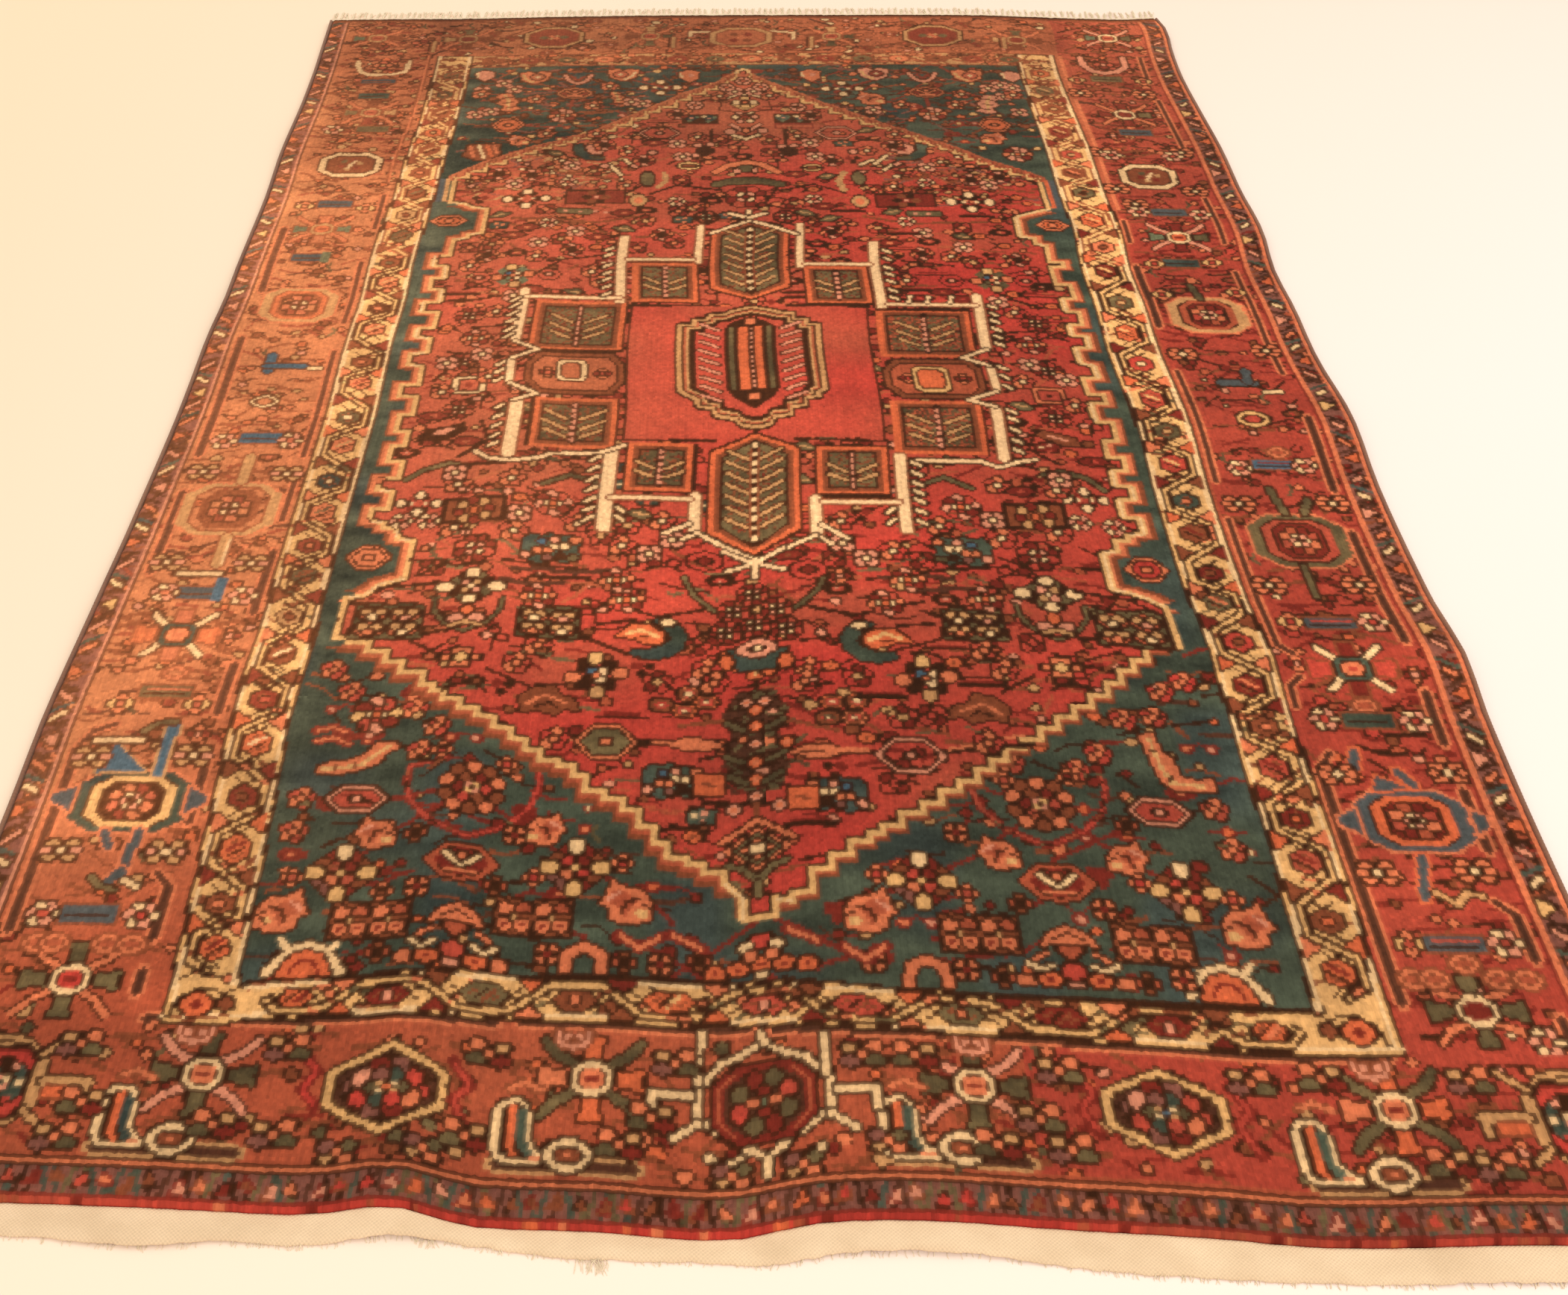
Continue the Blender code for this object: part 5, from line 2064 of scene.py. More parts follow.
    def far_part(self) -> None:
        """The lozenge's far part, from the medallion's head to its far tip."""
        chart = self.chart
        chart.strokes(
            "k",
            "222,490 214,512|238,490 246,510|216,504 196,508 184,500|246,502 262,508 276,500|212,545"
            " 214,572|250,545 250,570",
            1.6,
        )
        chart.strokes(
            "e",
            "120,478 160,474 180,480|340,474 304,472 284,478|96,505 118,508|366,502 344,506|140,520"
            " 168,514|318,516 296,510",
            1.8,
        )
        chart.motif(DARK_FLOWER, 229, 497, scale=1.35)
        chart.motif(DARK_FLOWER, 210, 479, scale=0.7, swap="pydk")
        chart.motif(DARK_FLOWER, 247, 478, scale=0.7)
        chart.motifs(WHITE_SPECKS, "125,495.5 335,492", swap="dk")
        for u, v in ((158, 497), (305, 493)):
            chart.motif(
                (
                    area("k", "-15,-7 -15,6.5 14,7 14,-6", ""),
                    area("d", "-13.6,-5.6 -13.6,5.2 12.8,5.8 12.8,-4.8", ""),
                ),
                u, v,
            )
            chart.motif(rosette("ekekek", 4.4, 2.2, "p", 0, ""), u, v)
        chart.motifs((oval("t", 0, 0, 3.8, 5.2), oval("s", 0, 0, 1.8, 2.8, "")), "178,494 283,492")
        chart.motifs((oval("v", -2, 0, 3.4, 6.4), stroke("t", "3,-8 7,-2 6,6", 2.8)), "184,514")
        chart.motifs((oval("v", 3, 3, 2.8, 5.6), stroke("t", "-5,-8 -7,0 -4,8", 3.2)), "281,511")
        chart.strokes("v", "155,483.5 142,484|306,481 318,481", 4.4, "k")
        chart.motifs((oval("p", 0, 0, 1.1, 1.0, ""),), "144,484 151,483.5 158,484 163,483 308,481 314,481")
        chart.motifs(CREAM_FLOWER, "196,493 261,494 144,511 316,510 137,473 303,474", scale=0.8)
        chart.strokes("v", "215,509 222,512 236,512 246,508", 5.0, "k")
        chart.strokes("s", "215,521 221,527 230,530.5 238,527.5 245,520", 3.6, "k")
        chart.motif(
            (oval("v", 0, 0, 4.2, 3.0), oval("p", -4, -2.4, 1.4, 2.0), oval("p", 4.6, -2.4, 1.4, 2.0)),
            229.5, 524,
        )
        chart.motif((oval("g", 0, 0, 5.2, 3.6), oval("e", 0, 0, 2.8, 1.4)), 202, 527)
        chart.motif((oval("g", 0, 0, 4.4, 3.4), oval("e", 0, 0, 2.2, 1.4)), 262, 524)
        for u, v in ((210, 542), (251.5, 540)):
            chart.motif(
                (
                    oval("k", 0, 0, 5, 4.8, ""), oval("p", -3.6, 5.6, 2, 1.7),
                    oval("p", 2.6, 6.2, 1.8, 1.7), oval("p", -4.6, -4.6, 1.5, 1.4),
                ),
                u, v,
            )
        chart.strokes(
            "c", "163,529 169,518|171,533 174,527|286,527 292,532|293,528 299,536|296,521 303,529", 1.9,
            "k",
        )
        chart.motifs((oval("p", 0, 0, 2.2, 2.0),), "161,527 176,527 304.5,527.5 184,540 283,540")
        for u, v, flip in ((151, 542, False), (313.5, 541, True)):
            chart.motif(
                (
                    area("n", "-6.5,6 -2,7 -1,0 4,-5 9,-6 9,-9.5 1,-9 -5,-4"),
                    area("p", "0,5 5,7 9,2 8,-3 3,-3 1,0", "k"),
                    area("d", "3,4 6,5 8,1 5,-1", ""),
                    stroke("v", "3,-6.4 9,-7", 2.4),
                ),
                u, v, flip,
            )
        chart.motifs(lozenge_ring("p", "r", 10.5, 6.4), "187,560 276,559.5")
        chart.motifs(
            (
                stroke("p", "-7,7 0,-1 7,7", 2.0, "k"),
                stroke("c", "-6,-4 0,-8 6,-4", 2.0, "k"),
                oval("p", -8, 0, 2.2, 2.6),
                oval("p", 8.6, 0.6, 2.2, 2.4),
                oval("s", 0, 1, 1.6, 2.2),
            ),
            "230.5,561.5",
        )
        for u, v in ((207.5, 576), (254.5, 575.5)):
            chart.block("d", u - 9.6, v - 11.4, u + 10.6, v - 5.6)
            chart.block("r", u - 9, v - 10.6, u + 10, v - 7)
            chart.block("k", u - 9.5, v - 5.5, u + 9.5, v + 4.5)
            chart.motifs((oval("n", 0, 0, 3.4, 3.0, ""),), f"{u - 5},{v} {u + 5},{v}")
            chart.motifs(rosette("ycy", 3.0, 1.2, "p", 20, ""), f"{u - 4.6},{v} {u + 4.4},{v - 0.4}")
        chart.motifs(rosette("pcpcpc", 5.0, 1.7, "d", 0), "230.5,577")
        palmette = (
            area("r", "-13,-8 -11,4 0,11 11,4 13,-8 0,-11"),
            stroke("c", "-10,4 -5,8 0,9 5,8 10,4", 1.8, "k"),
            stroke("g", "-6,-1.5 0,-7.5 6,-1.5", 2.2, "k"),
            *rosette("cgcg", 4.6, 1.9, "o", 0),
        )
        chart.motif(palmette, 231, 593)
        chart.motifs(CREAM_FLOWER, "222,610 240,610 231,617 205,590 258,587", scale=0.85, swap="cp")
        chart.motifs(
            RED_FLOWER,
            "110,520 352,516 126,518 338,513 160,548 303,546 180,532 272,531 196,580 264,578",
            scale=0.75,
        )
        chart.motifs(
            SMALL_RED,
            "140,532 325,530 172,508 300,506 155,560 305,558 218,600 244,600 206,556 256,556 172,541"
            " 290,541",
            scale=1.1,
        )
        chart.motifs(
            SMALL_PINK,
            "226,605 236,605 196,549 262,549 118,510 346,508 145,527 318,525 199,536 264,535",
            scale=1.1,
        )

    # The medallion.

    def panel(self, low: Point, high: Point, stem: str, strokes: str) -> None:
        """A framed dark panel with a dotted stem and slanted strokes.

        Args:
            low: Near left corner of its frame.
            high: Far right corner of its frame.
            stem: Letter of the yarn of the stem's dots.
            strokes: Lines of the slanted strokes on its left half, from the panel's middle.
        """
        chart = self.chart
        (low_u, low_v), (high_u, high_v) = low, high
        chart.block("k", low_u - 1, low_v - 1, high_u + 1, high_v + 1)
        chart.block("o", low_u, low_v, high_u, high_v)
        chart.block("e", low_u + 2.1, low_v + 1.9, high_u - 2.1, high_v - 1.9)
        chart.block("k", low_u + 3.6, low_v + 3.2, high_u - 3.6, high_v - 3.2)
        chart.block("v", low_u + 4.6, low_v + 4.2, high_u - 4.6, high_v - 4.2)
        middle_u, middle_v = (low_u + high_u) / 2, (low_v + high_v) / 2
        self.mottle(low_u + 4.6, low_v + 4.2, high_u - 4.6, high_v - 4.2)
        for line in strokes.split("|"):
            points = places(line)
            for sign in (-1, 1):
                shifted = [(middle_u - sign * du, middle_v + dv) for du, dv in points]
                chart.stroke("t", shifted, 1.5, "k", 0.8)
        half = (high_v - low_v) / 2 - 3.4
        chart.stroke("k", [(middle_u, middle_v - half), (middle_u, middle_v + half)], 3.0)
        row = middle_v - half + 1
        while row < middle_v + half - 1:
            chart.oval(stem, (middle_u, row + 0.6), (0.9, 1.3))
            row += 3.7

    def mottle(self, low_u: float, low_v: float, high_u: float, high_v: float) -> None:
        """Uneven knots of olive, brown and dark in a panel's ground.

        Args:
            low_u: First column of the ground.
            low_v: First row of it.
            high_u: Column past its last one.
            high_v: Row past its last one.
        """
        u0, u1, v0, v1 = round(low_u), round(high_u), round(low_v), round(high_v)
        draws = self.random.random((v1 - v0, u1 - u0))
        block = self.chart.yarns[v0:v1, u0:u1]
        block[draws < 0.30] = YARN_NUMBER["e"]
        block[draws < 0.12] = YARN_NUMBER["h"]
        block[draws < 0.05] = YARN_NUMBER["d"]
        if low_u > RIGHT_PANELS_START:
            block[draws > 0.72] = YARN_NUMBER["b"]

    def medallion(self) -> None:
        """The ivory-posted medallion with its ten panels and middle hexagon."""
        chart = self.chart
        chart.block("r", 178, 312, 281, 405)
        chart.strokes(
            "k",
            "178.5,312 178.5,404|280.5,310 280.5,402|178,311.5 214,312|246,311 281,309.5|178,405"
            " 214,405.5|246,404 281,403",
            1.5,
        )
        short = "-9,3.5 -2.4,-1|-9,-2.4 -2.4,-6"
        for low, high in (
            ((181, 281), (206.5, 309.5)), ((254, 277.5), (281, 306)),
            ((178.5, 408), (207, 439)), ((255, 405.5), (283, 435)),
        ):
            self.panel(low, high, "p", short)
        tall = "-12,8 -3,2.5|-12,1.5 -3,-4|-11,-4.5 -3,-9"
        for low, high in (
            ((141.5, 306.5), (175, 337.5)), ((284.5, 302.5), (320, 335.5)),
            ((137, 371.5), (176, 407.5)), ((284.5, 366.5), (324, 400.5)),
        ):
            self.panel(low, high, "p", tall)
        self.tall_panel(230, 246, 258, 305, 315.5, False)
        self.tall_panel(230.5, 410, 419, 466, 474.5, True)
        self.side_rings()
        self.middle_hexagon()
        self.posts()

    def tall_panel(self, u: float, foot: float, low: float, high: float, head: float, far: bool) -> None:
        """The long leaf panel nearer or farther than the middle.

        Args:
            u: Column of its stem.
            foot: Row of its near point.
            low: Row where its sides start.
            high: Row where its sides end.
            head: Row of its far point.
            far: Not used.
        """
        chart = self.chart
        half = 17.0
        outline = [
            (u, foot), (u + half, low), (u + half, high), (u, head), (u - half, high), (u - half, low)
        ]
        chart.area("o", outline, "k", 1.4)
        for shrink, yarn in ((1.9, "e"), (3.6, "k"), (4.6, "v")):
            share = 1 - shrink / half
            middle = (low + high) / 2
            inner = [
                (u + (pu - u) * share, pv + math.copysign(shrink * 0.9, middle - pv)) for pu, pv in outline
            ]
            chart.area(yarn, inner)
        self.mottle(u - 10, low, u + 10, high)
        row = low + 3
        while row < high - 2:
            for sign in (-1, 1):
                chart.stroke("t", [(u + sign * 10.5, row + 5), (u + sign * 2.6, row - 0.6)], 1.5, "k", 0.8)
            row += 6.6
        chart.stroke("k", [(u, foot + 6), (u, head - 6)], 4.6)
        for side in (-1.9, 1.9):
            chart.stroke("e", [(u + side, foot + 9), (u + side, head - 9)], 0.9)
        row = foot + 8
        while row < head - 7:
            chart.oval("c", (u, row + 0.5), (1.1, 1.5))
            row += 5.4

    def side_rings(self) -> None:
        """The two small framed rings at the medallion's waist."""
        chart = self.chart
        for low, high, ring, heart in (
            ((137, 341), (176.5, 369), ((150, 350), (161.5, 364)), "b"),
            ((284.5, 338.5), (324, 364), ((296, 342.5), (310, 359)), "o"),
        ):
            (low_u, low_v), (high_u, high_v) = low, high
            middle = (low_v + high_v) / 2
            frame_points = [
                (low_u + 5, low_v), (high_u - 4, low_v), (high_u, middle - 7), (high_u, middle + 7),
                (high_u - 4, high_v), (low_u + 5, high_v), (low_u, middle + 6), (low_u, middle - 6),
            ]
            chart.area("e", frame_points, "k", 1.2)
            across = (low_u + high_u) / 2
            inner = [((u - across) * 0.86 + across, (v - middle) * 0.8 + middle) for u, v in frame_points]
            chart.area("b", inner, "k", 0.8)
            chart.motifs(SMALL_GOLD, f"{low_u + 9},{middle} {high_u - 8},{middle}", swap="gd", scale=0.8)
            (ring_u, ring_v), (end_u, end_v) = ring
            yarn = "c" if heart == "b" else "g"
            middle_u, middle_v = (ring_u + end_u) / 2, (ring_v + end_v) / 2
            chart.motif(
                (
                    polygon(yarn, (end_u - ring_u) / 2, (end_v - ring_v) / 2, 0.22),
                    polygon(heart, (end_u - ring_u) / 2 - 2.5, (end_v - ring_v) / 2 - 2.5, 0.15),
                ),
                middle_u, middle_v,
            )

    def middle_hexagon(self) -> None:
        """The stepped hexagon with its upright stripes."""
        chart = self.chart
        right = [
            (260, 343), (257, 341), (257, 338), (251, 337), (251, 332), (245, 331), (245, 326),
            (238, 325), (236, 320), (230, 318.5),
        ]
        left = [
            (230, 318.5), (224, 321), (222, 325), (214, 327), (213, 332), (207, 333), (206, 338),
            (203, 340), (199, 343),
        ]
        far_left = [
            (199, 391), (205, 391.5), (205, 395), (211, 395.5), (212, 399), (218, 399.5), (222, 402),
            (230, 404.5),
        ]
        far_right = [
            (238, 402), (243, 399.5), (249, 398.5), (249, 394.5), (255, 394), (255, 390.5), (260, 390)
        ]
        outline = right + left + far_left + far_right
        chart.area("t", outline, "k", 1.4)

        def inset(amount: float) -> list[Point]:
            """The outline, drawn in.

            Args:
                amount: By how many knots, at its sides.

            Returns:
                The smaller outline.
            """
            middle_u, middle_v = 230.0, 364.0
            return [
                (middle_u + (u - middle_u) * (1 - amount / 30), middle_v + (v - middle_v) * (1 - amount / 42))
                for u, v in outline
            ]

        for amount, yarn in ((1.9, "k"), (2.9, "b"), (3.7, "t"), (4.9, "k"), (7.6, "r")):
            chart.area(yarn, inset(amount))
        for side in (-1, 1):
            row = 338
            while row < 391:
                chart.stroke(
                    "p", [(230 + side * 21, row + 3.5), (230 + side * 13.5, row - 0.5)], 1.4, "k", 0.8
                )
                row += 6.2
        chart.area(
            "k",
            places("219,345 222,339 230,332 238,339 241,345 241,388 237,393 230,397 222,393 219,388"),
        )
        for low, high, yarn in ((221, 223.4, "v"), (225, 228.6, "o"), (231.6, 235.4, "o"), (237, 239, "v")):
            chart.block(yarn, low, 345, high, 389)
        row = 346
        while row < 388:
            chart.block("p", 229.6, row, 231, row + 1.6)
            row += 3.4
        chart.motifs((oval("s", 0, 0, 2.4, 2.0),), "230,340 230,393")

    def posts(self) -> None:
        """Ivory posts with their comb teeth, cross bars, feet and curled lines."""
        chart = self.chart
        upright = (
            (134.5, 301, 335, 4.2), (130.5, 347, 365, 3.4), (130.7, 377, 416, 3.8), (174.6, 260, 304, 5.0),
            (172.8, 409, 460, 4.6), (208, 257, 279, 3.4), (207.6, 441, 470, 3.6),
            (326, 300, 333, 3.6), (328.3, 343, 360, 3.0), (329, 373, 412, 3.4), (286, 258, 300, 4.4),
            (287, 404, 454, 4.4), (253, 254, 275, 3.4), (253.4, 436, 470, 3.8),
        )
        for u, low, high, width in upright:
            chart.stroke("w", [(u, low), (u, high)], width, "e")
        level = (
            ((176, 277), (206, 277)), ((176, 442.3), (205, 442.3)), ((132, 411), (173, 411)),
            ((256, 273.3), (284, 273.3)), ((256, 437.2), (285, 437.2)), ((290, 405), (328, 405)),
        )
        for points in level:
            chart.stroke("w", list(points), 1.9, "e")
        chart.strokes(
            "w",
            "133,335.5 142,340 131,347|131,377 141,371 131,365|326,333 316,337 328,343|329,372"
            " 318,366 328.5,360.5|122,303 127,298.5 136,296.5 146,299 152,302.5 170,303.5 179,308"
            "|291,298.5 306,298 317,298 324,294.5 331,298 338,300|209,258 204,254.5|206,263"
            " 197,257.5|253,254 258,250|255,260 264,252.5|209,258 220,250 230,243|252,254 242,248"
            " 232,243",
            1.7, "k",
        )
        teeth = (
            (129, -3.4, "307 312.5 319 325 331.5"), (128.5, -3.4, "381 386 392.5 398 404 409"),
            (169.6, -3.6, "265 270.5 276 282 288 294 300"), (168, -3.6, "414 420 426 431 437 446 451"),
            (331, 3.4, "305 311 318 325 330"), (332.5, 3.0, "346 353 359.5"),
            (334, 3.4, "376 381.5 387 393 398.5 404"), (291, 3.6, "262 268 274 279 284 290 296"),
            (292, 3.6, "410 416 423 429 434 441.5 448"), (179.4, 2.8, "265 270"), (281.5, -2.8, "262 268"),
            (127, -2.8, "350 356 361"),
        )
        for u, reach, rows in teeth:
            for row in rows.split():
                v = float(row)
                chart.stroke("c", [(u - reach * 0.15, v + 1.2), (u + reach * 0.75, v - 1.2)], 1.6, "k", 1.2)
        for u in (299, 307, 317):
            chart.stroke("w", [(u, 407), (u + 1, 411)], 1.6, "k", 0.8)
        chart.motif(PANEL_STAR, 230, 241)
        chart.strokes("w", "213,465 220,469.5 230,475.5|230,475.5 240,470 252,462.5", 2.0, "k")
        chart.strokes("w", "230,475 230,484|230,478 221,482|230,478 238,481.5", 2.2, "k")

    # The gold guard.

    def gold_guard(self) -> None:
        """The gold guard round the field, with its vine and flowers."""
        chart = self.chart
        left = places(LEFT_GUARD_OUT) + places(LEFT_GUARD_IN)[::-1]
        right = places(RIGHT_GUARD_IN) + places(RIGHT_GUARD_OUT)[::-1]
        near = places(NEAR_GUARD_LOW) + places(NEAR_GUARD_HIGH)[::-1]
        chart.area("t", places("66,637 400,637 400,650 66,650"), "e", 1.0)
        for outline in (left, right, near):
            chart.area("k", outline, "k", 1.2)
        for outline in (left, right, near):
            chart.area("g", outline, "")
        for text, inward in ((LEFT_GUARD_OUT, 1.0), (RIGHT_GUARD_OUT, -1.0)):
            chart.stroke("c", [(u + inward, v + 1.2) for u, v in places(text)], 1.1)
        for text, inward in ((LEFT_GUARD_IN, -1.0), (RIGHT_GUARD_IN, 1.0)):
            chart.stroke("c", [(u + inward, max(v, 64.5)) for u, v in places(text)], 1.2)
        chart.stroke("c", [(u, v + 1.2) for u, v in places(NEAR_GUARD_LOW)], 1.2)
        chart.stroke("c", [(u, v - 1.0) for u, v in places(NEAR_GUARD_HIGH) if 84 < u < 384], 1.1)
        self.guard_run(
            LEFT_FLOWERS, lambda at, share: self.across_guard(LEFT_GUARD_OUT, LEFT_GUARD_IN, at, share)
        )
        self.guard_run(
            RIGHT_FLOWERS,
            lambda at, share: self.across_guard(RIGHT_GUARD_OUT, RIGHT_GUARD_IN, at, share),
        )
        self.guard_run(NEAR_FLOWERS, self.along_guard)
        for u in (75, 392):
            corner = (
                oval("o", 0, 0, 4.4, 3.2),
                oval("d", 0, 0, 1.6, 1.2, ""),
                oval("e", 8, 0.6, 2, 2),
                stroke("k", "-7,-4 -5.5,2 0,5.5 7,4 11,6", 1.0),
                stroke("e", "-5.5,-4.4 0,-4.6 5,-4 9,-3", 1.0),
                stroke("k", "-6.4,8 -2,11 5,9", 1.0),
            )
            on_right = u > self.columns / 2
            chart.motif(corner[:4] if on_right else corner, u, 57.5, on_right)
        self.guard_far()
        for low_u, high_u in ((60, 86), (378, 404)):
            self.undergrowth(80, (low_u, 540), (high_u, 650), "g", "eete", "et")
            self.undergrowth(90, (low_u, 60), (high_u, 540), "g", "evse", "es")
        self.undergrowth(60, (86, 54), (380, 70), "g", "evse", "es")

    @staticmethod
    def across_guard(out_edge: str, in_edge: str, row: float, share: float) -> Point:
        """A place in a side run of the guard: share -1 at its outer edge, 1 at its inner one."""
        out_u, in_u = column_at(out_edge, row), column_at(in_edge, row)
        return (out_u + in_u) / 2 + share * (in_u - out_u) / 2, row

    @staticmethod
    def along_guard(column: float, share: float) -> Point:
        """A place in the near run of the guard: share -1 at its near edge, 1 at its far one."""
        low, high = row_at(NEAR_GUARD_LOW, column), row_at(NEAR_GUARD_HIGH, column)
        return column, (low + high) / 2 + share * (high - low) / 2

    def guard_run(self, flowers: str, place: Callable[[float, float], Point]) -> None:
        """One run of the guard: a vine that bends round each flower in turn, and leaves beside it.

        Args:
            flowers: Its flowers, written as "distance:letters", a long one and a short one by turns.
            place: Gives the chart place for a distance along the run and a share across it.
        """
        chart = self.chart
        spots = []
        for spot in flowers.split():
            at, letters = spot.split(":")
            spots.append((float(at), letters))
        ats = [at for at, _ in spots]
        gaps = [8.0, *[(high - low) / 2 for low, high in zip(ats, ats[1:])], 8.0]
        for number, at in enumerate(ats[1:]):
            crossing = at - gaps[number + 1]
            for side in (-1, 1):
                base, tip = 0.86 * side, 0.34 * side
                leaf = [place(crossing - 3.6, base), place(crossing + 3.6, base), place(crossing, tip)]
                chart.area("dseo"[(number + side) % 4], leaf, "k", 0.8)
        line = []
        for number, at in enumerate(ats):
            side = 1 if number % 2 else -1
            before, after = gaps[number], gaps[number + 1]
            line += [
                place(at - before, 0), place(at - before * 0.56, side * 0.64),
                place(at + after * 0.56, side * 0.64),
            ]
        line.append(place(ats[-1] + gaps[-1], 0))
        near_line = [spot for spot in line if spot[1] < CLEAR_VINE_END]
        far_line = [spot for spot in line if spot[1] > FADED_VINE_START]
        chart.stroke("g", near_line, 1.25, "k", 1.3)
        if far_line:
            chart.stroke("g", far_line, 1.5, "e", 1.15)
        for number, (at, letters) in enumerate(spots):
            side = 1 if number % 2 else -1
            long = 0 if number % 2 else 1
            reach = min(gaps[number], gaps[number + 1]) * (0.56 if long else 0.48)
            low, high = (-0.36, 0.50) if side < 0 else (-0.50, 0.36)
            middle = (low + high) / 2
            outline = [
                place(at - reach, middle), place(at - reach * 0.5, high), place(at + reach * 0.5, high),
                place(at + reach, middle), place(at + reach * 0.5, low), place(at - reach * 0.5, low),
            ]
            for end in (-1, 1):
                tip = at + end * (reach + 3.0)
                root = place(at + end * reach, middle)
                chart.stroke("k", [place(tip, middle + 0.34), root, place(tip, middle - 0.34)], 0.9)
            chart.area(letters[0], outline, "k" if at < DARK_FLOWERS_END else "e", 1.0)
            chart.stroke("e", [place(at - reach * 0.6, middle), place(at - reach * 0.3, high - 0.2)], 0.9)
            chart.stroke("e", [place(at + reach * 0.6, middle), place(at + reach * 0.3, low + 0.2)], 0.9)
            if long:
                chart.stroke("k", [place(at - 2.6, middle - 0.2), place(at + 0.6, middle + 0.3)], 1.1)
                chart.stroke(
                    letters[1], [place(at - 0.6, middle - 0.25), place(at + 2.8, middle + 0.25)], 1.3
                )
            else:
                chart.oval(letters[1], place(at, middle), (1.5, 1.4), "k", 0.7)

    def guard_far(self) -> None:
        """The faded far run of the gold guard."""
        chart = self.chart
        for number in range(15):
            u = 96 + number * 20
            yarn = "edvs"[number % 4]
            chart.motif((oval(yarn, 0, 0, 5.0, 3.2, "e"), oval("t", 0, 0, 1.6, 1.2, "")), u, 643.5)
            chart.stroke("e", [(u + 5, 647), (u + 9, 643), (u + 15, 640)], 1.1)
        self.undergrowth(260, (84, 638), (382, 650), "t", "eehbeb", "ebsoe")


# ---------------------------------------------------------------- colours of the knots


# The pale colour that faded dyes, painted light and painted sheen draw the knots towards.
FADED_AND_LIT_MADDER = (0.76, 0.48, 0.315)
INDIGO = (0.19, 0.24, 0.29)
CRIMSON_LOT = (0.70, 0.19, 0.17)
BROWN_LOT = (0.60, 0.31, 0.21)
DYER_SEED = 5
RED_LOT_SEED = 9
YARN_COLOURS = np.array([yarn.value[1] for yarn in Yarn], float)
YARN_FADES = np.array([yarn.value[2] for yarn in Yarn], float)


def smooth_step(low: float, high: float, value: np.ndarray) -> np.ndarray:
    """A soft rise from 0 at low to 1 at high."""
    t = np.clip((value - low) / (high - low), 0, 1)
    return t * t * (3 - 2 * t)


def soft_noise(random: np.random.Generator, shape: tuple[int, int], cells: tuple[int, int]) -> np.ndarray:
    """Smooth random values from -1 to 1 over a grid.

    Args:
        random: Source of the random draws.
        shape: Rows and columns of the grid.
        cells: Rows and columns of the coarse draws behind it.

    Returns:
        One value for each place of the grid.
    """
    coarse = random.uniform(-1, 1, (cells[0] + 1, cells[1] + 1))
    rows = np.linspace(0, cells[0], shape[0])
    columns = np.linspace(0, cells[1], shape[1])
    low_row = np.minimum(rows.astype(int), cells[0] - 1)
    low_column = np.minimum(columns.astype(int), cells[1] - 1)
    row_share = smooth_step(0, 1, rows - low_row)[:, None]
    column_share = smooth_step(0, 1, columns - low_column)[None, :]
    near = coarse[low_row][:, low_column] * (1 - column_share)
    near += coarse[low_row][:, low_column + 1] * column_share
    far = coarse[low_row + 1][:, low_column] * (1 - column_share)
    far += coarse[low_row + 1][:, low_column + 1] * column_share
    return near * (1 - row_share) + far * row_share


@dataclass(frozen=True)
class DyeAndLightPatch:
    """A soft-edged part of the rug painted darker, lighter or paler than the rest: partly uneven dye, partly
    painted light and shade.

    Args:
        low: Its near left corner on the chart.
        high: Its far right corner.
        soft: How many knots its edge takes to die away.
        shade: How much lighter it is.
        fade: How much paler it is, from faded dye and painted light.
    """

    low: Point
    high: Point
    soft: float
    shade: float
    fade: float

    def share(self, u: np.ndarray, v: np.ndarray) -> np.ndarray:
        """How much of the patch is felt at each knot.

        Args:
            u: The knots' columns.
            v: The knots' rows.

        Returns:
            Shares from 0 to 1.
        """
        felt = np.ones(u.shape)
        for value, low, high in ((u, self.low[0], self.high[0]), (v, self.low[1], self.high[1])):
            felt = felt * smooth_step(low - self.soft, low + self.soft, value)
            felt = felt * (1 - smooth_step(high - self.soft, high + self.soft, value))
        return felt


# Soft patches painted lighter, darker or paler: partly uneven dye lots, partly painted light and shade.
DYE_AND_LIGHT_PATCHES = (
    DyeAndLightPatch((80, 60), (385, 200), 40, 0.90, -0.05),
    DyeAndLightPatch((270, 200), (385, 420), 50, 0.95, -0.05),
    DyeAndLightPatch((70, 220), (170, 520), 40, 1.05, 0.16),
    DyeAndLightPatch((-40, 110), (62, 520), 14, 1.12, 0.08),
    DyeAndLightPatch((-60, 420), (12, 705), 6, 1.12, 0.05),
    DyeAndLightPatch((240, 652), (500, 760), 36, 1.12, 0.02),
    DyeAndLightPatch((88, 548), (378, 640), 14, 0.93, 0.0),
    DyeAndLightPatch((190, 300), (280, 430), 20, 1.08, 0.0),
    DyeAndLightPatch((90, 140), (200, 240), 25, 1.09, 0.04),
    DyeAndLightPatch((-40, 520), (62, 760), 30, 1.01, -0.04),
    DyeAndLightPatch((120, 470), (390, 640), 40, 0.93, -0.05),
    DyeAndLightPatch((60, 652), (410, 760), 8, 0.84, -0.08),
    DyeAndLightPatch((404, 480), (520, 760), 20, 0.95, -0.06),
    DyeAndLightPatch((-60, 600), (80, 800), 25, 0.90, -0.22),
    DyeAndLightPatch((378, 325), (402, 600), 6, 1.15, 0.0),
    DyeAndLightPatch((62, 315), (86, 600), 6, 1.13, 0.0),
    DyeAndLightPatch((378, 136), (402, 188), 6, 1.11, 0.0),
    DyeAndLightPatch((62, 150), (86, 212), 6, 1.15, 0.0),
    DyeAndLightPatch((165, 205), (295, 290), 25, 1.08, 0.0),
)


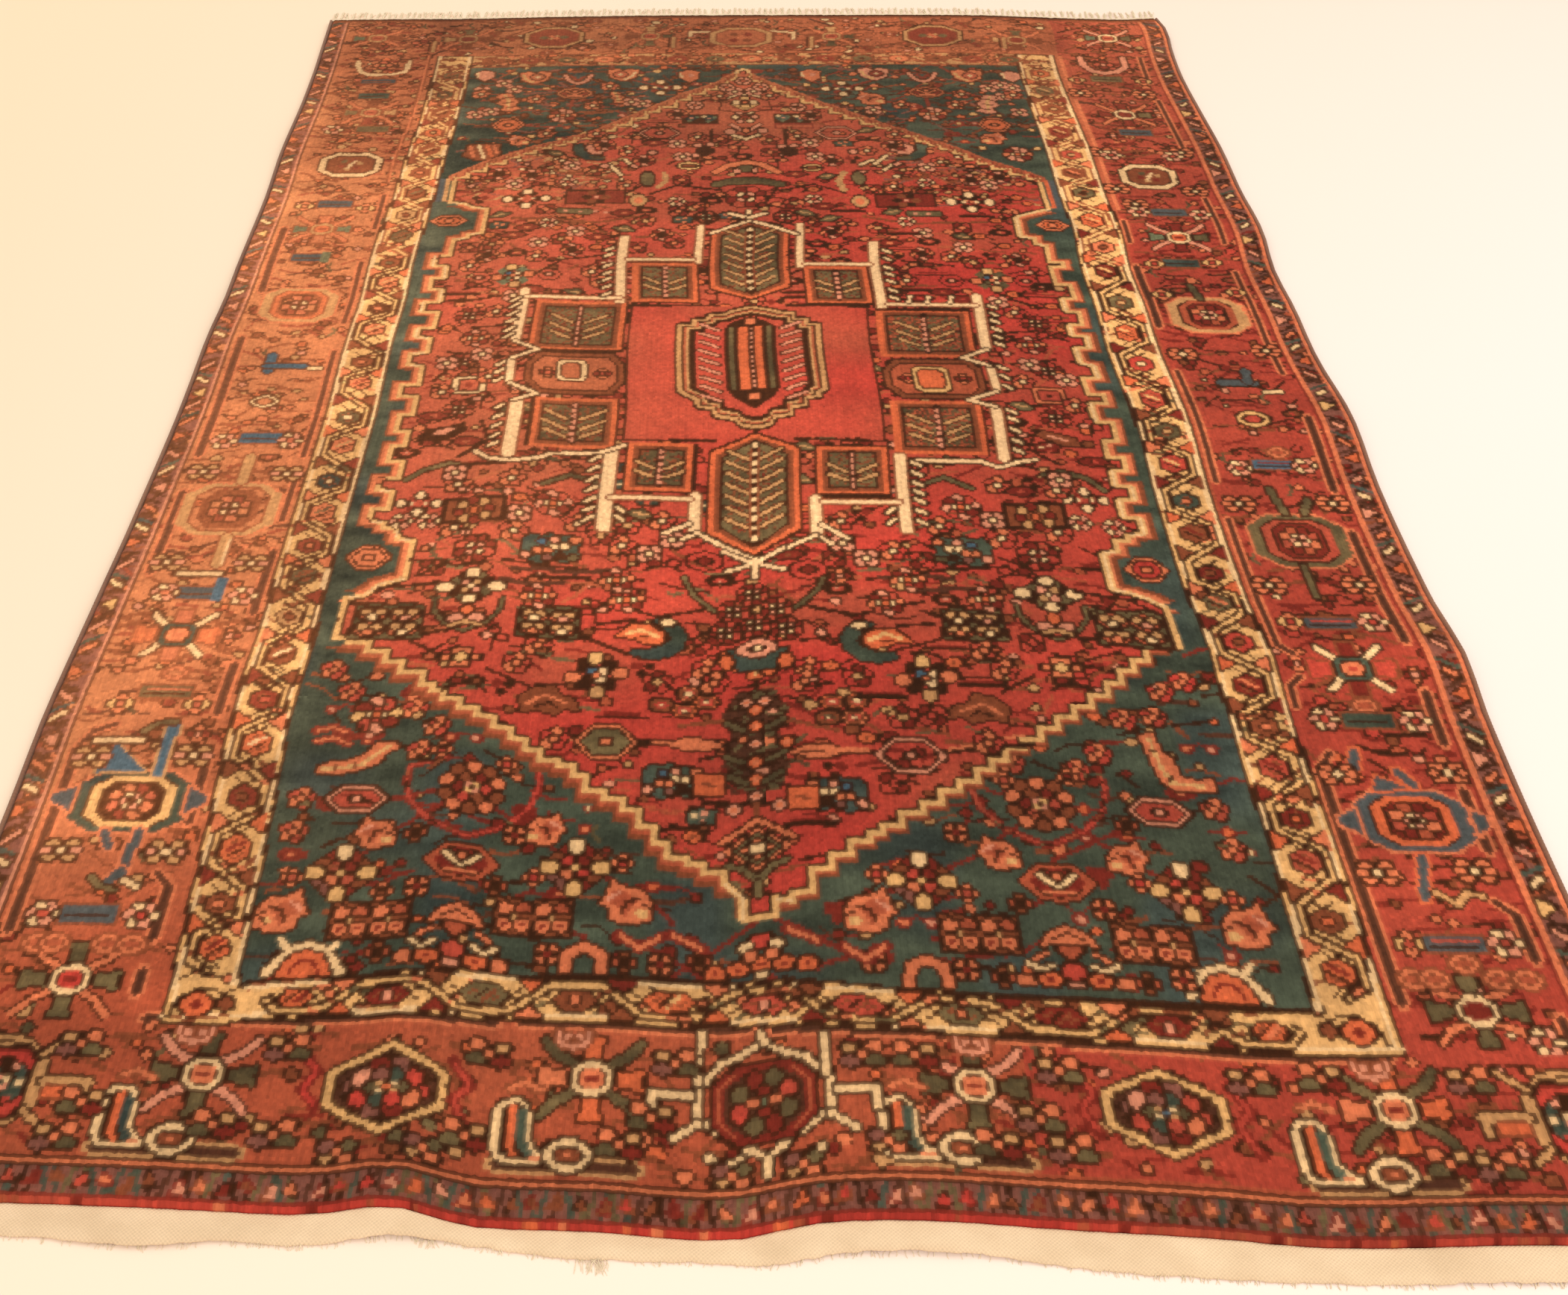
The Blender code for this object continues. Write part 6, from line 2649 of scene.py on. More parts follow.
def fading_and_painted_light(u: np.ndarray, v: np.ndarray) -> np.ndarray:
    """How far the rug is drawn towards pale madder along its left side, its right side and its far end:
    partly real paling of the dyes, partly painted light on the left and painted sheen at the far end.

    Args:
        u: The knots' columns.
        v: The knots' rows.

    Returns:
        Shares from 0 up.
    """
    left = np.exp(-((u / 105) ** 2)) * smooth_step(40, 150, v)
    left *= 1 - 0.35 * smooth_step(420, 640, v)
    right = 0.42 * smooth_step(-300, -110, -u) * smooth_step(180, 300, v)
    return 0.75 * np.maximum(left, right) + 0.5 * smooth_step(430, 660, v)


def lean_towards(colour: np.ndarray, other: Triple, share: np.ndarray) -> None:
    """Draw the knots' colours towards another one.

    Args:
        colour: The knots' colours, changed in place.
        other: The other colour.
        share: How far each knot is drawn, from 0 to 1.
    """
    colour += (np.array(other) - colour) * share[..., None]


def knot_colours(yarns: np.ndarray) -> np.ndarray:
    """The sRGB colour of each knot, from its yarn, the dyer's uneven lots, faded dyes, and painted light and
    sheen.

    Args:
        yarns: The chart's yarn numbers.

    Returns:
        Rows by columns by red, green and blue, from 0 to 1.
    """
    rows, columns = yarns.shape
    v, u = np.mgrid[0:rows, 0:columns].astype(float)
    random = np.random.default_rng(DYER_SEED)
    colour = YARN_COLOURS[yarns] / 255
    cloud = 0.12 * soft_noise(random, yarns.shape, (14, 9))
    shade = np.ones(yarns.shape)
    paler = np.zeros(yarns.shape)
    for patch in DYE_AND_LIGHT_PATCHES:
        share = patch.share(u, v)
        shade *= 1 + (patch.shade - 1) * share
        paler += patch.fade * share
    blue = np.clip(1.7 * soft_noise(random, yarns.shape, (30, 20)), 0, 1) * (yarns == YARN_NUMBER["n"])
    lean_towards(colour, INDIGO, 0.3 * blue)
    red = yarns == YARN_NUMBER["r"]
    lots = soft_noise(np.random.default_rng(RED_LOT_SEED), yarns.shape, (26, 11))
    lean_towards(colour, CRIMSON_LOT, 0.5 * np.clip(1.6 * lots - 0.1, 0, 1) * red)
    lean_towards(colour, BROWN_LOT, 0.45 * np.clip(-1.6 * lots - 0.1, 0, 1) * red)
    # Knots are drawn paler by faded dyes, by painted light on the left side and by painted sheen at the far
    # end.
    fade = np.clip(fading_and_painted_light(u, v) + cloud + paler, 0, 1) * YARN_FADES[yarns]
    lean_towards(colour, FADED_AND_LIT_MADDER, fade)
    lot = 1 + 0.05 * soft_noise(random, yarns.shape, (70, 1))
    lot += 0.05 * soft_noise(random, yarns.shape, (40, 28))
    single = 1 + random.normal(0, 0.06, yarns.shape)
    dark = (yarns == YARN_NUMBER["n"]) | (yarns == YARN_NUMBER["v"])
    streaks = 0.22 * soft_noise(random, yarns.shape, (90, 16))
    streaks += 0.12 * soft_noise(random, yarns.shape, (200, 60))
    single += dark * streaks
    near = 0.94 + 0.06 * smooth_step(10, 90, v)
    return np.clip(colour * (lot * single * near * shade)[..., None], 0, 1)


def to_linear(colour: np.ndarray) -> np.ndarray:
    """Linear light for sRGB values."""
    return np.where(colour <= 0.04045, colour / 12.92, ((colour + 0.055) / 1.055) ** 2.4)


# ---------------------------------------------------------------- shader nodes


@dataclass(frozen=True)
class Value:
    """A number socket. Arithmetic on it adds Math nodes."""

    sheet: "NodeSheet"
    socket: bpy.types.NodeSocket

    def _math(self, operation: str, first: Number, second: Number) -> "Value":
        """One Math node of two values."""
        return self.sheet.add("ShaderNodeMath", {"operation": operation}, {0: first, 1: second})

    def __add__(self, other: Number) -> "Value":
        """Sum."""
        return self._math("ADD", self, other)

    def __radd__(self, other: Number) -> "Value":
        """Sum, reflected."""
        return self._math("ADD", other, self)

    def __sub__(self, other: Number) -> "Value":
        """Difference."""
        return self._math("SUBTRACT", self, other)

    def __rsub__(self, other: Number) -> "Value":
        """Difference, reflected."""
        return self._math("SUBTRACT", other, self)

    def __mul__(self, other: Number) -> "Value":
        """Product."""
        return self._math("MULTIPLY", self, other)

    def __rmul__(self, other: Number) -> "Value":
        """Product, reflected."""
        return self._math("MULTIPLY", other, self)

    def sine(self) -> "Value":
        """Sine of the value."""
        return self.sheet.add("ShaderNodeMath", {"operation": "SINE"}, {0: self})


class NodeSheet:
    """The nodes of one material, added one after the other."""

    def __init__(self, name: str) -> None:
        """Start a material with a plain shader.

        Args:
            name: The material's name.
        """
        self.material = bpy.data.materials.new(name)
        self.material.use_nodes = True
        self.nodes = self.material.node_tree.nodes
        self.links = self.material.node_tree.links
        self.shader = self.nodes["Principled BSDF"]

    def add(self, kind: str, settings: dict, sockets: dict, output: Union[int, str] = 0) -> Value:
        """Add one node.

        Args:
            kind: The node's type.
            settings: Its own settings, set first.
            sockets: The values or links of its inputs, by name or number.
            output: Which output is returned.

        Returns:
            The output, ready for arithmetic.
        """
        node = self.nodes.new(kind)
        for key, value in settings.items():
            setattr(node, key, value)
        for key, value in sockets.items():
            self.feed(node.inputs[key], value)
        return Value(self, node.outputs[output])

    def feed(self, socket: bpy.types.NodeSocket, value: object) -> None:
        """Link or set one input.

        Args:
            socket: The input.
            value: A number socket to link, or a constant to set.
        """
        if isinstance(value, Value):
            self.links.new(value.socket, socket)
        else:
            socket.default_value = value

    def place(self) -> Value:
        """Where a point is, in the rug's frame."""
        return self.add("ShaderNodeTexCoord", {}, {}, "Object")

    def axis(self, name: str) -> Value:
        """How far a point is along X, Y or Z."""
        return self.add("ShaderNodeSeparateXYZ", {}, {0: self.place()}, name)

    def stretched(self, scale: Triple) -> Value:
        """The place, scaled on each axis."""
        return self.add("ShaderNodeVectorMath", {"operation": "MULTIPLY"}, {0: self.place(), 1: scale})

    def noise(self, scale: Triple, detail: float = 2.0) -> Value:
        """Soft noise from 0 to 1, with so many cells a metre on each axis."""
        sockets = {"Vector": self.stretched(scale), "Scale": 1.0, "Detail": detail}
        return self.add("ShaderNodeTexNoise", {}, sockets)

    def tinted(self, colour: object, strength: Value) -> Value:
        """A colour multiplied by a value."""
        settings = {"data_type": "RGBA", "blend_type": "MULTIPLY"}
        return self.add("ShaderNodeMix", settings, {"Factor": 1.0, 6: colour, 7: strength}, 2)

    def mixed(self, share: Number, first: object, second: object) -> Value:
        """One colour turning into another."""
        return self.add("ShaderNodeMix", {"data_type": "RGBA"}, {"Factor": share, 6: first, 7: second}, 2)

    def finish(
        self, colour: Value, height: Value, bump: float, depth: float, **constants: float
    ) -> bpy.types.Material:
        """Wire the shader.

        Args:
            colour: The base colour.
            height: The relief, from 0 to 1.
            bump: Strength of the relief.
            depth: Height of the relief, in metres.
            constants: Values of the shader's own sockets, by name with _ for a space.

        Returns:
            The finished material.
        """
        normal = self.add("ShaderNodeBump", {}, {"Strength": bump, "Distance": depth, "Height": height})
        self.feed(self.shader.inputs["Base Color"], colour)
        self.feed(self.shader.inputs["Normal"], normal)
        for key, value in constants.items():
            self.shader.inputs[key.replace("_", " ")].default_value = value
        return self.material


@dataclass(frozen=True)
class PileFinish:
    """Cut wool pile: fine tips, rows across, ribs along, and a soft uneven wear."""

    name: str = "knotted_wool_pile"
    fibre: Triple = (620.0, 210.0, 400.0)
    rib: Triple = (330.0, 9.0, 1.0)
    tuft: Triple = (330.0, 300.0, 1.0)
    wear: Triple = (9.0, 7.0, 1.0)
    bump: float = 0.65
    relief: float = 0.0011

    def material(self) -> bpy.types.Material:
        """Build the finish.

        Returns:
            The material.
        """
        sheet = NodeSheet(self.name)
        yarn = sheet.add("ShaderNodeVertexColor", {"layer_name": KNOT_COLOUR}, {}, "Color")
        fibre = sheet.noise(self.fibre, 3.0)
        rib = sheet.noise(self.rib, 1.0)
        tuft = sheet.noise(self.tuft, 1.0)
        wear = sheet.noise(self.wear, 3.0)
        shade = (fibre * 0.34 + 0.83) * (rib * 0.36 + 0.82) * (wear * 0.22 + 0.89)
        colour = sheet.tinted(yarn, shade)
        height = fibre * 0.45 + rib * 0.35 + tuft * 0.35
        return sheet.finish(
            colour, height, self.bump, self.relief, Roughness=0.9, Sheen_Weight=0.02,
            Sheen_Roughness=0.5, Specular_IOR_Level=0.06,
        )


@dataclass(frozen=True)
class BackFinish:
    """The flat back of the knots: each row a ridge, dulled by the cotton between."""

    name: str = "knotted_wool_back"
    rows_a_metre: float = 312.0
    grain: Triple = (520.0, 520.0, 520.0)
    cotton: Colour = (0.52, 0.38, 0.25, 1)
    cotton_share: float = 0.22
    bump: float = 0.6
    relief: float = 0.0006

    def material(self) -> bpy.types.Material:
        """Build the finish.

        Returns:
            The material.
        """
        sheet = NodeSheet(self.name)
        yarn = sheet.add("ShaderNodeVertexColor", {"layer_name": KNOT_COLOUR}, {}, "Color")
        along = sheet.axis("Y")
        ridge = (along * (self.rows_a_metre * 2 * math.pi)).sine() * 0.5 + 0.5
        speckle = sheet.noise(self.grain, 2.0)
        cotton = sheet.mixed(self.cotton_share, yarn, self.cotton)
        colour = sheet.tinted(cotton, ridge * 0.3 + speckle * 0.3 + 0.6)
        height = ridge * 0.6 + speckle * 0.4
        return sheet.finish(colour, height, self.bump, self.relief, Roughness=0.9)


@dataclass(frozen=True)
class CordFinish:
    """Dark wool wrapped over the outermost warps, turn beside turn."""

    name: str = "overcast_wool_wraps"
    colour: Colour = (0.13, 0.042, 0.026, 1)
    worn: Colour = (0.30, 0.15, 0.085, 1)
    wear: Triple = (14.0, 9.0, 1.0)
    fibre: Triple = (500.0, 900.0, 500.0)
    bump: float = 0.5
    relief: float = 0.0007

    def material(self) -> bpy.types.Material:
        """Build the finish.

        Returns:
            The material.
        """
        sheet = NodeSheet(self.name)
        wear = sheet.noise(self.wear, 3.0)
        fibre = sheet.noise(self.fibre, 2.0)
        colour = sheet.tinted(sheet.mixed(wear, self.colour, self.worn), fibre * 0.6 + 0.7)
        return sheet.finish(colour, fibre, self.bump, self.relief, Roughness=0.9, Sheen_Weight=0.15)


@dataclass(frozen=True)
class CottonFinish:
    """Undyed cotton, woven plain or left as threads.

    Args:
        name: The material's name.
        colour: Its clean colour.
        soiled: Its colour where it is dusty.
        weft: Weft rows a metre, and warps a metre; no weave at zero.
        dust: Cells of the dust a metre, on each axis.
        fibre: Cells of the fibres a metre, on each axis.
        bump: Strength of the relief.
        relief: Height of the relief, in metres.
    """

    name: str
    colour: Colour
    soiled: Colour
    weft: tuple[float, float] = (0.0, 0.0)
    dust: Triple = (22.0, 30.0, 30.0)
    fibre: Triple = (420.0, 700.0, 500.0)
    bump: float = 0.6
    relief: float = 0.0009

    def material(self) -> bpy.types.Material:
        """Build the finish.

        Returns:
            The material.
        """
        sheet = NodeSheet(self.name)
        dust = sheet.noise(self.dust, 4.0)
        fibre = sheet.noise(self.fibre, 3.0)
        height = fibre
        if self.weft[0]:
            across, along = sheet.axis("X"), sheet.axis("Y")
            across_wave = (across * (self.weft[1] * 2 * math.pi)).sine()
            along_wave = (along * (self.weft[0] * 2 * math.pi)).sine()
            height = across_wave * along_wave * 0.3 + 0.5 + fibre * 0.4
        colour = sheet.tinted(sheet.mixed(dust, self.colour, self.soiled), height * 0.35 + 0.78)
        return sheet.finish(colour, height, self.bump, self.relief, Roughness=0.92, Sheen_Weight=0.1)


# ---------------------------------------------------------------- meshes


@dataclass
class MeshGrid:
    """A grid of points, by rows and columns, that becomes one piece of cloth."""

    x: np.ndarray
    y: np.ndarray
    z: np.ndarray

    def build(self, name: str, closed: bool = False, flip: bool = False) -> bpy.types.Object:
        """Make the piece.

        Args:
            name: The piece's name.
            closed: Whether the last column joins the first one.
            flip: Whether the faces look the other way.

        Returns:
            The piece, with its bake map laid flat over rows and columns.
        """
        rows, columns = self.x.shape
        points = np.stack([self.x, self.y, self.z], axis=-1).reshape(-1, 3)
        numbers = np.arange(rows * columns).reshape(rows, columns)
        if closed:
            numbers = np.hstack([numbers, numbers[:, :1]])
        corners = [numbers[:-1, :-1], numbers[:-1, 1:], numbers[1:, 1:], numbers[1:, :-1]]
        if flip:
            corners = corners[::-1]
        faces = np.stack(corners, axis=-1).reshape(-1, 4)
        mesh = bpy.data.meshes.new(name)
        mesh.from_pydata(points.tolist(), [], faces.tolist())
        mesh.polygons.foreach_set("use_smooth", np.ones(len(faces), bool))
        self._bake_map(mesh, numbers.shape, flip)
        piece = bpy.data.objects.new(name, mesh)
        bpy.context.scene.collection.objects.link(piece)
        return piece

    @staticmethod
    def _bake_map(mesh: bpy.types.Mesh, shape: tuple[int, int], flip: bool) -> None:
        """Lay a map over the grid, one cell a face.

        Args:
            mesh: The grid's mesh.
            shape: Rows and columns of its points.
            flip: Whether its faces look the other way.
        """
        rows, columns = shape
        v, u = np.mgrid[0:rows, 0:columns].astype(float)
        u = BAKE_MARGIN + (1 - 2 * BAKE_MARGIN) * u / (columns - 1)
        v = BAKE_MARGIN + (1 - 2 * BAKE_MARGIN) * v / (rows - 1)
        spots = np.stack([u, v], axis=-1)
        corners = [spots[:-1, :-1], spots[:-1, 1:], spots[1:, 1:], spots[1:, :-1]]
        if flip:
            corners = corners[::-1]
        layer = mesh.uv_layers.new(name=BAKE_MAP)
        layer.data.foreach_set("uv", np.stack(corners, axis=2).reshape(-1))


def colour_faces(piece: bpy.types.Object, colours: np.ndarray, blend: float, flip: bool = False) -> None:
    """Give each face of a grid piece its own colour, a little blended into its neighbours' at its corners.

    Args:
        piece: The piece.
        colours: Rows by columns by linear red, green and blue.
        blend: Share of the neighbours' colour at a corner.
        flip: Whether the piece's faces look the other way.
    """
    rows, columns, _ = colours.shape
    around = np.pad(colours, ((1, 1), (1, 1), (0, 0)), mode="edge")
    shared = (around[:-1, :-1] + around[:-1, 1:] + around[1:, :-1] + around[1:, 1:]) / 4
    places_round = (shared[:-1, :-1], shared[:-1, 1:], shared[1:, 1:], shared[1:, :-1])
    corners = np.ones((rows, columns, 4, 4), np.float32)
    for number, place in enumerate(places_round[::-1] if flip else places_round):
        corners[:, :, number, :3] = colours * (1 - blend) + place * blend
    layer = piece.data.color_attributes.new(KNOT_COLOUR, "FLOAT_COLOR", "CORNER")
    layer.data.foreach_set("color", corners.reshape(-1))


def dress(
    piece: bpy.types.Object, material: bpy.types.Material, slot: str, *nodes: str
) -> bpy.types.Object:
    """Put a finish on a piece and hang it on the rug's body.

    Args:
        piece: The piece.
        material: Its finish.
        slot: Not used.
        nodes: The solids that it stands for.

    Returns:
        The piece.
    """
    piece.data.materials.append(material)
    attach(piece, ROOT_BODY)
    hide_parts(*nodes)
    log.info("%s: %d faces", piece.name, len(piece.data.polygons))
    return piece


@dataclass
class PileCloth:
    """The knotted cloth, one face a knot on top, in blocks, and its back."""

    chart: Chart
    thickness: float = 0.0085
    shoulder: float = 0.004
    shoulder_drop: float = 0.0028
    side: float = 0.0058
    hem_height: float = 0.0009
    back_height: float = 0.0005
    back_inset: Point = (0.0004, 0.0005)
    blocks_across: int = 2
    blocks_along: int = 4
    back_step: tuple[int, int] = (3, 2)
    blend: float = 0.5
    back_blend: float = 0.3
    knot_rise: float = 0.00016
    knot_shift: Point = (0.00028, 0.00034)
    unevenness: float = 0.0003
    random: np.random.Generator = field(default_factory=lambda: np.random.default_rng(3))

    def grid(self) -> tuple[np.ndarray, np.ndarray, np.ndarray]:
        """Places of the knots' corners, with one more row or column down each edge.

        Returns:
            Their x, y and z, from the origin.
        """
        rows, columns = self.chart.rows, self.chart.columns
        across = np.arange(columns + 1) * RUG_WIDTH / columns
        across = across[(across > self.side) & (across < RUG_WIDTH - self.side)]
        across[0], across[-1] = self.side, RUG_WIDTH - self.side
        along = np.arange(rows + 1) * RUG_LENGTH / rows
        v, u = np.meshgrid(along, across, indexing="ij")
        inward = np.minimum(
            np.minimum(u - self.side, RUG_WIDTH - self.side - u), np.minimum(v, RUG_LENGTH - v)
        )
        nearness = np.clip(1 - inward / self.shoulder, 0, 1)
        x, y = floor_points(u, v)
        lift = ripple_lift(u, v)
        z = lift + self.thickness - self.shoulder_drop * nearness**2
        z += self.random.normal(0, self.knot_rise, u.shape)
        z += self.unevenness * (soft_noise(self.random, u.shape, (160, 110)) - 1)
        free = inward > 0
        x += free * self.random.normal(0, self.knot_shift[0], u.shape)
        y += free * self.random.normal(0, self.knot_shift[1], u.shape)
        x, y, z = (np.pad(values, 1, mode="edge") for values in (x, y, z))
        low = np.pad(lift, 1, mode="edge") + self.hem_height
        for edge in (np.s_[0, :], np.s_[-1, :], np.s_[:, 0], np.s_[:, -1]):
            z[edge] = low[edge]
        return x, y, z

    def build(self, colours: np.ndarray) -> list[bpy.types.Object]:
        """Make the pile's blocks.

        Args:
            colours: Each knot's linear colour.

        Returns:
            The blocks, near left one first.
        """
        x, y, z = self.grid()
        rows, columns = x.shape
        skipped = (self.chart.columns - (columns - 3)) // 2
        kept = colours[:, skipped : skipped + columns - 3]
        kept = np.pad(kept, ((1, 1), (1, 1), (0, 0)), mode="edge")
        finish = PileFinish().material()
        row_cuts = np.linspace(0, rows - 1, self.blocks_along + 1).astype(int)
        column_cuts = np.linspace(0, columns - 1, self.blocks_across + 1).astype(int)
        blocks = []
        for row, (low_v, high_v) in enumerate(zip(row_cuts, row_cuts[1:])):
            for column, (low_u, high_u) in enumerate(zip(column_cuts, column_cuts[1:])):
                part = np.s_[low_v : high_v + 1, low_u : high_u + 1]
                name = f"pile_{('left', 'right')[column]}_{row + 1}"
                piece = MeshGrid(x[part], y[part], z[part]).build(name)
                colour_faces(piece, kept[low_v:high_v, low_u:high_u], self.blend)
                dress(piece, finish, "knotted_wool", "pile_cloth")
                blocks.append(piece)
        return blocks

    def build_back(self, colours: np.ndarray) -> bpy.types.Object:
        """Make the rug's back, with the pattern seen coarser.

        Args:
            colours: Each knot's linear colour.

        Returns:
            The back.
        """
        step_v, step_u = self.back_step
        shape = (-(-self.chart.rows // step_v), -(-self.chart.columns // step_u))
        inset_u, inset_v = self.side + self.back_inset[0], self.back_inset[1]
        along = np.linspace(inset_v, RUG_LENGTH - inset_v, shape[0] + 1)
        across = np.linspace(inset_u, RUG_WIDTH - inset_u, shape[1] + 1)
        v, u = np.meshgrid(along, across, indexing="ij")
        x, y = floor_points(u, v)
        z = ripple_lift(u, v) + self.back_height
        piece = MeshGrid(x, y, z).build("rug_back", flip=True)
        seen = colours[::step_v, ::step_u][: shape[0], : shape[1]]
        colour_faces(piece, seen, self.back_blend, True)
        return dress(piece, BackFinish().material(), "knotted_wool", "pile_cloth")


@dataclass
class SideCord:
    """A cord of wool wrapped over the outermost warps along one side."""

    name: str
    node: str
    middle: float
    width: float = 0.0055
    height: float = 0.0076
    sides: int = 10
    step: float = 0.0012
    wrap: float = 0.0042
    wrap_depth: float = 0.07
    end_share: float = 0.35

    def build(self, finish: bpy.types.Material) -> bpy.types.Object:
        """Make the cord.

        Args:
            finish: The cord's wool.

        Returns:
            The cord.
        """
        along = np.arange(0, RUG_LENGTH + self.step / 2, self.step)
        angle = 2 * math.pi * (np.arange(self.sides) + 0.5) / self.sides
        v, turn = np.meshgrid(along, angle, indexing="ij")
        swell = 1 - self.wrap_depth * (0.5 + 0.5 * np.cos(2 * math.pi * v / self.wrap + turn))
        across = self.middle + self.width / 2 * np.cos(turn) * swell
        z = self.height / 2 * (1 + np.sin(turn) * swell)
        x, y = floor_points(across, v)
        z += ripple_lift(np.full_like(v, self.middle), v)
        for ring in (0, -1):
            x[ring] = x[ring].mean() + self.end_share * (x[ring] - x[ring].mean())
            z[ring] = z[ring].mean() + self.end_share * (z[ring] - z[ring].mean())
        piece = MeshGrid(x, y, z).build(self.name, closed=True, flip=True)
        return dress(piece, finish, "overcast_wool", self.node)


class WebPoint(NamedTuple):
    """A point of a web's section: its share of the width, and of the thickness."""

    share: float
    height: float


def web_section(text: str) -> tuple[WebPoint, ...]:
    """A web's closed section, written as "share,height share,height"."""
    return tuple(WebPoint(*place) for place in places(text))


# From the pile over the top to the outer edge, and back underneath.
NEAR_WEB_SECTION = web_section(
    "0,0.55 0.02,0.86 0.1,0.97 0.2,0.93 0.32,0.96 0.44,1.0 0.56,1.02 0.68,1.0 0.78,0.94 0.86,0.82"
    " 0.92,0.66 0.97,0.46 1.0,0.26 0.985,0.12 0.93,0.06 0.8,0.05 0.5,0.05 0.2,0.05 0.02,0.05"
)
FAR_WEB_SECTION = web_section(
    "0,0.7 0.06,0.95 0.3,1.0 0.6,0.95 0.9,0.9 1.0,0.5 0.97,0.08 0.5,0.08 0.03,0.08"
)


class Bunch(NamedTuple):
    """Loose ends that stand close together: their middle, spread, number and greatest length."""

    middle: float
    spread: float
    count: int
    longest: float


@dataclass
class NearWeb:
    """The near end's plain woven strip, turned under once along its outer edge."""

    thickness: float = 0.0042
    lift_lost: float = 0.4
    across_step: float = 0.0028
    loose_ends: int = 420
    wobble: float = 0.0008
    fray: float = 0.0005
    flutter: float = 0.00045
    thread_radius: float = 0.00028
    tuck: float = 0.0012
    bunches: tuple[Bunch, ...] = (Bunch(0.441, 0.004, 14, 0.007), Bunch(0.564, 0.005, 26, 0.013))
    random: np.random.Generator = field(default_factory=lambda: np.random.default_rng(8))

    def build(self) -> bpy.types.Object:
        """Make the web.

        Returns:
            The web, top and underside in one.
        """
        shares, heights = np.array(NEAR_WEB_SECTION).T
        across = np.arange(SEAM_GAP, RUG_WIDTH - SEAM_GAP, self.across_step)
        u, share = np.meshgrid(across, shares, indexing="ij")
        height = np.broadcast_to(heights, u.shape) * self.thickness
        x, inner = floor_points(u, np.zeros_like(u))
        inner -= SEAM_GAP
        outer = edge_offset(WEB_END_EDGE, u, ACROSS_STEP) - ORIGIN_ALONG
        wobble = soft_noise(self.random, (len(across), 1), (150, 1))
        flutter = soft_noise(self.random, u.shape, (170, 6))
        fray = soft_noise(self.random, (len(across), 1), (420, 1))
        y = inner + (outer - inner) * share - (self.wobble * wobble + self.fray * fray) * share
        puff = np.clip(heights, 0, 1) * (heights > 0.5)
        lift = ripple_lift(u, np.zeros_like(u)) * (1 - self.lift_lost * share)
        z = lift + height + self.flutter * flutter * puff
        piece = MeshGrid(x, y, z).build("near_web", closed=True, flip=True)
        finish = CottonFinish(
            "woven_cotton_web", (0.82, 0.62, 0.43, 1), (0.56, 0.39, 0.24, 1), (340.0, 300.0)
        )
        dress(piece, finish.material(), "woven_cotton", "web_end_near")
        return piece

    def build_loose_ends(self) -> bpy.types.Object:
        """Make the broken thread ends that stand out along its turned edge.

        Returns:
            The thread ends, in one piece.
        """
        starts = list(self.random.uniform(0.004, RUG_WIDTH - 0.004, self.loose_ends))
        lengths = list(self.random.uniform(0.0012, 0.0042, self.loose_ends))
        for bunch in self.bunches:
            starts += list(self.random.normal(bunch.middle, bunch.spread, bunch.count))
            lengths += list(self.random.uniform(0.4 * bunch.longest, bunch.longest, bunch.count))
        across = np.clip(np.array(starts), 0.003, RUG_WIDTH - 0.003)
        x, _ = floor_points(across, np.zeros_like(across))
        edge = edge_offset(WEB_END_EDGE, across, ACROSS_STEP) - ORIGIN_ALONG
        strands = []
        for number, length in enumerate(lengths):
            lean = self.random.uniform(-0.9, 0.9)
            curl = self.random.uniform(-0.5, 0.5)
            height = self.random.uniform(0.0007, 0.0026)
            line = [
                Vector(
                    (
                        float(x[number]) + length * (lean * share + curl * math.sin(2.6 * share)),
                        float(edge[number]) + self.tuck - (length + self.tuck) * share,
                        max(height * (1 - share), 0.0004),
                    )
                )
                for share in (0.0, 0.35, 0.7, 1.0)
            ]
            strands.append((line, self.thread_radius))
        piece = thread_mesh("near_web_loose_ends", strands, 4)
        finish = CottonFinish("loose_cotton_ends", (0.93, 0.79, 0.58, 1), (0.78, 0.62, 0.44, 1))
        return dress(piece, finish.material(), "woven_cotton", "web_end_near")


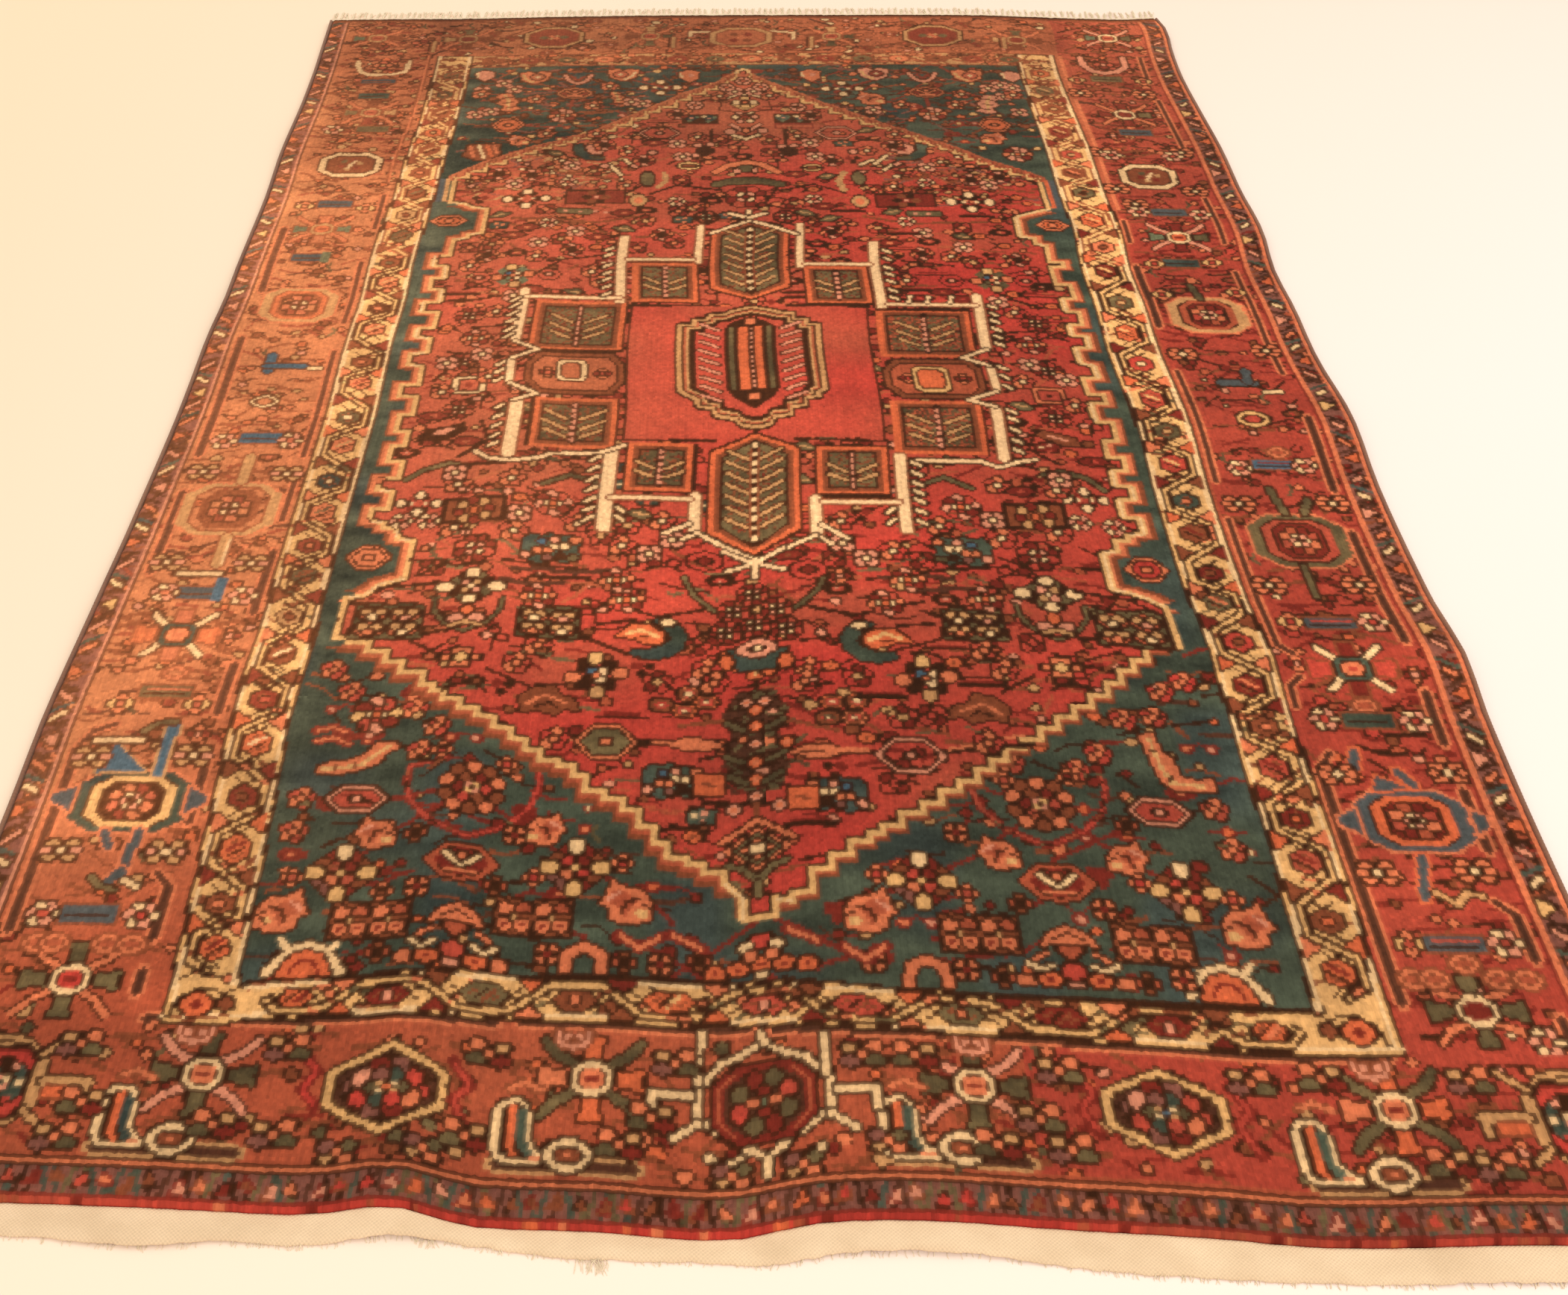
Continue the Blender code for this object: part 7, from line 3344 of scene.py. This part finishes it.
@dataclass
class FarEnd:
    """The far end's narrow web and its row of knotted-off warp tufts."""

    web_width: float = 0.018
    web_thickness: float = 0.0024
    across_step: float = 0.0035
    wobble: float = 0.0007
    flutter: float = 0.0002
    count: int = 138
    length: float = 0.027
    lean: float = 0.0022
    uneven: float = 0.17
    threads: int = 4
    thread_steps: int = 8
    thread_sides: int = 5
    thread_radius: float = 0.00062
    fluff: int = 3
    fluff_radius: float = 0.0004
    random: np.random.Generator = field(default_factory=lambda: np.random.default_rng(21))

    def build_web(self) -> bpy.types.Object:
        """Make the narrow web.

        Returns:
            The web, top and underside in one.
        """
        shares, heights = np.array(FAR_WEB_SECTION).T
        heights = heights * self.web_thickness
        across = np.arange(SEAM_GAP, RUG_WIDTH - SEAM_GAP, self.across_step)
        u, share = np.meshgrid(across, shares, indexing="ij")
        along = RUG_LENGTH + SEAM_GAP + (self.web_width - SEAM_GAP) * share
        x, y = floor_points(u, along)
        y += self.wobble * soft_noise(self.random, u.shape, (150, 2)) * share
        unevenness = self.flutter * soft_noise(self.random, u.shape, (200, 4))
        z = np.broadcast_to(heights, u.shape) + unevenness * (heights > 0.001)
        piece = MeshGrid(x, y, z).build("far_web", closed=True)
        finish = CottonFinish(
            "far_web_cotton", (0.88, 0.72, 0.52, 1), (0.64, 0.48, 0.34, 1), (340.0, 300.0)
        )
        return dress(piece, finish.material(), "warp_cotton", "fringe_far")

    def build_tufts(self) -> bpy.types.Object:
        """Make the tufts, each a few twisted warp ends with loose fluff beside them.

        Returns:
            The tufts, in one piece.
        """
        pitch = RUG_WIDTH / self.count
        strands = []
        for index in range(self.count):
            middle = (index + 0.5) * pitch
            length = self.length * (1 + self.uneven * math.sin(2.4 * index) * math.cos(0.7 * index))
            lean = self.lean * math.sin(1.7 * index + 2 * math.sin(0.31 * index))
            root = floor_points(np.array(middle), np.array(RUG_LENGTH + self.web_width))
            x, y = (float(value) for value in root)
            for thread in range(self.threads):
                phase = 2 * math.pi * thread / self.threads + self.random.uniform(0, 1)
                spread = self.random.uniform(-0.0016, 0.0016)
                reach = length * self.random.uniform(0.86, 1.0)
                points = []
                for step in range(self.thread_steps + 1):
                    share = step / self.thread_steps
                    twist = phase + 5.0 * share
                    gather = 0.0009 + 0.0004 * share
                    points.append(
                        Vector(
                            (
                                x + lean * share**1.5 + gather * math.cos(twist) + spread * share,
                                y - 0.003 + (reach + 0.003) * share,
                                max(0.0013 + gather * 0.55 * math.sin(twist) - 0.0003 * share, 0.0006),
                            )
                        )
                    )
                strands.append((points, self.thread_radius))
            for _ in range(self.fluff):
                strands.append((self.fluff_line(x, y, length), self.fluff_radius))
        piece = thread_mesh("fringe_tufts", strands, self.thread_sides)
        finish = CottonFinish("warp_cotton_threads", (0.94, 0.82, 0.62, 1), (0.76, 0.61, 0.43, 1))
        return dress(piece, finish.material(), "warp_cotton", "fringe_far")


    def fluff_line(self, x: float, y: float, length: float) -> list[Vector]:
        """One loose fibre that strays beside a tuft.

        Args:
            x: Where the tuft's root is, across the rug.
            y: Where it is along the rug.
            length: The tuft's length.

        Returns:
            The fibre's points.
        """
        drift = self.random.uniform(-0.0055, 0.0055)
        reach = length * self.random.uniform(0.55, 1.0)
        rise = self.random.uniform(0.0006, 0.0028)
        return [
            Vector(
                (
                    x + drift * share + 0.0012 * math.sin(4 * share + 900 * drift),
                    y - 0.002 + reach * share,
                    0.0008 + rise * math.sin(math.pi * share),
                )
            )
            for share in (0.0, 0.25, 0.5, 0.75, 1.0)
        ]


def thread_mesh(name: str, strands: list[tuple[list[Vector], float]], sides: int) -> bpy.types.Object:
    """Round threads along lists of points, joined in one piece.

    Args:
        name: The piece's name.
        strands: The points and the radius of each thread.
        sides: Sides of a thread.

    Returns:
        The piece.
    """
    points: list[Triple] = []
    faces: list[tuple[int, ...]] = []
    for line, radius in strands:
        base = len(points)
        last = len(line) - 1
        for number, point in enumerate(line):
            ahead = (line[min(number + 1, last)] - line[max(number - 1, 0)]).normalized()
            side = ahead.cross(Vector((0, 0, 1))).normalized()
            up = side.cross(ahead)
            size = radius * (0.55 if number in (0, last) else 1.0)
            for corner in range(sides):
                angle = 2 * math.pi * corner / sides
                around = side * (size * math.cos(angle)) + up * (size * math.sin(angle))
                points.append(tuple(point + around))
        for ring in range(last):
            for corner in range(sides):
                following = (corner + 1) % sides
                low = base + ring * sides
                faces.append((low + corner, low + following, low + sides + following, low + sides + corner))
        faces.append(tuple(base + corner for corner in range(sides))[::-1])
        faces.append(tuple(base + last * sides + corner for corner in range(sides)))
    mesh = bpy.data.meshes.new(name)
    mesh.from_pydata(points, [], faces)
    mesh.polygons.foreach_set("use_smooth", np.ones(len(faces), bool))
    piece = bpy.data.objects.new(name, mesh)
    bpy.context.scene.collection.objects.link(piece)
    return piece


# ---------------------------------------------------------------- the studio


@dataclass(frozen=True)
class Studio:
    """Floor, light and camera."""

    focal: float = 2320.58
    photo_width: int = 2102
    sensor_width: float = 36.0
    shift: float = 150.0
    place: Triple = (0.63205, -0.66642, 1.17961)
    yaw: float = -0.0201406
    pitch: float = 0.733088
    roll: float = -0.00189523
    sky: Colour = (1.0, 0.93, 0.80, 1)
    sky_strength: float = 0.74

    def camera(self) -> None:
        """Stand the camera where the photograph was taken from."""
        data = bpy.data.cameras.new("camera")
        data.sensor_width = self.sensor_width
        data.lens = self.focal / self.photo_width * data.sensor_width
        data.shift_x = self.shift / self.photo_width
        data.clip_start, data.clip_end = 0.05, 50.0
        forward = Vector(
            (
                math.sin(self.yaw) * math.cos(self.pitch), math.cos(self.yaw) * math.cos(self.pitch),
                -math.sin(self.pitch),
            ),
        )
        level = Vector((math.cos(self.yaw), -math.sin(self.yaw), 0))
        down = forward.cross(level)
        right = math.cos(self.roll) * level + math.sin(self.roll) * down
        low = -math.sin(self.roll) * level + math.cos(self.roll) * down
        turn = Matrix((right, -low, -forward)).transposed().to_4x4()
        camera = bpy.data.objects.new("camera", data)
        camera.matrix_world = Matrix.Translation(
            Vector(self.place) - Vector((ORIGIN_ACROSS, ORIGIN_ALONG, 0))
        ) @ turn
        bpy.context.scene.collection.objects.link(camera)
        bpy.context.scene.camera = camera

    def floor(self) -> None:
        """A pale floor with painted light: warmer towards the left and the far end, whiter towards the right.
        """
        mesh = bpy.data.meshes.new("floor")
        mesh.from_pydata([(-9, -9, 0), (9, -9, 0), (9, 12, 0), (-9, 12, 0)], [], [(0, 1, 2, 3)])
        floor = bpy.data.objects.new("floor", mesh)
        bpy.context.scene.collection.objects.link(floor)
        sheet = NodeSheet("pale_floor")
        cloud = sheet.noise((0.5, 0.4, 1.0), 2.0)
        across, along = sheet.axis("X"), sheet.axis("Y")
        beyond = sheet.add("ShaderNodeMath", {"operation": "MAXIMUM"}, {0: along, 1: 0.0})
        # Painted light: the floor runs from warm on the left and far off to whiter on the right, with a faint
        # random cloud.
        share = (across * 0.42 + 0.5) * (1.0 - beyond * 0.3) + cloud * 0.1 - 0.05
        painted_light_tint = sheet.add("ShaderNodeClamp", {}, {0: share})
        colour = sheet.mixed(painted_light_tint, (0.905, 0.70, 0.52, 1), (0.905, 0.79, 0.80, 1))
        floor.data.materials.append(sheet.finish(colour, cloud, 0.0, 0.001, Roughness=0.8))

    def area_light(self, name: str, place: Triple, size: float, power: float, colour: Triple) -> None:
        """Hang a square soft light aimed at the rug's middle.

        Args:
            name: The light's name.
            place: Where it hangs.
            size: Length of its side.
            power: Its power, in watts.
            colour: Its colour.
        """
        data = bpy.data.lights.new(name, "AREA")
        data.shape = "SQUARE"
        data.size = size
        data.energy = power
        data.color = colour
        light = bpy.data.objects.new(name, data)
        light.location = place
        light.rotation_mode = "QUATERNION"
        light.rotation_quaternion = (-Vector(place)).to_track_quat("-Z", "Y")
        bpy.context.scene.collection.objects.link(light)

    def light(self) -> None:
        """Soft light from all sides, a little stronger from the far left."""
        world = bpy.data.worlds.new("studio")
        bpy.context.scene.world = world
        world.use_nodes = True
        background = world.node_tree.nodes["Background"]
        background.inputs["Color"].default_value = self.sky
        background.inputs["Strength"].default_value = self.sky_strength
        self.area_light("far_left_soft", (-2.2, 2.6, 3.2), 2.6, 50.0, (1.0, 0.91, 0.76))
        self.area_light("right_soft", (3.0, 0.2, 3.0), 2.6, 52.0, (1.0, 0.97, 0.90))
        self.area_light("near_soft", (0.3, -3.2, 2.6), 2.4, 60.0, (1.0, 0.96, 0.88))
        bpy.context.scene.view_settings.view_transform = "Standard"


def main() -> None:
    """Work the chart, make the rug's pieces and set the studio."""
    logging.basicConfig(level=logging.INFO, format="%(name)s: %(message)s")
    chart = RugDesign().work()
    log.info("chart: %d by %d knots", chart.columns, chart.rows)
    colours = to_linear(knot_colours(chart.yarns))
    cloth = PileCloth(chart)
    blocks = cloth.build(colours)
    back = cloth.build_back(colours)
    wool = CordFinish().material()
    SideCord("cord_left", "side_cord_left", CORD_MIDDLE).build(wool)
    SideCord("cord_right", "side_cord_right", RUG_WIDTH - CORD_MIDDLE).build(wool)
    near_end = NearWeb()
    near_web = near_end.build()
    loose_ends = near_end.build_loose_ends()
    far_end = FarEnd()
    far_web = far_end.build_web()
    tufts = far_end.build_tufts()
    studio = Studio()
    studio.floor()
    studio.light()
    studio.camera()


if __name__ == "__main__":
    main()
